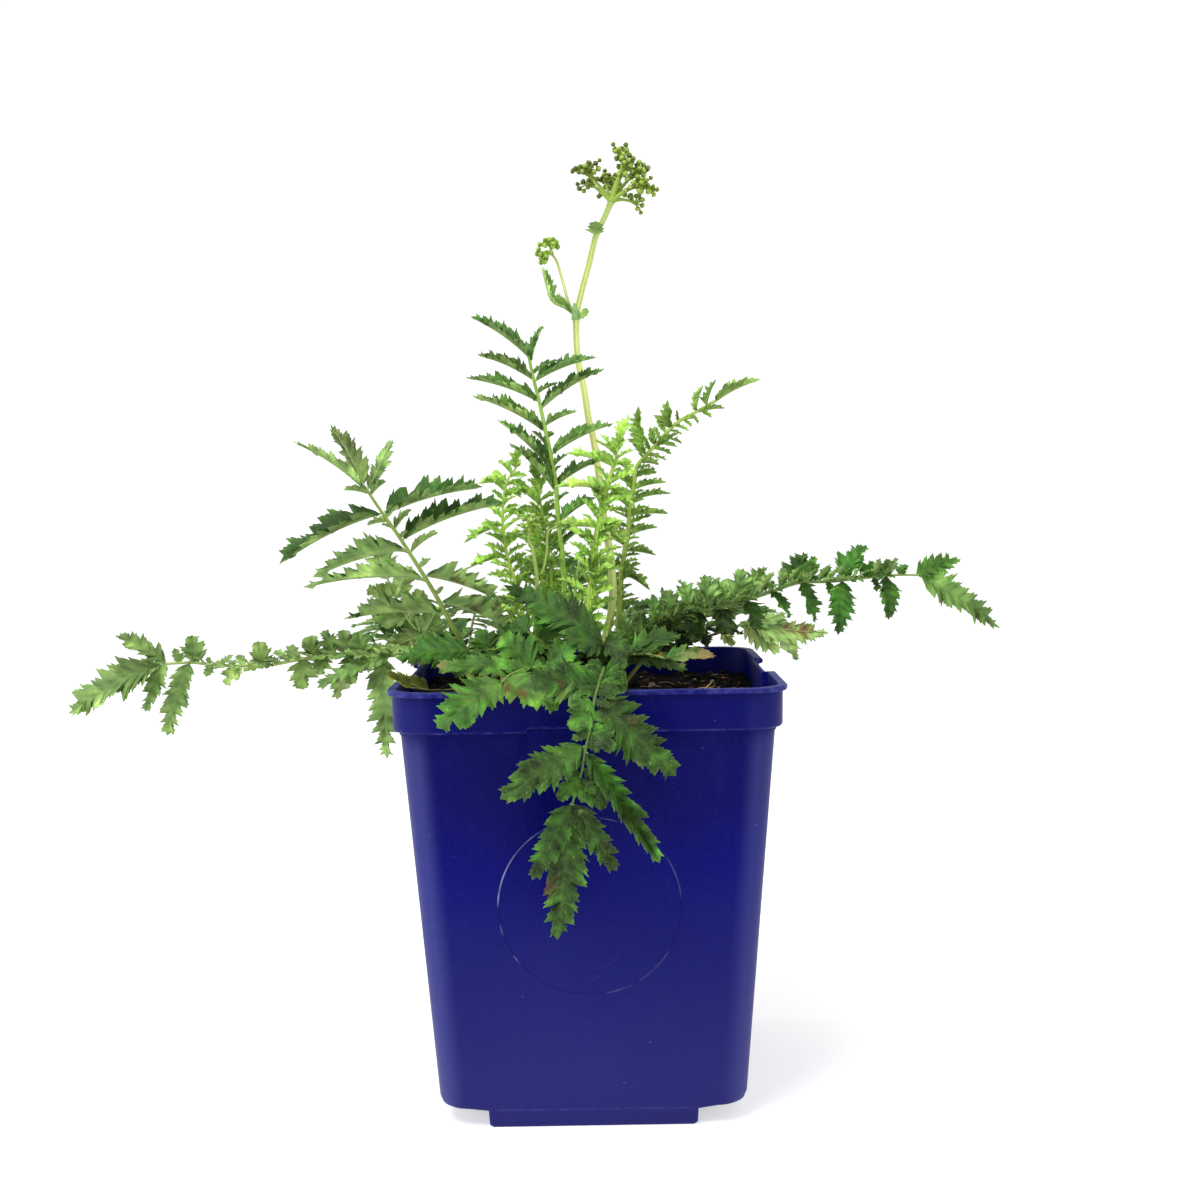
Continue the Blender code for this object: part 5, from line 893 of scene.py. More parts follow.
def skin(rings, close_top):
    """Closed surface over the rings: bottom cap, walls, and a top cap or a point."""
    verts = [q for rg in rings for q in rg]
    n = len(rings[0])
    faces = []
    for k in range(len(rings) - 1):
        for i in range(n):
            j = (i + 1) % n
            faces.append((k * n + i, k * n + j, (k + 1) * n + j, (k + 1) * n + i))
    faces.append(tuple(reversed(range(n))))
    last = (len(rings) - 1) * n
    if close_top == "flat":
        faces.append(tuple(last + i for i in range(n)))
    else:
        c = sum((q for q in rings[-1]), Vector()) / n
        verts.append(c)
        for i in range(n):
            faces.append((last + i, last + (i + 1) % n, len(verts) - 1))
    return verts, faces


def crown_mesh(grow=0.0, nu=18, nv=9):
    """The crown: an ellipsoid with soft lumps; `grow` gives the hollow it sits in."""
    verts, faces = [], []
    cx, cy, cz = CROWN_C
    rx, ry, rz = (CROWN_R[0] + grow, CROWN_R[1] + grow, CROWN_R[2] + grow)

    def pt(a, b):
        d = Vector((math.cos(a) * math.cos(b), math.sin(a) * math.cos(b), math.sin(b)))
        k = 1.0 + 0.06 * math.sin(5 * a) * math.cos(b) + 0.04 * math.cos(8 * a + 1.0) * math.cos(b)
        return Vector((cx + d.x * rx * k, cy + d.y * ry * k, cz + d.z * rz))

    verts.append(pt(0, -math.pi / 2))
    for j in range(1, nv):
        for i in range(nu):
            verts.append(pt(2 * math.pi * i / nu, -math.pi / 2 + math.pi * j / nv))
    verts.append(pt(0, math.pi / 2))
    for i in range(nu):
        faces.append((0, 1 + (i + 1) % nu, 1 + i))
    for j in range(nv - 2):
        for i in range(nu):
            a, b = 1 + j * nu + i, 1 + j * nu + (i + 1) % nu
            faces.append((a, b, b + nu, a + nu))
    base = 1 + (nv - 2) * nu
    for i in range(nu):
        faces.append((base + i, base + (i + 1) % nu, len(verts) - 1))
    return verts, faces


def pot_guard():
    """The surfaces that leaves have to stay clear of."""
    outer, inner = pot_rings()
    v, f = skin(outer + inner, "flat")
    yield "pot", v, f
    v, f = skin(soil_rings(), "point")
    yield "soil", v, f
    v, f = crown_mesh(0.1)
    yield "crown", v, f


# ---------------------------------------------------------------- helpers
def lin(r, g, b):
    """A display colour, 0 to 255, as linear light."""
    out = []
    for c in (r, g, b):
        c = c / 255.0
        out.append(c / 12.92 if c <= 0.04045 else ((c + 0.055) / 1.055) ** 2.4)
    return np.array(out)


def hash1(x, k=0.0):
    """A repeatable number from 0 to 1 for each value."""
    v = np.sin(np.asarray(x, float) * 127.1 + k * 311.7 + 0.5) * 43758.5453
    return v - np.floor(v)


def value_noise(x, y, z, seed=0.0):
    """Smooth noise, -1 to 1, on arrays of coordinates."""
    xi, yi, zi = np.floor(x), np.floor(y), np.floor(z)
    fx, fy, fz = x - xi, y - yi, z - zi
    fx, fy, fz = (f * f * (3 - 2 * f) for f in (fx, fy, fz))

    def h(a, b, c):
        v = np.sin(a * 127.1 + b * 311.7 + c * 74.7 + seed * 19.19) * 43758.5453
        return v - np.floor(v)

    out = 0
    for dx in (0, 1):
        for dy in (0, 1):
            for dz in (0, 1):
                w = (fx if dx else 1 - fx) * (fy if dy else 1 - fy) * (fz if dz else 1 - fz)
                out = out + w * h(xi + dx, yi + dy, zi + dz)
    return out * 2 - 1


def fractal(x, y, z, octaves=3, seed=0.0):
    out, amp, tot = 0, 1.0, 0.0
    for k in range(octaves):
        out = out + amp * value_noise(x * 2 ** k, y * 2 ** k, z * 2 ** k, seed + k * 7.3)
        tot += amp
        amp *= 0.5
    return out / tot


class Build:
    """Gathers vertices in mm, faces, colours and one spare number for each vertex."""

    def __init__(self):
        self.v, self.f, self.c, self.k, self.n = [], [], [], [], 0

    def add(self, verts, faces, cols, kind=0.0):
        verts = np.asarray([tuple(q) for q in verts] if not isinstance(verts, np.ndarray) else verts, float)
        m_ = len(verts)
        cols = np.asarray(cols, float)
        if cols.ndim == 1:
            cols = np.tile(cols, (m_, 1))
        kind = np.asarray(kind, float)
        if kind.ndim == 0:
            kind = np.full(m_, float(kind))
        self.v.append(verts)
        self.c.append(cols)
        self.k.append(kind)
        n = self.n
        self.f += [tuple(n + i for i in t) for t in faces]
        self.n += m_

    def object(self, name, mats, smooth=60.0, slots=None):
        co = np.concatenate(self.v) * MM
        me = bpy.data.meshes.new(name)
        me.from_pydata([tuple(q) for q in co], [], self.f)
        col = np.ones((len(co), 4))
        col[:, :3] = np.clip(np.concatenate(self.c), 0, 1)
        at = me.color_attributes.new(name="tone", type="FLOAT_COLOR", domain="POINT")
        at.data.foreach_set("color", col.astype(np.float32).ravel())
        at = me.attributes.new("kind", "FLOAT", "POINT")
        at.data.foreach_set("value", np.concatenate(self.k).astype(np.float32))
        for mt in mats:
            me.materials.append(mt)
        ob = bpy.data.objects.new(name, me)
        bpy.context.scene.collection.objects.link(ob)
        me.shade_smooth()
        if smooth < 180:
            me.set_sharp_from_angle(angle=math.radians(smooth))
        if slots is not None:
            me.polygons.foreach_set("material_index", np.asarray(slots, np.int32))
        return ob


def take(ob, slot_name, *nodes):
    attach(ob, "root")
    if nodes:
        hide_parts(*nodes)
    return ob


def tube(cur, radius, sides=10, step=1.5, profile=None, turn=(1, 0.3, 0.1), s0=0.0, s1=None):
    """A closed tube: radius(s) in mm; profile(angle, s) scales it.  Angle 90 degrees
    looks the way `turn` points."""
    s1 = cur.length if s1 is None else s1
    n = max(3, int(math.ceil((s1 - s0) / step)) + 1)
    ref = None
    rows = []
    angs = np.arange(sides) * 2 * math.pi / sides
    for k in range(n):
        s = s0 + (s1 - s0) * k / (n - 1)
        t = cur.tangent(s, 0.8)
        if ref is None:
            ref = square_up(turn, t)
        ref = square_up(turn, t) if profile else square_up(ref, t)
        b = ref.cross(t)
        c = cur.at(s)
        r = radius(s)
        pr = np.array([profile(a, s) for a in angs]) if profile else np.ones(sides)
        row = (np.array(c)[None, :] + np.outer(r * pr * np.cos(angs), np.array(b))
               + np.outer(r * pr * np.sin(angs), np.array(ref)))
        rows.append(row)
    ends = []
    for row, s, d in ((rows[0], s0, -1), (rows[-1], s1, 1)):
        ends.append(row.mean(0) + np.array(cur.tangent(s, 0.8)) * d * radius(s) * 0.35)
    verts = np.concatenate(rows + [np.array(ends)])
    faces = []
    for k in range(n - 1):
        for j in range(sides):
            a, b2 = k * sides + j, k * sides + (j + 1) % sides
            faces.append((a, a + sides, b2 + sides, b2))
    e0, e1 = n * sides, n * sides + 1
    for j in range(sides):
        faces.append((e0, j, (j + 1) % sides))
        faces.append((e1, (n - 1) * sides + (j + 1) % sides, (n - 1) * sides + j))
    srow = np.concatenate([np.full(sides, s0 + (s1 - s0) * k / (n - 1)) for k in range(n)] + [[s0, s1]])
    arow = np.concatenate([np.tile(angs, n), [0, 0]])
    return verts, faces, srow, arow


ICO = {}


def ball(level):
    if level not in ICO:
        bm = bmesh.new()
        bmesh.ops.create_icosphere(bm, subdivisions=level, radius=1.0)
        bm.verts.ensure_lookup_table()
        ICO[level] = (np.array([tuple(q.co) for q in bm.verts]), [tuple(q.index for q in f_.verts) for f_ in bm.faces])
        bm.free()
    return ICO[level]


# ---------------------------------------------------------------- materials
class Nodes:
    def __init__(self, name):
        self.m = bpy.data.materials.new(name)
        self.m.use_nodes = True
        self.t = self.m.node_tree
        self.b = self.t.nodes["Principled BSDF"]
        self.x = 0

    def node(self, kind, **kw):
        n = self.t.nodes.new(kind)
        n.location = (-220 * (self.x + 1), 0)
        self.x += 1
        for k, v in kw.items():
            setattr(n, k, v)
        return n

    def link(self, a, b):
        self.t.links.new(a, b)

    def attr(self, name):
        n = self.node("ShaderNodeAttribute")
        n.attribute_name = name
        return n

    def coords(self):
        return self.node("ShaderNodeTexCoord").outputs["Object"]

    def noise(self, vec, scale, detail=3.0, rough=0.5, dist=0.0):
        n = self.node("ShaderNodeTexNoise")
        n.inputs["Scale"].default_value = scale
        n.inputs["Detail"].default_value = detail
        n.inputs["Roughness"].default_value = rough
        n.inputs["Distortion"].default_value = dist
        self.link(vec, n.inputs["Vector"])
        return n.outputs["Fac"]

    def voronoi(self, vec, scale, feature="F1", rand=1.0):
        n = self.node("ShaderNodeTexVoronoi", feature=feature)
        n.inputs["Scale"].default_value = scale
        n.inputs["Randomness"].default_value = rand
        self.link(vec, n.inputs["Vector"])
        return n.outputs["Distance"]

    def stretch(self, vec, sx, sy, sz):
        n = self.node("ShaderNodeMapping")
        n.inputs["Scale"].default_value = (sx, sy, sz)
        self.link(vec, n.inputs["Vector"])
        return n.outputs["Vector"]

    def remap(self, val, a, b, c, d, clamp=True):
        n = self.node("ShaderNodeMapRange")
        n.clamp = clamp
        for i, q in enumerate((a, b, c, d)):
            n.inputs[i + 1].default_value = q
        self.link(val, n.inputs[0])
        return n.outputs[0]

    def math(self, op, a, b=None, c=None):
        n = self.node("ShaderNodeMath", operation=op)
        for i, q in enumerate((a, b, c)):
            if q is None:
                continue
            if isinstance(q, (int, float)):
                n.inputs[i].default_value = q
            else:
                self.link(q, n.inputs[i])
        return n.outputs[0]

    def mix(self, fac, a, b, kind="MIX"):
        n = self.node("ShaderNodeMix", data_type="RGBA", blend_type=kind)
        n.clamp_factor = True
        for q, i in ((fac, 0), (a, 6), (b, 7)):
            if isinstance(q, (int, float)):
                n.inputs[i].default_value = q
            elif isinstance(q, (tuple, list, np.ndarray)):
                n.inputs[i].default_value = (*[float(w) for w in q[:3]], 1.0)
            else:
                self.link(q, n.inputs[i])
        return n.outputs[2]

    def bump(self, height, strength, dist, under=None):
        n = self.node("ShaderNodeBump")
        n.inputs["Strength"].default_value = strength
        n.inputs["Distance"].default_value = dist
        self.link(height, n.inputs["Height"])
        if under is not None:
            self.link(under, n.inputs["Normal"])
        return n.outputs["Normal"]

    def done(self, colour=None, rough=None, normal=None):
        if colour is not None:
            self.link(colour, self.b.inputs["Base Color"])
        if rough is not None:
            if isinstance(rough, (int, float)):
                self.b.inputs["Roughness"].default_value = rough
            else:
                self.link(rough, self.b.inputs["Roughness"])
        if normal is not None:
            self.link(normal, self.b.inputs["Normal"])
        return self.m


def leaf_material():
    k = Nodes("leaf_tissue")
    v = k.coords()
    tone = k.attr("tone").outputs["Color"]
    n1 = k.noise(v, 420.0, 4.0, 0.6)
    n2 = k.noise(v, 1700.0, 2.0, 0.5)
    cells = k.voronoi(v, 1100.0, "DISTANCE_TO_EDGE")
    net = k.remap(cells, 0.0, 0.09, 1.0, 0.0)
    c = k.mix(k.remap(n1, 0.40, 0.72, 0.0, 0.38), tone, (0.34, 0.44, 0.22), "MULTIPLY")
    c = k.mix(k.remap(n1, 0.30, 0.46, 0.10, 0.0), c, (0.20, 0.32, 0.09))
    c = k.mix(k.remap(n2, 0.45, 0.75, 0.0, 0.20), c, (0.20, 0.30, 0.07))
    c = k.mix(k.math("MULTIPLY", net, 0.22), c, (0.55, 0.62, 0.40), "MULTIPLY")
    h = k.math("ADD", k.math("MULTIPLY", net, -0.5), k.math("MULTIPLY", n1, 0.9))
    nm = k.bump(h, 0.5, 0.00022)
    k.b.inputs["Specular IOR Level"].default_value = 0.2
    k.b.inputs["Subsurface Weight"].default_value = 0.0
    return k.done(c, k.remap(n1, 0.3, 0.7, 0.42, 0.62), nm)


def stalk_material(name, rough_lo, rough_hi):
    k = Nodes(name)
    v = k.coords()
    tone = k.attr("tone").outputs["Color"]
    fine = k.noise(k.stretch(v, 1.0, 1.0, 0.10), 1600.0, 3.0, 0.6)
    blot = k.noise(v, 260.0, 3.0, 0.6)
    c = k.mix(k.remap(fine, 0.35, 0.7, 0.0, 0.20), tone, (0.45, 0.50, 0.20), "MULTIPLY")
    c = k.mix(k.remap(blot, 0.5, 0.8, 0.0, 0.12), c, (0.20, 0.13, 0.05))
    nm = k.bump(fine, 0.35, 0.00015)
    k.b.inputs["Specular IOR Level"].default_value = 0.5
    return k.done(c, k.remap(blot, 0.3, 0.7, rough_lo, rough_hi), nm)


def bud_material():
    k = Nodes("bud_skin")
    v = k.coords()
    tone = k.attr("tone").outputs["Color"]
    n = k.noise(v, 1500.0, 3.0, 0.55)
    c = k.mix(k.remap(n, 0.4, 0.7, 0.0, 0.35), tone, (0.58, 0.56, 0.30), "MULTIPLY")
    nm = k.bump(n, 0.4, 0.0001)
    k.b.inputs["Specular IOR Level"].default_value = 0.34
    return k.done(c, k.remap(n, 0.3, 0.7, 0.34, 0.5), nm)


def pot_material():
    k = Nodes("pot_moulded_plastic")
    v = k.coords()
    xyz = k.node("ShaderNodeSeparateXYZ")
    k.link(v, xyz.inputs[0])
    cloud = k.noise(v, 16.0, 4.0, 0.55)
    grain = k.noise(v, 1400.0, 2.0, 0.6)
    orange = k.noise(v, 330.0, 2.0, 0.4)
    kind = k.attr("kind").outputs["Fac"]
    # darker upwards, deepest just under the band, paler towards the foot
    z_ = k.math("ADD", xyz.outputs[2], k.math("MULTIPLY", k.math("SUBTRACT", cloud, 0.5), 0.03))
    c = k.mix(k.remap(z_, 0.020, 0.066, 0.0, 1.0), lin(34, 34, 100), lin(20, 23, 95))
    c = k.mix(k.remap(z_, 0.066, 0.102, 0.0, 1.0), c, lin(2, 5, 96))
    c = k.mix(k.remap(z_, 0.102, 0.136, 0.0, 1.0), c, lin(1, 2, 80))
    c = k.mix(k.remap(xyz.outputs[2], 0.1535, 0.1565, 0.0, 1.0), c, lin(1, 4, 85))
    # painted sheen: the rounded corners are lightened as if catching the light, less so up at the band
    half_ = k.math("ADD", k.math("MULTIPLY", xyz.outputs[2], 0.0688), 0.0599)
    ax_ = k.math("SUBTRACT", half_, k.math("ABSOLUTE", xyz.outputs[0]))
    ay_ = k.math("SUBTRACT", half_, k.math("ABSOLUTE", xyz.outputs[1]))
    near = k.remap(k.math("ADD", ax_, ay_), 0.0068, 0.0120, 1.0, 0.0)
    corner_sheen_amount = k.math("MULTIPLY", k.remap(xyz.outputs[0], -0.05, 0.05, 0.22, 0.18), k.remap(xyz.outputs[2], 0.150, 0.158, 1.0, 0.25))
    c = k.mix(k.math("MULTIPLY", k.math("MULTIPLY", near, near), corner_sheen_amount), c, lin(98, 104, 164))
    rub = k.noise(k.stretch(v, 1.0, 1.0, 0.35), 55.0, 5.0, 0.7)
    c = k.mix(k.remap(rub, 0.58, 0.84, 0.0, 0.16), c, lin(52, 56, 128))
    c = k.mix(k.remap(grain, 0.35, 0.75, 0.0, 0.10), c, lin(60, 64, 136))
    # dust: small pale specks, few and far between
    speck = k.voronoi(v, 210.0)
    few = k.noise(v, 90.0, 2.0, 0.5)
    sp = k.math("MULTIPLY", k.remap(speck, 0.0, 0.10, 1.0, 0.0), k.remap(few, 0.58, 0.64, 0.0, 1.0))
    c = k.mix(k.math("MULTIPLY", sp, 0.45), c, lin(120, 120, 170))
    # fine scratches
    sc = k.noise(v, 9.0, 3.0, 0.5, 2.0)
    line = k.remap(k.math("ABSOLUTE", k.math("SUBTRACT", sc, 0.5)), 0.0, 0.0011, 1.0, 0.0)
    some = k.remap(k.noise(v, 24.0, 2.0, 0.5), 0.60, 0.68, 0.0, 0.55)
    c = k.mix(k.math("MULTIPLY", k.math("MULTIPLY", line, some), 0.45), c, lin(110, 112, 170))
    # worn rims and arrises, also paled as painted highlight where the edges catch the light
    edge_wear_and_highlight = k.math("MULTIPLY", kind, k.remap(k.noise(v, 260.0, 4.0, 0.65), 0.40, 0.7, 0.10, 1.0))
    c = k.mix(k.math("MULTIPLY", edge_wear_and_highlight, 0.42), c, lin(84, 90, 160))
    # the edge of the shallow round on the front is paled on its left, in patches: painted highlight on the side facing
    # the light, with some rubbing
    dx = k.math("SUBTRACT", xyz.outputs[0], DISC_C.x * MM)
    dz = k.math("SUBTRACT", xyz.outputs[2], DISC_C.z * MM)
    far = k.math("SQRT", k.math("ADD", k.math("MULTIPLY", dx, dx), k.math("MULTIPLY", dz, dz)))
    ring_ = k.remap(k.math("ABSOLUTE", k.math("SUBTRACT", far, DISC_R * MM)), 0.0, 0.0004, 1.0, 0.0)
    front = k.remap(xyz.outputs[1], -0.060, -0.058, 1.0, 0.0)
    patch = k.remap(k.noise(v, 38.0, 3.0, 0.6), 0.50, 0.62, 0.0, 1.0)
    left = k.remap(dx, -0.004, -0.02, 0.25, 1.0)
    disc_edge_highlight_and_rub = k.math("MULTIPLY", k.math("MULTIPLY", ring_, front), k.math("MULTIPLY", patch, left))
    c = k.mix(k.math("MULTIPLY", disc_edge_highlight_and_rub, 0.85), c, lin(170, 176, 215))
    h = k.math("ADD", k.math("MULTIPLY", grain, 0.5), orange)
    nm = k.bump(h, 0.22, 0.00018)
    k.b.inputs["Specular IOR Level"].default_value = 0.05
    r = k.math("ADD", k.remap(rub, 0.3, 0.8, 0.34, 0.50), k.math("MULTIPLY", sp, 0.3))
    return k.done(c, r, nm)


def soil_material():
    k = Nodes("potting_mix")
    v = k.coords()
    a = k.noise(v, 260.0, 6.0, 0.7)
    b = k.noise(v, 900.0, 3.0, 0.6)
    c = k.mix(k.remap(a, 0.35, 0.65, 0.0, 1.0), lin(2, 1, 1), lin(17, 12, 9))
    c = k.mix(k.remap(b, 0.66, 0.76, 0.0, 0.4), c, lin(74, 56, 40))
    h = k.math("ADD", a, k.math("MULTIPLY", b, 0.5))
    nm = k.bump(h, 1.0, 0.0012)
    k.b.inputs["Specular IOR Level"].default_value = 0.12
    return k.done(c, 0.95, nm)


def grit_material(name, rough_, bump_scale):
    k = Nodes(name)
    v = k.coords()
    tone = k.attr("tone").outputs["Color"]
    a = k.noise(v, bump_scale, 4.0, 0.65)
    c = k.mix(k.remap(a, 0.35, 0.7, 0.0, 0.5), tone, (0.45, 0.40, 0.34), "MULTIPLY")
    nm = k.bump(a, 0.8, 0.0004)
    k.b.inputs["Specular IOR Level"].default_value = 0.3
    return k.done(c, rough_, nm)


slope = math.atan2((BODY_TOP - BODY_FOOT) / 2, POT_HEIGHT - BAND_DEPTH - 10.0)
face_n = Vector((0, -math.cos(slope), -math.sin(slope)))
z_disc = 76.0
for _ in range(8):
    spot_ = p(589.8, 907.0, -body_half(z_disc))
    z_disc = spot_.z
DISC_C = Vector((spot_.x, -body_half(z_disc), z_disc))
DISC_R = 34.9
M_LEAF = leaf_material()
M_STALK = stalk_material("stalk_skin", 0.34, 0.5)
M_BUD = bud_material()
M_POT = pot_material()
M_SOIL = soil_material()
M_GRIT = grit_material("loose_bits", 0.9, 1300.0)
M_CROWN = grit_material("crown_bark", 0.88, 500.0)

# ---------------------------------------------------------------- pot
CORNER_STEPS = 20


def fine_pot():
    outer, inner = pot_rings()
    rings = outer + inner
    verts, faces = skin(rings, "flat")
    n = len(rings[0])
    # rings whose edges are paled: wear, and painted highlight along the edges
    edge_wear_and_highlight = np.zeros(len(verts))
    for r_ in (3, 10, 11, 15, 16, 17, 18):
        edge_wear_and_highlight[r_ * n:(r_ + 1) * n] = 1.0
    b = Build()
    b.add(verts, faces, lin(40, 38, 118), edge_wear_and_highlight)
    ob = b.object("pot_shell", [M_POT], 28)
    return ob


pot_ob = fine_pot()


def prism(centre, axis, up, r, depth, n=96):
    """A closed disc of radius r and full thickness 2 x depth, in mm, for cutting."""
    a = Vector(axis).normalized()
    u_ = square_up(up, a)
    w_ = a.cross(u_)
    vs = []
    for d in (-depth, depth):
        for i in range(n):
            t_ = 2 * math.pi * i / n
            vs.append(Vector(centre) + a * d + (u_ * math.cos(t_) + w_ * math.sin(t_)) * r)
    fs = [tuple(reversed(range(n))), tuple(n + i for i in range(n))]
    for i in range(n):
        j = (i + 1) % n
        fs.append((i, j, n + j, n + i))
    return vs, fs


def apply_all(ob):
    dg = bpy.context.evaluated_depsgraph_get()
    me = bpy.data.meshes.new_from_object(ob.evaluated_get(dg), depsgraph=dg)
    old = ob.data
    ob.modifiers.clear()
    ob.data = me
    me.name = ob.name
    bpy.data.meshes.remove(old)


def plain_object(name, vs, fs):
    me = bpy.data.meshes.new(name)
    me.from_pydata([tuple(Vector(q) * MM) for q in vs], [], fs)
    ob = bpy.data.objects.new(name, me)
    bpy.context.scene.collection.objects.link(ob)
    return ob


def carve(ob, vs, fs):
    tool = plain_object("tool", vs, fs)
    md = ob.modifiers.new("cut", "BOOLEAN")
    md.operation = "DIFFERENCE"
    md.solver = "EXACT"
    md.object = tool
    apply_all(ob)
    bpy.data.objects.remove(tool, do_unlink=True)


# drain holes in the raised corners and in the foot
drill_v, drill_f = [], []
for hx, hy, hz, hr in ([(sx * 50.5, sy * 43.0, 8.0, HOLE_R) for sx in (-1, 1) for sy in (-1, 1)]
                       + [(x_, y_, 0.8, 5.0) for x_, y_ in ((27, 0), (-27, 0), (0, 33), (0, -33))]):
    vs_, fs_ = prism((hx, hy, hz), (0, 0, 1), (1, 0, 0), hr, 3.0, 40)
    k_ = len(drill_v)
    drill_v += vs_
    drill_f += [tuple(k_ + i for i in t_) for t_ in fs_]
carve(pot_ob, drill_v, drill_f)

# a plain shallow round on the front face
vs_, fs_ = prism(DISC_C, face_n, (0, 0, 1), DISC_R, 0.45, 128)
carve(pot_ob, vs_, fs_)
bm = bmesh.new()
bm.from_mesh(pot_ob.data)
arc = []
for e_ in bm.edges:
    if all(v_.co.y < -0.055 and abs((Vector(v_.co) / MM - DISC_C).cross(face_n).length - DISC_R) < 0.06 for v_ in e_.verts):
        if abs((e_.verts[0].co - e_.verts[1].co).dot(face_n)) < 0.0001:
            arc.append(e_)
bmesh.ops.bevel(bm, geom=arc, offset=0.00018, segments=2, profile=0.5, affect="EDGES")
bm.to_mesh(pot_ob.data)
bm.free()
pot_ob.data.shade_smooth()
pot_ob.data.set_sharp_from_angle(angle=math.radians(38))
take(pot_ob, "pot_plastic", "pot")
CORNER_STEPS = 6


# ---------------------------------------------------------------- soil
def soil_top(x, y):
    """Height of the loose surface."""
    lump = fractal(x / 7.0, y / 7.0, x * 0, 3, 1.0) * 1.5 + fractal(x / 2.0, y / 2.0, x * 0, 2, 9.0) * 0.8
    base = SOIL_LEVEL + 3.4 * np.exp(-(((x + 8.0) / 46.0) ** 2 + (y / 40.0) ** 2)) + 1.4
    return base + lump


def fine_soil():
    n = 150
    half = 72.0
    g = np.linspace(-1, 1, n)
    X, Y = np.meshgrid(g * half, g * half, indexing="ij")
    r = CORNER_R
    # pull the grid's corners in onto the rounded corner
    cx, cy = np.abs(X) - (half - r), np.abs(Y) - (half - r)
    inc = (cx > 0) & (cy > 0)
    d = np.sqrt(cx ** 2 + cy ** 2)
    mx = np.maximum(cx, cy)
    k = np.where(inc & (d > 1e-6), np.maximum(mx, 1e-6) / np.maximum(d, 1e-6), 1.0)
    X = np.where(inc, np.sign(X) * (half - r + cx * k), X)
    Y = np.where(inc, np.sign(Y) * (half - r + cy * k), Y)
    # the plain stretch in the middle of each side stands further in
    lim = 69.2
    X = np.where((np.abs(Y) < GAP_HALF + 3.2) & (np.abs(X) > lim), np.sign(X) * lim, X)
    Y = np.where((np.abs(X) < GAP_HALF + 3.2) & (np.abs(Y) > lim), np.sign(Y) * lim, Y)
    Z = np.maximum(soil_top(X, Y), 158.9)
    verts = np.stack([X, Y, Z], -1).reshape(-1, 3)
    low = verts.copy()
    low[:, 2] = 158.3
    faces = []
    idx = lambda i, j: i * n + j
    for i in range(n - 1):
        for j in range(n - 1):
            faces.append((idx(i, j), idx(i + 1, j), idx(i + 1, j + 1), idx(i, j + 1)))
    rim = ([idx(i, 0) for i in range(n)] + [idx(n - 1, j) for j in range(1, n)]
           + [idx(i, n - 1) for i in range(n - 2, -1, -1)] + [idx(0, j) for j in range(n - 2, 0, -1)])
    m_ = n * n
    lows = low[rim]
    for q in range(len(rim)):
        w = (q + 1) % len(rim)
        faces.append((rim[w], rim[q], m_ + q, m_ + w))
    faces.append(tuple(m_ + q for q in range(len(rim) - 1, -1, -1)))
    b = Build()
    b.add(np.concatenate([verts, lows]), faces, lin(30, 22, 16))
    ob = b.object("soil_surface", [M_SOIL], 180)
    return ob


soil_ob = fine_soil()
take(soil_ob, "soil")
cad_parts["potting_soil"].data.materials.clear()
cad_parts["potting_soil"].data.materials.append(M_SOIL)


def inside_pot(x, y, margin):
    h = 71.5 - margin
    if abs(x) > h or abs(y) > h:
        return False
    if (abs(y) < GAP_HALF + 2 and abs(x) > 69.0 - margin) or (abs(x) < GAP_HALF + 2 and abs(y) > 69.0 - margin):
        return False
    cx, cy = abs(x) - (h - CORNER_R), abs(y) - (h - CORNER_R)
    return not (cx > 0 and cy > 0 and cx * cx + cy * cy > CORNER_R ** 2)


def on_soil(x, y):
    return float(soil_top(np.array([x]), np.array([y]))[0])


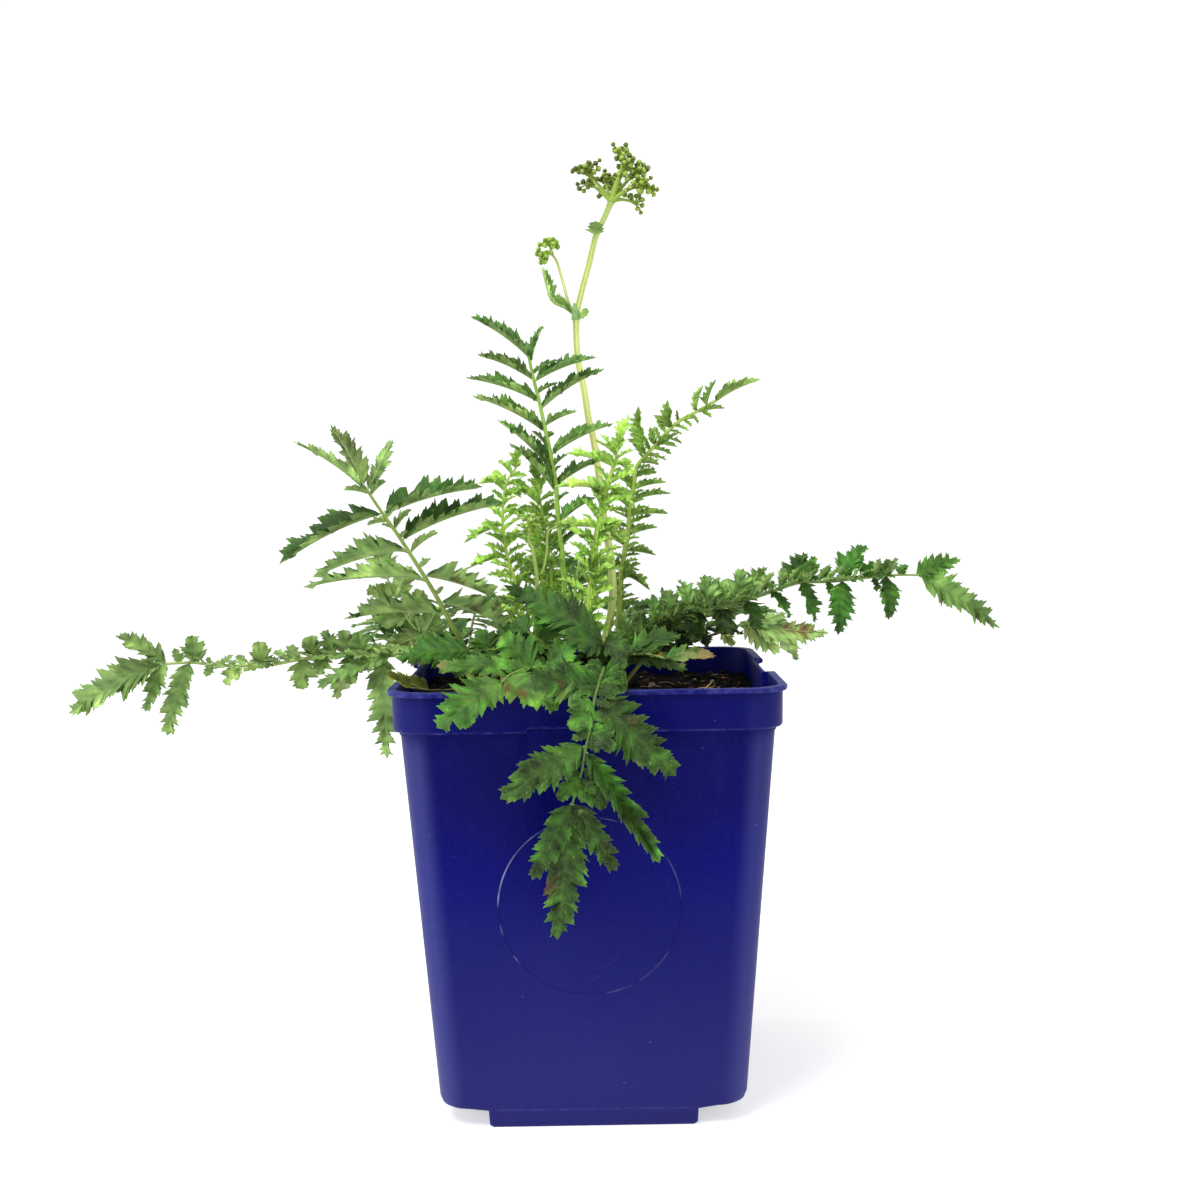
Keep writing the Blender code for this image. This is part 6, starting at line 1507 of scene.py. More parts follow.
def loose_bits():
    rnd = Steps(77)
    b = Build()
    # crumbs of peat and bark
    count = 0
    while count < 1100:
        x, y = rnd.span(-71, 71), rnd.span(-71, 71)
        r = 0.45 + 2.0 * rnd.unit() ** 3
        if not inside_pot(x, y, r + 0.2):
            continue
        count += 1
        co, fs = ball(1 if r < 1.2 else 2)
        s = np.array([r * rnd.span(0.7, 1.3), r * rnd.span(0.6, 1.0), r * rnd.span(0.45, 0.8)])
        a = rnd.span(0, 6.28)
        q = co * s * (1 + 0.28 * value_noise(co[:, :1] * 2.3 + count, co[:, 1:2] * 2.3, co[:, 2:3] * 2.3))
        rot = np.array([[math.cos(a), -math.sin(a), 0], [math.sin(a), math.cos(a), 0], [0, 0, 1]])
        tilt = rnd.span(-0.5, 0.5)
        rt = np.array([[1, 0, 0], [0, math.cos(tilt), -math.sin(tilt)], [0, math.sin(tilt), math.cos(tilt)]])
        q = q @ rt.T @ rot.T + np.array([x, y, on_soil(x, y) + s[2] * 0.3])
        pick = rnd.unit()
        col = lin(5, 4, 3) if pick < 0.72 else lin(20, 13, 10) if pick < 0.94 else lin(70, 50, 34)
        b.add(q, fs, col * rnd.span(0.7, 1.3))
    ob = b.object("soil_crumbs", [M_GRIT], 50)
    take(ob, "soil")

    # perlite, bark chips and straw
    b = Build()
    count = 0
    while count < 60:
        x, y = rnd.span(-70, 70), rnd.span(-70, 70)
        if count < 26:
            x, y = rnd.span(18, 66), rnd.span(-66, -18)
        r = 0.5 + 1.0 * rnd.unit() ** 2
        if not inside_pot(x, y, r + 0.3):
            continue
        count += 1
        co, fs = ball(2)
        s = np.array([r * rnd.span(0.8, 1.25), r * rnd.span(0.7, 1.1), r * rnd.span(0.6, 0.95)])
        q = co * s * (1 + 0.22 * value_noise(co[:, :1] * 3 + count, co[:, 1:2] * 3, co[:, 2:3] * 3))
        q = q + np.array([x, y, on_soil(x, y) + s[2] * 0.55])
        b.add(q, fs, lin(190, 184, 168) * rnd.span(0.6, 1.0))
    for k in range(220):
        x, y = rnd.span(-66, 66), rnd.span(-66, 66)
        if k < 110:
            x, y = rnd.span(10, 66), rnd.span(-67, -20)
        if not inside_pot(x, y, 4.0):
            continue
        ln, a = rnd.span(3.0, 11.0), rnd.span(0, math.pi)
        d = Vector((math.cos(a), math.sin(a), 0))
        pts = []
        for f_ in (-0.5, -0.15, 0.2, 0.5):
            q = Vector((x, y, 0)) + d * (ln * f_) + Vector((-d.y, d.x, 0)) * rnd.span(-0.6, 0.6)
            if not inside_pot(q.x, q.y, 0.5):
                q = Vector((x, y, 0)) + d * (1.0 * f_)
            q.z = on_soil(q.x, q.y) + rnd.span(0.35, 1.1)
            pts.append(q)
        cur = Curve(pts, 0.8)
        r0 = rnd.span(0.16, 0.42)
        flat = rnd.span(0.35, 1.0)
        vv, ff, ss, aa = tube(cur, lambda s: r0, 6, 0.9, lambda an, s: 1.0 if abs(math.cos(an)) > 0.6 else flat)
        tone = lin(206, 186, 140) if rnd.unit() < 0.3 else lin(132, 84, 64) if rnd.unit() < 0.6 else lin(50, 34, 24)
        b.add(vv, ff, tone * rnd.span(0.7, 1.1))
    # dead stalks lying in a loose heap at the front right
    for k in range(34):
        x, y = rnd.span(26, 58), rnd.span(-60, -14)
        ln, a = rnd.span(10.0, 26.0), rnd.span(-0.5, 0.9)
        heap = 7.5 * math.exp(-((x - 43.0) / 13.0) ** 2 - ((y + 34.0) / 20.0) ** 2)
        up_at = rnd.span(0.2, 1.0) * heap
        d = Vector((math.cos(a), math.sin(a), 0))
        pts = []
        for f_ in (-0.5, -0.2, 0.15, 0.5):
            q = Vector((x, y, 0)) + d * (ln * f_) + Vector((-d.y, d.x, 0)) * rnd.span(-1.6, 1.6)
            q.x, q.y = min(max(q.x, -66.0), 66.0), min(max(q.y, -66.0), 66.0)
            q.z = on_soil(q.x, q.y) + rnd.span(0.5, 1.8) + up_at * (0.45 + 0.9 * (f_ + 0.5))
            pts.append(q)
        cur = Curve(pts, 0.8)
        r0 = rnd.span(0.35, 0.85)
        vv, ff, ss, aa = tube(cur, lambda s: r0 * (1 - 0.5 * s / cur.length), 7, 1.2, lambda an, s: 1.0 + 0.12 * math.cos(3 * an + s))
        tone = lin(158, 98, 80) if rnd.unit() < 0.55 else lin(206, 180, 132) if rnd.unit() < 0.5 else lin(90, 62, 48)
        b.add(vv, ff, tone * rnd.span(0.7, 1.15))
    ob = b.object("perlite_and_straw", [M_GRIT], 50)
    take(ob, "soil")


loose_bits()


# ---------------------------------------------------------------- crown
def fine_crown():
    nu, nv = 96, 40
    cx, cy, cz = CROWN_C
    a = np.arange(nu) * 2 * math.pi / nu
    b_ = -math.pi / 2 + math.pi * (np.arange(nv + 1)) / nv
    A, B = np.meshgrid(a, b_, indexing="ij")
    k = 1.0 + 0.06 * np.sin(5 * A) * np.cos(B) + 0.04 * np.cos(8 * A + 1.0) * np.cos(B)
    x, y, z = np.cos(A) * np.cos(B) * k, np.sin(A) * np.cos(B) * k, np.sin(B)
    rough_ = 1 + 0.05 * fractal(x * 9, y * 4, z * 3, 3, 4.0)
    X = cx + x * CROWN_R[0] * rough_
    Y = cy + y * CROWN_R[1] * rough_
    Z = cz + z * CROWN_R[2] * (1 + 0.08 * fractal(x * 9, y * 4, z * 3, 3, 5.0))
    verts = np.stack([X, Y, Z], -1).reshape(-1, 3)
    faces = []
    for i in range(nu):
        j = (i + 1) % nu
        for q in range(nv):
            faces.append((i * (nv + 1) + q, j * (nv + 1) + q, j * (nv + 1) + q + 1, i * (nv + 1) + q + 1))
    t_ = 0.5 + 0.5 * fractal(X / 3, Y / 3, Z / 3, 3, 2.0)
    col = lin(34, 24, 17)[None, :] * (1 - t_.reshape(-1, 1)) + lin(92, 66, 44)[None, :] * t_.reshape(-1, 1)
    bb = Build()
    bb.add(verts, faces, col)
    ob = bb.object("crown_rootstock", [M_CROWN], 180)
    bm = bmesh.new()
    bm.from_mesh(ob.data)
    bmesh.ops.remove_doubles(bm, verts=bm.verts, dist=1e-6)
    bm.to_mesh(ob.data)
    bm.free()
    take(ob, "crown", "root_crown")


fine_crown()


# ---------------------------------------------------------------- stems
def ribs(n, depth):
    return lambda a, s: 1.0 + depth * math.cos(n * a)


def stalk_colours(ss, aa, length, low, mid, high, base_brown=0.0, peak_at=0.46):
    f_ = np.clip(ss / length, 0, 1)[:, None]
    f_ = np.where(f_ < peak_at, f_ * 0.5 / peak_at, 0.5 + 0.5 * (f_ - peak_at) / (1 - peak_at))
    c = np.where(f_ < 0.5, low + (mid - low) * f_ * 2, mid + (high - mid) * (f_ * 2 - 1))
    line = (0.5 + 0.5 * np.cos(5 * aa + 0.4))[:, None]
    c = c * (0.74 + 0.36 * line)
    wob = 0.25 * np.sin(ss / 11.0) + 0.12 * np.sin(ss / 3.7 + 1.0)
    # a pale cream streak down one side of the upper stem: painted highlight
    highlight_streak = np.exp(-((np.angle(np.exp(1j * (aa - 0.75 - wob)))) / 0.30) ** 2)[:, None] * np.clip(ss / length * 4 - 1.6, 0, 1)[:, None]
    c = c * (1 - 0.55 * highlight_streak) + lin(236, 222, 168)[None, :] * 0.55 * highlight_streak
    # the opposite side of the upper stem darkened: painted shade
    dim = np.exp(-((np.angle(np.exp(1j * (aa + 1.15 - wob)))) / 0.35) ** 2)[:, None]
    dim = dim * (0.10 + 0.42 * np.clip(ss / length * 4 - 1.6, 0, 1)[:, None])
    c = c * (1 - dim) + lin(120, 128, 62)[None, :] * dim
    if base_brown:
        k = np.clip(1 - ss / base_brown, 0, 1)[:, None]
        c = c * (1 - k * 0.75) + lin(92, 56, 40)[None, :] * k * 0.75
    return c


def fine_stem(name, path, r0, r1, node, low, mid, high, swell=(), base_brown=0.0):
    cur = Curve(path, 0.8)

    def radius(s):
        r = r0 + (r1 - r0) * s / cur.length
        for at, w, k in swell:
            r *= 1 + k * math.exp(-((s - at) / w) ** 2)
        return r

    vv, ff, ss, aa = tube(cur, radius, 20, 1.2, ribs(5, 0.085))
    b = Build()
    b.add(vv, ff, stalk_colours(ss, aa, cur.length, low, mid, high, base_brown))
    ob = b.object(name, [M_STALK], 180)
    take(ob, "stem", node)
    return cur


PALE, FRESH, DEEP = lin(238, 242, 150), lin(150, 182, 82), lin(172, 200, 108)
stem_cur = Curve(STEM_PATH, 0.8)
node_s = stem_cur.nearest_seen(576, 316)
bract_s = stem_cur.nearest_seen(596, 234)
fine_stem("flower_stem_ribbed", STEM_PATH, STEM_R[0], STEM_R[1], "flower_stem", DEEP, PALE, FRESH,
          [(node_s, 3.2, 0.22), (bract_s, 1.6, 0.12), (stem_cur.length, 2.0, 0.28)], 5.0)
fine_stem("side_stem_ribbed", SIDE_PATH, 0.68, 0.5, "side_flower_stem", FRESH, PALE * 0.8, FRESH)
fine_stem("young_stem_ribbed", YOUNG_PATH, 1.15, 0.62, "young_flower_stem", DEEP, FRESH, FRESH, (), 8.0)
fine_stem("young_shoot_ribbed", SHOOT_PATH, 0.62, 0.45, "young_side_shoot", FRESH, FRESH, FRESH)


# ---------------------------------------------------------------- buds
def fine_bud(b, c, r, axis, rnd, tones, ripe=0.0):
    """A round bud: a ball with five shallow seams, a blunt tip and five sepals."""
    co, fs = ball(3 if r > 1.19 else 2)
    ax = Vector(axis).normalized()
    u_ = ax.orthogonal().normalized()
    w_ = ax.cross(u_)
    ang = np.arctan2(co[:, 1], co[:, 0])
    lat = co[:, 2]
    k = r * (1 + 0.035 * np.cos(5 * ang) * (1 - lat ** 2) + 0.05 * np.clip(lat, 0, 1) ** 6)
    q = co * k[:, None]
    pos = (np.array(c)[None, :] + q[:, :1] * np.array(u_) + q[:, 1:2] * np.array(w_) + q[:, 2:3] * np.array(ax))
    seam = np.clip(0.5 - 0.5 * np.cos(5 * ang), 0, 1) * (1 - lat ** 2)
    t_ = rnd.unit()
    main, dark, lightc = tones
    base = (main * (1 - 0.35 * t_) + dark * 0.35 * t_) * rnd.span(0.86, 1.16)
    if t_ > 0.93 - 0.45 * ripe:
        base = base * 0.25 + dark * 0.75
    base = base * (1 - 0.35 * ripe) + dark * 0.35 * ripe
    blush = np.clip(value_noise(co[:, 0] * 1.5 + t_ * 30, co[:, 1] * 1.5, co[:, 2] * 1.5) * 1.2, 0, 1)[:, None]
    top = np.clip(lat, 0, 1)[:, None] ** 2
    # lower half of each bud painted darker: painted shade; also darker along the seams
    col = base * (1 - 0.34 * seam[:, None]) * (0.62 + 0.38 * np.clip(0.9 * lat + 0.7, 0, 1))[:, None]
    col = col * (1 - 0.35 * blush) + dark * 0.35 * blush
    # bud tips lightened towards the light tone: painted highlight
    col = col * (1 - 0.45 * top) + lightc * 0.45 * top
    b.add(pos, fs, col)
    # sepals, clasping the lower third
    for j in range(5):
        a = 2 * math.pi * (j + t_) / 5
        rad = u_ * math.cos(a) + w_ * math.sin(a)
        tang = ax.cross(rad)
        base_p = Vector(c) - ax * (r * 0.86)
        rows = []
        for h_, out_, wd in ((0.0, 0.30, 0.26), (0.35, 0.80, 0.42), (0.75, 1.07, 0.34), (1.05, 1.13, 0.05)):
            m_ = base_p + ax * (r * h_) + rad * (r * out_)
            rows.append([m_ - tang * (r * wd), m_ + rad * (r * 0.05), m_ + tang * (r * wd)])
        top_v = [v_ for row in rows for v_ in row]
        in_v = [v_ - rad * (r * 0.07) for v_ in top_v]
        fs2 = []
        for i in range(3):
            for k2 in range(2):
                o = i * 3 + k2
                fs2.append((o, o + 1, o + 4, o + 3))
                fs2.append((12 + o, 12 + o + 3, 12 + o + 4, 12 + o + 1))
        edge = [0, 1, 2, 5, 8, 11, 10, 9, 6, 3]
        for e0, e1 in zip(edge, edge[1:] + edge[:1]):
            fs2.append((e1, e0, 12 + e0, 12 + e1))
        b.add([tuple(v_) for v_ in top_v + in_v], fs2, main * 0.9 * (1 - 0.5 * ripe) + dark * 0.5 * ripe)


def fine_head(name, kind, node, tones):
    base, rays = head_layout(kind)
    rnd = Steps(5 + len(kind))
    b = Build()
    stalk = Build()
    co, fs = ball(2)
    rb = 1.25 if kind == "main" else 0.66
    taken = [c for ray in rays for at, c, r in ray[3]]
    for n_ray, (path, r0, r1, buds) in enumerate(rays):
        cur = Curve(path, 0.5)
        vv, ff, ss, aa = tube(cur, lambda s: 1.18 * (r0 + (r1 - r0) * s / cur.length) + 0.35 * math.exp(-s / 1.6), 8, 0.9)
        twig = lin(148, 176, 68)
        b.add(vv, ff, twig * (1 - 0.25 * (ss / cur.length))[:, None])
        ripe = 0.75 if kind == "main" and n_ray < 2 else 0.4 if kind == "main" and n_ray in (2, 7) else 0.0
        extra = []
        if kind == "main":
            for at, c, r in buds:
                for _ in range(2):
                    d = Vector((rnd.span(-1, 1), rnd.span(-1, 1), rnd.span(-0.8, 1))).normalized()
                    q = c + d * (r * rnd.span(1.9, 2.3))
                    if all((q - o).length > r * 1.75 for o in taken):
                        extra.append((max(0.4, at - 0.05), q, r * rnd.span(0.78, 0.95)))
                        taken.append(q)
                        break
        for at, c, r in buds + extra:
            a = cur.at(at * cur.length)
            t_ = cur.tangent(at * cur.length)
            gap = (c - a).length
            if gap > r * 0.6:
                mid_ = a + t_ * (gap * 0.3) + (c - a) * 0.35 + Vector((0, 0, -0.06 * gap))
                ped = Curve([a, mid_, c], 0.4)
                vv, ff, ss, aa = tube(ped, lambda s: 0.34 + 0.10 * math.exp(-s / 0.8), 6, 0.7)
                b.add(vv, ff, tones[0] * (1 - 0.4 * ripe) + tones[1] * 0.4 * ripe)
                ax = ped.tangent(ped.length)
            else:
                ax = (c - a).normalized()
            fine_bud(b, c, r, ax, rnd, tones, ripe)
    ob = b.object(name, [M_BUD], 70)
    take(ob, "buds", node)


fine_head("main_head_of_buds", "main", "main_bud_head", (lin(128, 156, 40), lin(46, 36, 14), lin(188, 212, 92)))
fine_head("side_head_of_buds", "side", "side_bud_head", (lin(134, 174, 48), lin(76, 104, 26), lin(192, 222, 98)))
fine_head("young_head_of_buds", "young", "young_bud_head", (lin(150, 186, 76), lin(112, 142, 50), lin(186, 214, 116)))


# ---------------------------------------------------------------- leaflets
def envelope(f, peak, flat, end, power):
    """Half width of a leaflet along its length, 0 to 1."""
    f = np.asarray(f, float)
    up_ = 1 - (1 - np.clip(f / peak, 0, 1)) ** 2.2
    u_ = np.clip((f - flat) / (1 - flat), 0, 1)
    return up_ ** 0.75 * (1 - (1 - end) * u_ ** power)


TOP_OLD, TOP_YOUNG = lin(50, 94, 29), lin(146, 186, 88)
UND_OLD, UND_YOUNG = lin(136, 170, 104), lin(158, 198, 104)


def leaflet(b, bl, style, rnd):
    """Adds one leaflet, as a thin closed sheet with toothed edges and a raised midrib."""
    L = bl.length if not bl.path else bl.path.length
    w = bl.width * 0.5 * bl.opts.get("show", 1.0)
    small = L < style.get("coarse", 7.5)
    nt = int(round(min(max(L / style.get("pitch", 4.6), 3), 9)))
    depth = style.get("teeth", 0.32)
    F = np.linspace(0, 1, 33)
    fr = [bl.frame(f_) for f_ in F]
    MID = np.array([tuple(bl.mid(f_)) for f_ in F])
    NN = np.array([tuple(q[1]) for q in fr])
    SS = np.array([tuple(q[2]) for q in fr])

    def at(tab, f):
        return np.stack([np.interp(f, F, tab[:, i]) for i in range(3)], -1)

    # stations: every main tooth carries two smaller ones on its lower edge
    ph = [0.0, 0.22, 0.31, 0.58, 0.67, 0.94] if not small else [0.0, 0.48, 0.92]
    am = [0.0, 0.46, 0.32, 0.84, 0.64, 1.0] if not small else [0.0, 0.56, 1.0]
    f0, f1 = 0.04, style.get("last", 0.93) if not small else 0.80
    ph, am = np.array(ph), np.array(am)
    phase = np.append(np.tile(ph, nt), 0.0)
    seed = rnd.span(0, 50)
    peak, flat = rnd.span(0.26, 0.38), rnd.span(0.46, 0.58)
    end = bl.opts.get("end", style.get("end", 0.2)) * rnd.span(0.85, 1.15)
    power = rnd.span(1.25, 1.7)
    phi = math.radians(bl.fold)
    wav = style.get("wave", 0.08)
    lean = style.get("lean", 0.20)
    curl = bl.opts.get("curl", style.get("curl", 0.06))
    twist = bl.opts.get("twist", rnd.span(-0.25, 0.25))
    fms, halves, fores = [], [], []
    for sg in (-1, 1):
        shift = rnd.span(-0.30, 0.30)
        fm = []
        size = []
        deep = []
        tooth = []
        for i in range(nt):
            j = rnd.span(-0.10, 0.10)
            big = rnd.span(0.80, 1.16)
            dig = rnd.span(0.55, 1.5)
            for q, a in zip(ph, am):
                fm.append((i + q + j * math.sin(math.pi * q) + shift * math.sin(math.pi * (i + q) / nt)) / nt)
                size.append(big)
                deep.append(dig)
                tooth.append(min(1.0, a * (1.0 if a in (0.0, 1.0) else rnd.span(0.82, 1.1))))
        fm.append(1.0)
        size.append(1.0)
        deep.append(0.5)
        tooth.append(0.0)
        fm = f0 + (f1 - f0) * np.array(fm)
        size, deep, tooth = np.array(size), np.array(deep), np.array(tooth)
        env = envelope(fm, peak, flat, end, power)
        cut = depth * deep * w * (0.55 + 0.45 * np.clip(fm * 3.0, 0, 1)) * (1 - tooth)
        half = np.maximum(w * env * (1 - (1 - size) * tooth) * 1.08 - cut, 0.24 * w * env) + 0.08
        fore = lean * (f1 - f0) / nt * tooth * np.clip(size, 0.9, 1.1)
        fms.append(fm)
        halves.append(half)
        fores.append(fore)
    fm = 0.5 * (fms[0] + fms[1])
    fmid = np.maximum(fm - 0.62 * w * envelope(fm, peak, flat, end, power) / L, 0.30 * fm)
    fmid = np.maximum.accumulate(fmid)
    cols_ = np.array([0.0, 0.22, 0.5, 0.78, 1.0]) if not small else np.array([0.0, 0.5, 1.0])
    C = len(cols_)
    sides = []
    for sg, fms_, half, fore in ((-1, fms[0], halves[0], fores[0]), (1, fms[1], halves[1], fores[1])):
        fe = np.minimum(fms_ + fore, 1.0 - 0.35 * half / L)
        fe = np.maximum.accumulate(fe - 0.004 * np.arange(len(fe))) + 0.004 * np.arange(len(fe)) if small else fe
        P_ = []
        for c in cols_:
            fc = fmid + (fe - fmid) * c
            x = half * c
            puff = (0.5 - 0.5 * np.cos(2 * math.pi * (phase + 0.12))) * math.sin(math.pi * min(c, 0.999)) * style.get("pleat", 0.07) * w
            ripple = wav * w * (np.sin(2 * math.pi * (fm * 2.2 + 0.13 * seed) + sg * 1.3)
                                + 0.6 * np.sin(2 * math.pi * (fm * 5.1 + 0.31 * seed) - sg)) * c * c
            bend = -curl * w * c * c - 0.018 * w * math.exp(-(c / 0.16) ** 2)
            r_ = 0.25
            h = math.sin(phi) * (np.sqrt(x * x + r_ * r_) - r_) + puff + ripple + bend
            xx = x * math.cos(phi) + (0.12 * w * c * c * math.sin(phi))
            tw = twist * (fc - 0.3)
            sx = sg * xx
            X2 = sx * np.cos(tw) - h * np.sin(tw)
            H2 = sx * np.sin(tw) + h * np.cos(tw)
            q3 = at(MID, fc) + at(SS, fc) * X2[:, None] + at(NN, fc) * H2[:, None]
            crease = style.get("crease", 0.09) * w * fractal(q3[:, 0] / 4.2, q3[:, 1] / 4.2, q3[:, 2] / 4.2, 3, seed)
            P_.append(q3 + at(NN, fc) * (crease * min(1.0, c * 2))[:, None])
        sides.append(P_)
    R = len(fm)
    tip = at(MID, np.array([1.0]))[0]
    # grid columns from the left margin over the midrib to the right margin
    grid = [sides[0][k] for k in range(C - 1, 0, -1)] + [(sides[0][0] + sides[1][0]) / 2] + [sides[1][k]
                                                                                          for k in range(1, C)]
    G = np.stack(grid, 1)          # R x (2C-1) x 3
    W = 2 * C - 1
    base_v = G.reshape(-1, 3)
    nb = len(base_v)
    mid_v = np.concatenate([base_v, tip[None, :]])
    tris = []
    for i in range(R - 1):
        for j in range(W - 1):
            a = i * W + j
            tris.append((a, a + 1, a + W + 1, a + W))
    last = (R - 1) * W
    for j in range(W - 1):
        tris.append((last + j, last + j + 1, nb))
    # vertex normals of the sheet
    nrm = np.zeros_like(mid_v)
    q_ = np.array([t_ for t_ in tris if len(t_) == 4])
    n4 = np.cross(mid_v[q_[:, 2]] - mid_v[q_[:, 0]], mid_v[q_[:, 3]] - mid_v[q_[:, 1]])
    for k in range(4):
        np.add.at(nrm, q_[:, k], n4)
    t3 = np.array([t_ for t_ in tris if len(t_) == 3])
    n3 = np.cross(mid_v[t3[:, 1]] - mid_v[t3[:, 0]], mid_v[t3[:, 2]] - mid_v[t3[:, 0]])
    for k in range(3):
        np.add.at(nrm, t3[:, k], n3)
    nrm /= np.maximum(np.linalg.norm(nrm, axis=1, keepdims=True), 1e-12)
    up_here = np.array(bl.frame(0.5)[1])
    if np.dot(nrm.mean(0), up_here) < 0:
        nrm = -nrm
        flip = True
    else:
        flip = False
    hh = 0.12 if not small else 0.10
    top, bot = mid_v + nrm * hh, mid_v - nrm * hh
    n = len(mid_v)
    faces = []
    for t_ in tris:
        a = tuple(reversed(t_)) if flip else t_
        faces.append(a)
        faces.append(tuple(n + i for i in reversed(a)))
    rim = [i * W for i in range(R)] + [nb] + [i * W + W - 1 for i in range(R - 1, -1, -1)] + list(range(W - 2, 0, -1))
    for a, c in zip(rim, rim[1:] + rim[:1]):
        faces.append((a, c, n + c, n + a) if not flip else (c, a, n + a, n + c))
    # colours
    age, young, tint = style["age"], style["young"], style["tint"]
    cc = np.abs(np.concatenate([np.tile(np.concatenate([-cols_[:0:-1], cols_]), R), [0.0]]))
    ff = np.concatenate([np.repeat(fm, W), [1.0]])
    pp = np.concatenate([np.repeat(phase, W), [0.9]])
    top_c = TOP_OLD * (1 - young) + TOP_YOUNG * young
    und_c = UND_OLD * (1 - young) + UND_YOUNG * young
    vary = rnd.span(0.74, 1.26)
    warm = rnd.span(-0.10, 0.16)
    if young > 0.5:
        vary, warm = 0.62 * vary + 0.38, 0.4 * warm + 0.01
    pale = min(1.0, max(0.0, style.get("pale", 0.0) + rnd.span(-0.15, 0.15) * (style.get("pale", 0.0) > 0)))
    lift = (bl.tip - bl.base).normalized().z
    in_shade = 0.0
    if style.get("shady"):
        at_u = float(seen_at(np.array([tuple(bl.base)]))[0][0])
        in_shade = min(1.0, max(0.0, (815.0 - at_u) / 100.0))
    if in_shade > 0:
        pale = pale + 0.55 * max(0.0, lift) * in_shade
        vary *= 1 - in_shade + in_shade * (0.17 + 0.86 * min(1.0, max(0.0, 0.5 + 0.8 * lift)))
    top_c = top_c * (1 - pale) + UND_OLD * 0.92 * pale
    top_c = top_c * vary * np.array([1 + tint * 0.45 + warm, 1 + tint * 0.30, 1 + tint * 0.42])
    und_c = und_c * (0.5 + 0.5 * vary) * np.array([1 + tint * 0.2 + warm, 1 + tint * 0.12, 1.0 + tint * 0.1])
    # per-leaf brightness: partly the leaf's own tone, partly painted light and shade for how much light each leaf
    # stands in
    top_c, und_c = top_c * style.get("shade_and_tone", 1.0), und_c * (0.25 + 0.75 * style.get("shade_and_tone", 1.0))
    vein = np.exp(-((pp - 0.9) / 0.09) ** 2) + np.exp(-((pp + 0.10) / 0.09) ** 2)
    vein = vein * np.clip(1 - cc * 0.8, 0.2, 1)
    rib = np.exp(-(cc / 0.10) ** 2)
    mott = (0.70 * fractal(mid_v[:, 0] / 6.5, mid_v[:, 1] / 6.5, mid_v[:, 2] / 6.5, 3, 3.0)
            + 0.34 * fractal(mid_v[:, 0] / 2.8, mid_v[:, 1] / 2.8, mid_v[:, 2] / 2.8, 2, 6.0)
            + 0.20 * fractal(mid_v[:, 0] / 1.9, mid_v[:, 1] / 1.9, mid_v[:, 2] / 1.9, 2, 9.0))
    edge = np.clip((cc - 0.8) / 0.2, 0, 1)
    light_top = lin(104, 142, 66) * (1 - young) + lin(176, 208, 96) * young
    light_und = lin(164, 190, 122) * (1 - young) + lin(194, 220, 124) * young

    # painted light and shade: each tooth lit on one side and shaded on the other
    wave_ = np.cos(2 * math.pi * (pp + 0.30 * cc + 0.05))
    relief_shading = 1 + style.get("relief_shading", 0.15) * wave_ * np.clip(cc * 1.8, 0, 1)
    lengthwise = 1 + 0.16 * np.cos(2 * math.pi * (ff * 0.8 + 0.13 * seed)) + 0.07 * np.sin(9.0 * ff + seed)
    # one half of the leaflet painted lighter than the other: painted light on the fold
    lit_half_gain = 1 + 0.10 * math.sin(seed * 3.1) * np.concatenate([np.tile(np.sign(np.arange(W) - C + 1), R), [0.0]])
    relief_shading = relief_shading * lengthwise * lit_half_gain

    # strength of the mottling: the leaf's own blotches, made strong enough to stand also for painted sheen and shade
    # on the blistered surface
    mottle_sheen_gain = style.get("mottle_and_sheen", 1.4)

    def shade(basec, lightc, vv_, rr_, ee_):
        c = basec[None, :] * np.clip(np.exp(mottle_sheen_gain * (mott - 0.10 * mottle_sheen_gain * 0.2)), 0.16, 2.9)[:, None] * (1 + np.clip(mott, 0, 1)[:, None] * np.array([[0.30, 0.12, 0.0]]))
        # darker towards the midrib: painted shade in its crease
        c = c * (1 - 0.32 * (1 - np.clip(cc * 1.6, 0, 1)) * (1 - vv_))[:, None] * relief_shading[:, None]
        k = np.clip(0.30 * vein * vv_, 0, 1)[:, None]
        c = c * (1 - k) + lightc[None, :] * k
        k = np.clip(0.60 * rib * rr_, 0, 1)[:, None]
        c = c * (1 - k) + lightc[None, :] * k
        k = (ee_ * edge)[:, None]
        margin = lin(*style["rim_tone"]) if "rim_tone" in style else lightc * 0.9
        return (c * (1 - k) + margin[None, :] * k) * np.array([[1.0, 1.03, 0.86]])

    ct = shade(top_c, light_top, style.get("veins", 0.35), style.get("rib", 0.26), style.get("rim", 0.26))
    cb = shade(und_c, light_und, 0.9, 1.0, 0.10) * style.get("under", 1.0)
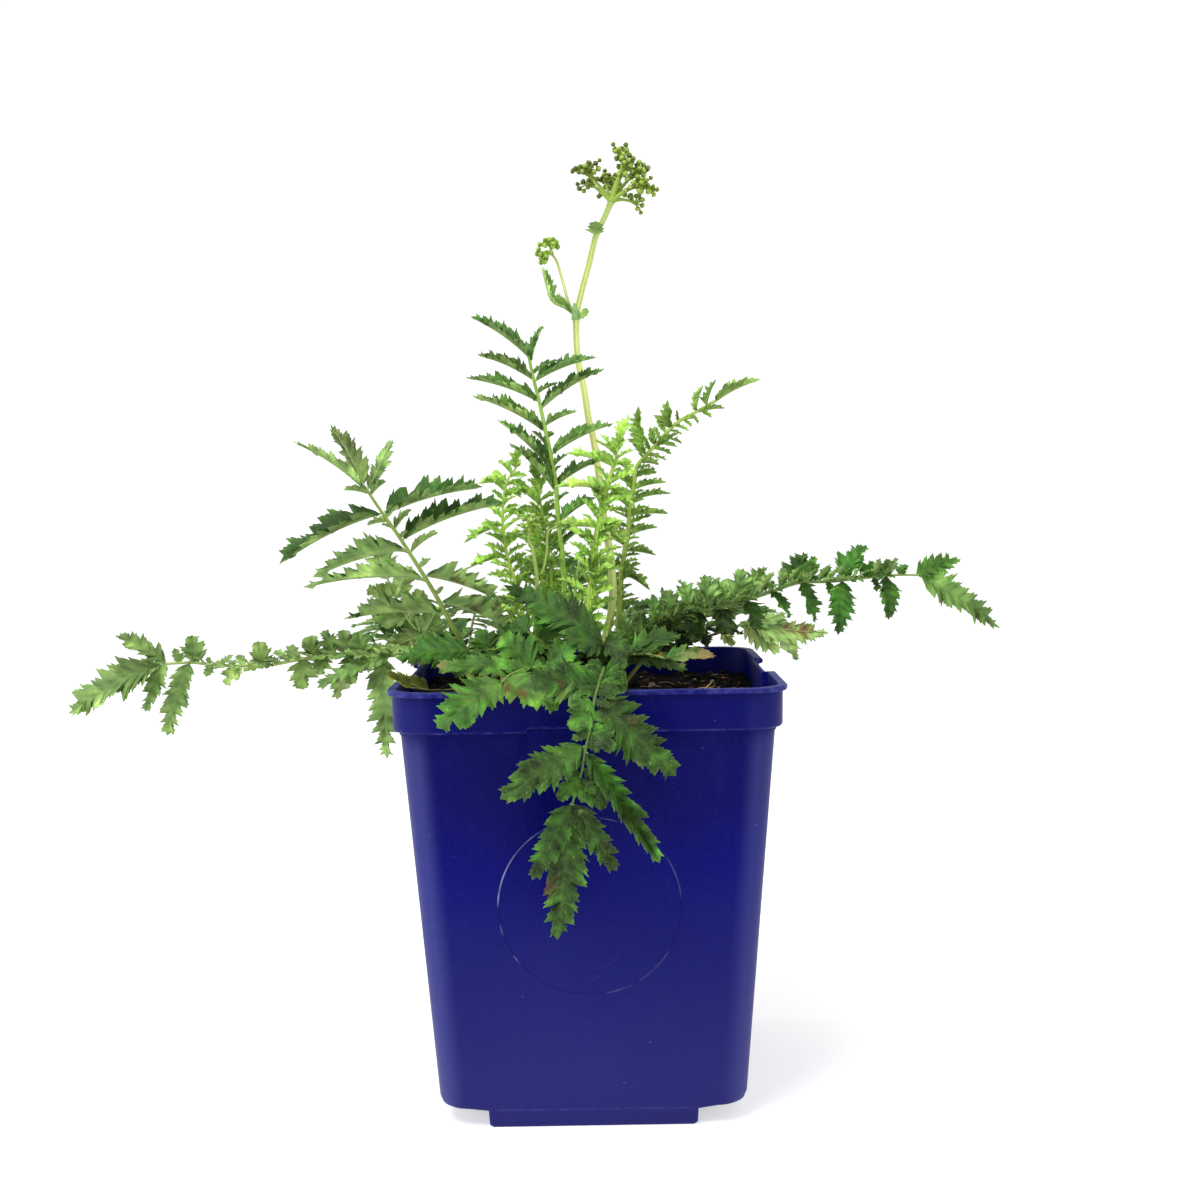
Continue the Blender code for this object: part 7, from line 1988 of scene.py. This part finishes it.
    # tips and edges going brown or yellow with age
    brown = np.clip((fractal(mid_v[:, 0] / 3.0, mid_v[:, 1] / 3.0, mid_v[:, 2] / 3.0, 2, 8.0) + 0.5 * edge
                     + 0.5 * np.clip((ff - 0.8) / 0.2, 0, 1) - 1.25 + age * 0.85) * 3.0, 0, 1)[:, None]
    yel = np.clip(age * 1.3 - 0.6 + 0.25 * mott, 0, 0.85)[:, None]
    ct = ct * (1 - yel) + lin(168, 160, 52)[None, :] * yel
    cb = cb * (1 - yel) + lin(176, 172, 80)[None, :] * yel
    ct = ct * (1 - brown) + lin(112, 70, 36)[None, :] * brown
    cb = cb * (1 - brown) + lin(122, 82, 46)[None, :] * brown
    if style["spots"]:
        fu, fv = seen_at(mid_v)
        ragged = 1 + 1.1 * fractal(mid_v[:, 0] / 1.3, mid_v[:, 1] / 1.3, mid_v[:, 2] / 1.3, 2, 5.0)
        for u_, v_, rad, tone_, str_ in style["spots"]:
            d = np.hypot(fu - u_, fv - v_) * ragged
            k = (np.clip((1.25 - d / rad) * 2.0, 0, 1) * str_)[:, None]
            ct = ct * (1 - k) + lin(*tone_)[None, :] * k
            cb = cb * (1 - k) + lin(*tone_)[None, :] * k
    b.add(np.concatenate([top, bot]), faces, np.concatenate([ct, cb]))
    # midrib: proud of the underside
    rr0 = min(0.30, 0.022 * bl.width + 0.10)
    mp = []
    for f_ in np.linspace(0.0, 0.95, max(5, int(L / 3.0) + 2)):
        a_, n_, s_ = bl.frame(f_)
        mp.append(bl.mid(f_) - n_ * (hh + rr0 * 0.45 + 0.018 * w))
    mc = Curve(mp, 1.0)
    vv, fv, sv, av = tube(mc, lambda s: rr0 * (1 - 0.75 * s / mc.length) + 0.05, 6, 2.2)
    b.add(vv, fv, light_und * 0.85)


def leaf_style(lf):
    out = dict(age=lf["age"], young=lf["young"], tint=lf["tint"], spots=SPOTS_BY.get(lf["name"], []))
    out.update(LOOK.get(lf["name"], {}))
    return out


def seen_at(q):
    """Where points stand in the front view."""
    d = q - np.array(EYE)
    f = d @ np.array(FWD)
    return 600.0 + REACH * (d @ np.array(RIGHT)) / f, 600.0 - REACH * (d @ np.array(UP)) / f


BROWN, RUST, STRAW, LIME = (70, 48, 32), (98, 66, 38), (156, 128, 82), (126, 160, 72)
# blemishes: place in the front view, radius there, colour and strength
SPOTS_BY = {
    "leaf_front_left": [(500, 690, 15, LIME, 0.3), (538, 704, 16, LIME, 0.25), (464, 696, 3.6, (92, 74, 44), 0.7),
                        (507.7, 689, 3.6, (88, 50, 30), 0.9), (519, 693, 3.6, RUST, 0.85), (525, 694, 3.2, RUST, 0.8),
                        (440, 664, 6, (150, 130, 84), 0.5)],
    "leaf_drooping_front": [(562, 700, 9, LIME, 0.5), (560, 680, 3, BROWN, 0.9), (560.5, 686, 3, BROWN, 0.9),
                            (549, 886, 4.6, (82, 56, 40), 0.85), (544, 893, 5.4, (78, 54, 38), 0.9),
                            (632, 721, 4, (84, 68, 44), 0.7), (535, 829, 2.6, BROWN, 0.7),
                            (581.8, 811.4, 2.4, (190, 200, 130), 0.8)],
    "leaf_right_pale": [(787, 628, 5, (122, 76, 46), 0.9), (804, 631, 6, (122, 76, 46), 0.9), (796, 632, 3, (122, 76, 46), 0.7),
                        (752, 628, 9, (118, 100, 66), 0.5),
                        (700, 640, 16, (88, 62, 44), 0.8), (735, 642, 11, (96, 70, 46), 0.7), (672, 652, 12, (84, 60, 42), 0.7)],
    "leaf_right_front": [(706, 656, 10, STRAW, 0.7), (716, 656, 6, (128, 84, 52), 0.75), (688, 659, 9, (150, 156, 92), 0.5),
                         (657, 655, 3, (140, 96, 48), 0.7)],
    "leaf_left_arching": [(452, 578, 3.5, BROWN, 0.8), (460, 585, 5, BROWN, 0.85), (478, 592, 5, BROWN, 0.85),
                          (475, 608, 6, BROWN, 0.8), (509.6, 611, 7, BROWN, 0.85), (500, 606, 5, (110, 80, 56), 0.6)],
    "leaf_left_pale": [(405, 645, 6, BROWN, 0.7), (398, 650, 4, BROWN, 0.7)],
}
LOOK = {
    "leaf_drooping_front": dict(age=0.0, relief_shading=0.38, pitch=5.6, teeth=0.44, wave=0.14, end=0.30, curl=0.10, last=0.95, pleat=0.07, crease=0.32,
                                shade_and_tone=0.74, mottle_and_sheen=2.7, under=0.55),
    "leaf_front_left": dict(shade_and_tone=1.10, age=0.15, relief_shading=0.30, pitch=5.0, teeth=0.46, wave=0.12, end=0.32, last=0.95, pleat=0.05, crease=0.22, mottle_and_sheen=1.8, under=0.6),
    "leaf_front_centre": dict(relief_shading=0.26, rim=0.10, shade_and_tone=0.72, mottle_and_sheen=2.2, under=0.6, pitch=4.2, teeth=0.40, wave=0.10, end=0.10, last=0.92, pleat=0.05, crease=0.10),
    "leaf_front_low": dict(shade_and_tone=0.88, mottle_and_sheen=1.9, relief_shading=0.26, pitch=4.0, teeth=0.52, wave=0.12, end=0.16, pleat=0.04, crease=0.12),
    "leaf_low_left": dict(shade_and_tone=0.92, mottle_and_sheen=1.8, relief_shading=0.26, pitch=4.0, teeth=0.50, wave=0.12, end=0.16, pleat=0.04, crease=0.12),
    "leaf_left_arching": dict(relief_shading=0.24, shade_and_tone=0.85, mottle_and_sheen=1.6, pitch=4.8, teeth=0.58, wave=0.10, end=0.20),
    "leaf_left_pale": dict(pitch=4.2, teeth=0.50, wave=0.12, end=0.16, pale=0.75),
    "leaf_long_left": dict(relief_shading=0.28, shade_and_tone=0.80, mottle_and_sheen=1.3, veins=1.0, rib=0.5, pitch=4.2, teeth=0.58, wave=0.14, end=0.26, last=0.95, pale=0.68),
    "leaf_long_right": dict(shade_and_tone=1.30, mottle_and_sheen=1.6, relief_shading=0.28, pitch=3.2, teeth=0.58, wave=0.18, end=0.10, shady=True, pleat=0.10),
    "leaf_right_dark": dict(shade_and_tone=1.12, mottle_and_sheen=1.6, relief_shading=0.28, pitch=3.0, teeth=0.60, wave=0.18, end=0.10, shady=True, pleat=0.10),
    "leaf_tall": dict(shade_and_tone=1.08, mottle_and_sheen=1.5, relief_shading=0.36, rim=0.34, pitch=3.2, teeth=0.60, wave=0.14, end=0.12, pleat=0.20, pale=0.22),
    "leaf_young_centre": dict(shade_and_tone=1.26, mottle_and_sheen=1.0, relief_shading=0.30, rim=0.3, pitch=2.7, teeth=0.68, wave=0.22, end=0.10, last=0.84, pleat=0.12),
    "leaf_young_left": dict(shade_and_tone=1.26, mottle_and_sheen=1.0, relief_shading=0.30, rim=0.3, pitch=2.6, teeth=0.68, wave=0.22, end=0.10, last=0.84, pleat=0.12),
    "leaf_young_middle": dict(shade_and_tone=1.26, mottle_and_sheen=1.0, relief_shading=0.30, rim=0.3, pitch=2.7, teeth=0.68, wave=0.22, end=0.10, last=0.84, pleat=0.12),
    "leaf_upper_right": dict(relief_shading=0.26, rim=0.3, pitch=2.7, teeth=0.66, wave=0.18, end=0.10, last=0.84, pleat=0.12),
    "leaf_right_pale": dict(shade_and_tone=1.28, pitch=4.4, teeth=0.5, end=0.2),
    "leaf_right_front": dict(shade_and_tone=0.70, mottle_and_sheen=2.1, teeth=0.46, end=0.2),
    "leaf_yellowing": dict(age=0.58, shade_and_tone=0.24, rim=0.75, rim_tone=(176, 164, 46), relief_shading=0.3),
    "leaf_back_left": dict(pitch=5.2, teeth=0.52, wave=0.12, end=0.14),
    "leaf_back_middle": dict(pitch=5.2, teeth=0.52, wave=0.12, end=0.14),
    "leaf_back_right": dict(pitch=5.2, teeth=0.52, wave=0.12, end=0.14),
    "leaf_back_far_left": dict(pitch=5.2, teeth=0.52, wave=0.12, end=0.14),
    "leaf_back_far_right": dict(pitch=5.2, teeth=0.52, wave=0.12, end=0.14),
    "leaf_back_young": dict(relief_shading=0.26, rim=0.3, pitch=2.7, teeth=0.66, wave=0.18, end=0.10, last=0.84, pleat=0.12),
}
# small leaflets between the large ones: (first and last place along the rachis, step,
# length, width, how far they turn towards the rachis's upper face in degrees)
FILL = {
    "leaf_young_centre": (0.20, 0.97, 2.7, 17.0, 6.4, 70),
    "leaf_young_left": (0.24, 0.97, 3.8, 12.0, 5.2, 50),
    "leaf_young_middle": (0.20, 0.98, 3.0, 17.0, 6.4, 70),
    "leaf_upper_right": (0.24, 0.95, 3.8, 11.0, 5.0, 40),
    "leaf_back_young": (0.30, 0.95, 4.2, 12.0, 5.4, 40),
    "leaf_long_right": (0.08, 0.92, 1.9, 14.0, 4.8, 70),
    "leaf_long_left": (0.14, 0.92, 4.6, 11.5, 6.0, 40),
    "leaf_right_dark": (0.10, 0.97, 1.7, 15.0, 5.2, 70),
    "leaf_left_pale": (0.2, 0.95, 6.5, 11.0, 5.6, 25),
    "leaf_left_arching": (0.25, 0.9, 12.0, 8.0, 4.2, 15),
    "leaf_tall": (0.35, 0.9, 13.0, 6.5, 3.4, 15),
    "leaf_low_left": (0.2, 0.95, 3.6, 13.0, 7.0, 35),
    "leaf_low_back_left": (0.15, 0.95, 4.0, 12.0, 6.4, 35),
    "leaf_front_left": (0.2, 0.95, 4.0, 13.0, 7.2, 30),
    "leaf_front_low": (0.3, 0.95, 4.0, 13.0, 7.2, 35),
    "leaf_drooping_front": (0.10, 0.95, 5.0, 11.0, 6.4, 25),
    "leaf_front_centre": (0.2, 0.95, 3.4, 13.0, 7.0, 40),
    "leaf_right_front": (0.2, 0.95, 3.6, 12.0, 6.0, 35),
    "leaf_right_pale": (0.4, 0.95, 7.0, 9.0, 5.0, 15),
    "leaf_back_left": (0.25, 0.95, 6.0, 10.0, 5.4, 30),
    "leaf_back_middle": (0.25, 0.95, 6.0, 10.0, 5.4, 30),
    "leaf_back_right": (0.25, 0.95, 6.0, 10.0, 5.4, 30),
    "leaf_back_far_left": (0.25, 0.95, 6.0, 10.0, 5.4, 30),
    "leaf_back_far_right": (0.25, 0.95, 6.0, 10.0, 5.4, 30),
}


def between(lf, rnd):
    """The small leaflets that stand between the large ones."""
    if lf["name"] not in FILL:
        return []
    s0, s1, step, ln, wd, lean = FILL[lf["name"]]
    cur = lf["curve"]
    out = []
    s = cur.length * s0
    side = 1
    while s < cur.length * s1:
        t = cur.tangent(s)
        n = square_up(lf["face"], t)
        sd = t.cross(n)
        a = math.radians(rnd.span(-0.25, 1.0) * lean)
        k = rnd.span(0.6, 1.15) * (1.0 - 0.35 * (s / cur.length))
        d = (sd * side * math.cos(a) + n * math.sin(a) + t * rnd.span(0.25, 0.75)).normalized()
        half = lf["rw"][0] + (lf["rw"][1] - lf["rw"][0]) * s / cur.length
        base = cur.at(s) + (sd * side * math.cos(a) + n * math.sin(a)) * half * 0.7
        up = (Vector(lf["up"]) + n * 0.5 + Vector((rnd.span(-0.5, 0.5), rnd.span(-0.5, 0.5), rnd.span(-0.3, 0.5)))).normalized()
        if abs(up.dot(d)) < 0.9:
            out.append(Blade(base, base + d * (ln * k), up, wd * k, lf["fold"] * rnd.span(0.6, 1.2), rnd.span(0.05, 0.18)))
        side = -side
        s += step * rnd.span(0.35, 0.65)
    return out


END_LOOK = {"leaf_long_right": dict(shady=False, pale=0.55, pitch=4.4, rib=0.5, shade_and_tone=1.0),
            "leaf_drooping_front": dict(shade_and_tone=1.22, mottle_and_sheen=3.0, veins=0.6, rib=0.35), "leaf_left_arching": dict(shade_and_tone=0.54), "leaf_upper_right": dict(shade_and_tone=0.74),
            "leaf_long_left": dict(shade_and_tone=0.92)}
RACHIS_OLD, RACHIS_YOUNG = lin(140, 168, 86), lin(208, 236, 112)
# how much fuller some of the leaf stalks are, and their own colours
STOUT = {"leaf_young_centre": 1.6, "leaf_tall": 1.3, "leaf_long_left": 1.3, "leaf_upper_right": 1.45, "leaf_young_left": 1.25,
         "leaf_left_arching": 1.1, "leaf_drooping_front": 0.85}
STALKS = {"leaf_right_pale": lin(112, 78, 50), "leaf_drooping_front": lin(104, 136, 62), "leaf_tall": lin(160, 202, 86), "leaf_long_left": lin(168, 188, 110),
          "leaf_right_dark": lin(84, 96, 44), "leaf_left_arching": lin(154, 178, 86)}
table, notes = resolve_plant()
for i_, lf in enumerate(table):
    rnd = Steps(900 + i_ * 17)
    b = Build()
    cur = lf["curve"]
    stout = STOUT.get(lf["name"], 1.0)
    r0, r1 = lf["rw"][0] * 0.92 * stout, lf["rw"][1] * 0.9 * stout
    st = leaf_style(lf)

    def radius(s, r0=r0, r1=r1, n=cur.length):
        return (r0 + (r1 - r0) * s / n) * (1 + 0.7 * math.exp(-s / 4.5))

    groove = lambda a, s: 1.0 - 0.30 * math.exp(-((a - math.pi / 2) / 0.55) ** 2) + 0.05 * math.cos(6 * a)
    vv, ff_, ss, aa = tube(cur, radius, 12, 1.6, groove, tuple(lf["face"]))
    y_ = lf["young"]
    base_c = STALKS.get(lf["name"], RACHIS_OLD * (1 - y_) + RACHIS_YOUNG * y_)
    k = np.clip(1 - ss / 14.0, 0, 1)[:, None] * 0.7
    col = base_c[None, :] * (0.88 + 0.16 * np.cos(6 * aa))[:, None]
    col = col * (1 - k) + lin(118, 84, 58)[None, :] * k
    if lf["age"] > 0.5:
        col = col * 0.5 + lin(150, 112, 70)[None, :] * 0.5
    b.add(vv, ff_, col)
    for e in lf["placed"]:
        leaflet(b, e["blade"], dict(st, **END_LOOK.get(lf["name"], {})) if e["end"] else st, rnd)
    for bl in between(lf, rnd):
        leaflet(b, bl, dict(st, coarse=10.6, pitch=min(st.get("pitch", 4.0), 3.4)), rnd)
    ob = b.object(lf["name"] + "_blades", [M_LEAF], 50)
    take(ob, "leaf_yellow" if lf["name"] == "leaf_yellowing" else "leaf_young" if lf["young"] > 0.5 else "leaf_green",
         lf["name"])

for nm, blades in bract_blades():
    rnd = Steps(len(nm) * 31)
    b = Build()
    st = dict(age=0.0, young=0.1, tint=0.2, spots=[], pitch=2.6, teeth=0.42, wave=0.06, end=0.35, pale=0.45)
    for bl in blades:
        leaflet(b, bl, st, rnd)
    if nm == "stem_bract_large":
        # the sheath: a thin sleeve, open on the right, which clasps the stem at the node
        rows_, nh, na = [], 9, 22
        for th in (0.0, 0.22):
            for j in range(nh):
                for i in range(na):
                    a_ = -1.0 + 2.0 * i / (na - 1)
                    top_ = 5.6 * (1 - 0.75 * abs(a_ + 0.15) ** 1.6) * (1 + 0.05 * math.sin(9 * a_))
                    s_ = node_s - 1.2 + (top_ + 1.2) * j / (nh - 1)
                    t_ = stem_cur.tangent(s_, 0.8)
                    fr_ = square_up((0, -1, 0), t_)
                    sd_ = t_.cross(fr_)
                    ang = math.radians(-55 + 112 * a_)
                    r_ = (STEM_R[0] + (STEM_R[1] - STEM_R[0]) * s_ / stem_cur.length) * 1.24 + 0.10 + 0.35 * (j / (nh - 1)) ** 2 + th
                    side_ = fr_ * math.cos(ang) + sd_ * math.sin(ang)
                    rows_.append(stem_cur.at(s_) + side_ * r_)
        fs_ = []
        half_n = nh * na
        for j in range(nh - 1):
            for i in range(na - 1):
                o_ = j * na + i
                fs_.append((o_, o_ + na, o_ + na + 1, o_ + 1))
                fs_.append((half_n + o_, half_n + o_ + 1, half_n + o_ + na + 1, half_n + o_ + na))
        loop_ = [i for i in range(na)] + [j * na + na - 1 for j in range(1, nh)] + [(nh - 1) * na + i for i in range(na - 2, -1, -1)] + [
            j * na for j in range(nh - 2, 0, -1)]
        for e0, e1 in zip(loop_, loop_[1:] + loop_[:1]):
            fs_.append((e0, e1, half_n + e1, half_n + e0))
        tone_ = np.array([lin(132, 170, 108) * (0.85 + 0.3 * hash1(i % na, 3.0)) for i in range(2 * half_n)])
        b.add([tuple(q) for q in rows_], fs_, tone_)
    ob = b.object(nm + "_blade", [M_LEAF], 50)
    take(ob, "leaf_green", nm)


# ---------------------------------------------------------------- floor, light, camera
def floor_material():
    k = Nodes("studio_white")
    v = k.coords()
    n = k.noise(v, 3.0, 2.0, 0.5)
    c = k.mix(k.remap(n, 0.3, 0.7, 0.0, 1.0), (0.62, 0.615, 0.625), (0.63, 0.625, 0.635))
    k.b.inputs["Specular IOR Level"].default_value = 0.1
    k.b.inputs["Emission Color"].default_value = (1.0, 1.0, 1.0, 1.0)
    k.b.inputs["Emission Strength"].default_value = 0.54
    return k.done(c, 0.9)


vs = []
rings_ = [0.15, 0.3, 0.6, 1.2, 2.5, 5.0, 10.0]
for r_ in rings_:
    for i in range(48):
        a_ = 2 * math.pi * i / 48
        vs.append((r_ * math.cos(a_), r_ * math.sin(a_), 0.0))
vs.append((0, 0, 0))
fs = [(336, i, (i + 1) % 48) for i in range(48)]
for k in range(len(rings_) - 1):
    for i in range(48):
        j = (i + 1) % 48
        fs.append((k * 48 + i, (k + 1) * 48 + i, (k + 1) * 48 + j, k * 48 + j))
me = bpy.data.meshes.new("studio_floor")
me.from_pydata(vs, [], fs)
me.materials.append(floor_material())
floor = bpy.data.objects.new("studio_floor", me)
bpy.context.scene.collection.objects.link(floor)

world = bpy.data.worlds.new("studio")
bpy.context.scene.world = world
world.use_nodes = True
world.node_tree.nodes["Background"].inputs["Color"].default_value = (1.0, 1.0, 1.0, 1.0)
back = world.node_tree.nodes["Background"]
co_ = world.node_tree.nodes.new("ShaderNodeTexCoord")
sep_ = world.node_tree.nodes.new("ShaderNodeSeparateXYZ")
map_ = world.node_tree.nodes.new("ShaderNodeMapRange")
map_.inputs["From Min"].default_value = 0.42
map_.inputs["From Max"].default_value = 0.75
map_.inputs["To Min"].default_value = 1.12
map_.inputs["To Max"].default_value = 0.60
world.node_tree.links.new(co_.outputs["Generated"], sep_.inputs[0])
world.node_tree.links.new(sep_.outputs[2], map_.inputs["Value"])
world.node_tree.links.new(map_.outputs[0], back.inputs["Strength"])


def area(name, loc, aim, size, power, colour=(1, 1, 1)):
    d = bpy.data.lights.new(name, "AREA")
    d.shape = "RECTANGLE"
    d.size, d.size_y = size
    d.energy = power
    d.color = colour
    o = bpy.data.objects.new(name, d)
    o.location = loc
    o.rotation_euler = (Vector(aim) - Vector(loc)).to_track_quat("-Z", "Y").to_euler()
    bpy.context.scene.collection.objects.link(o)
    return o


area("key", (-0.55, -0.65, 1.6), (0, 0, 0.15), (0.8, 0.8), 24.0)
area("left", (-1.3, 0.1, 0.5), (0, 0, 0.12), (0.5, 1.0), 4.0)
area("right", (1.4, -0.1, 0.6), (0, 0, 0.15), (0.5, 1.0), 2.0)

cam_d = bpy.data.cameras.new("camera")
cam_d.sensor_width = 36.0
cam_d.sensor_fit = "HORIZONTAL"
cam_d.lens = 36.0 * REACH / 1200.0
cam_d.clip_start = 0.01
cam_d.clip_end = 50.0
cam = bpy.data.objects.new("camera", cam_d)
rot = Matrix((tuple(RIGHT), tuple(UP), tuple(-FWD))).transposed()
cam.matrix_world = Matrix.Translation(Vector(EYE) * MM) @ rot.to_4x4()
bpy.context.scene.collection.objects.link(cam)
bpy.context.scene.camera = cam
bpy.context.scene.view_settings.view_transform = "Standard"
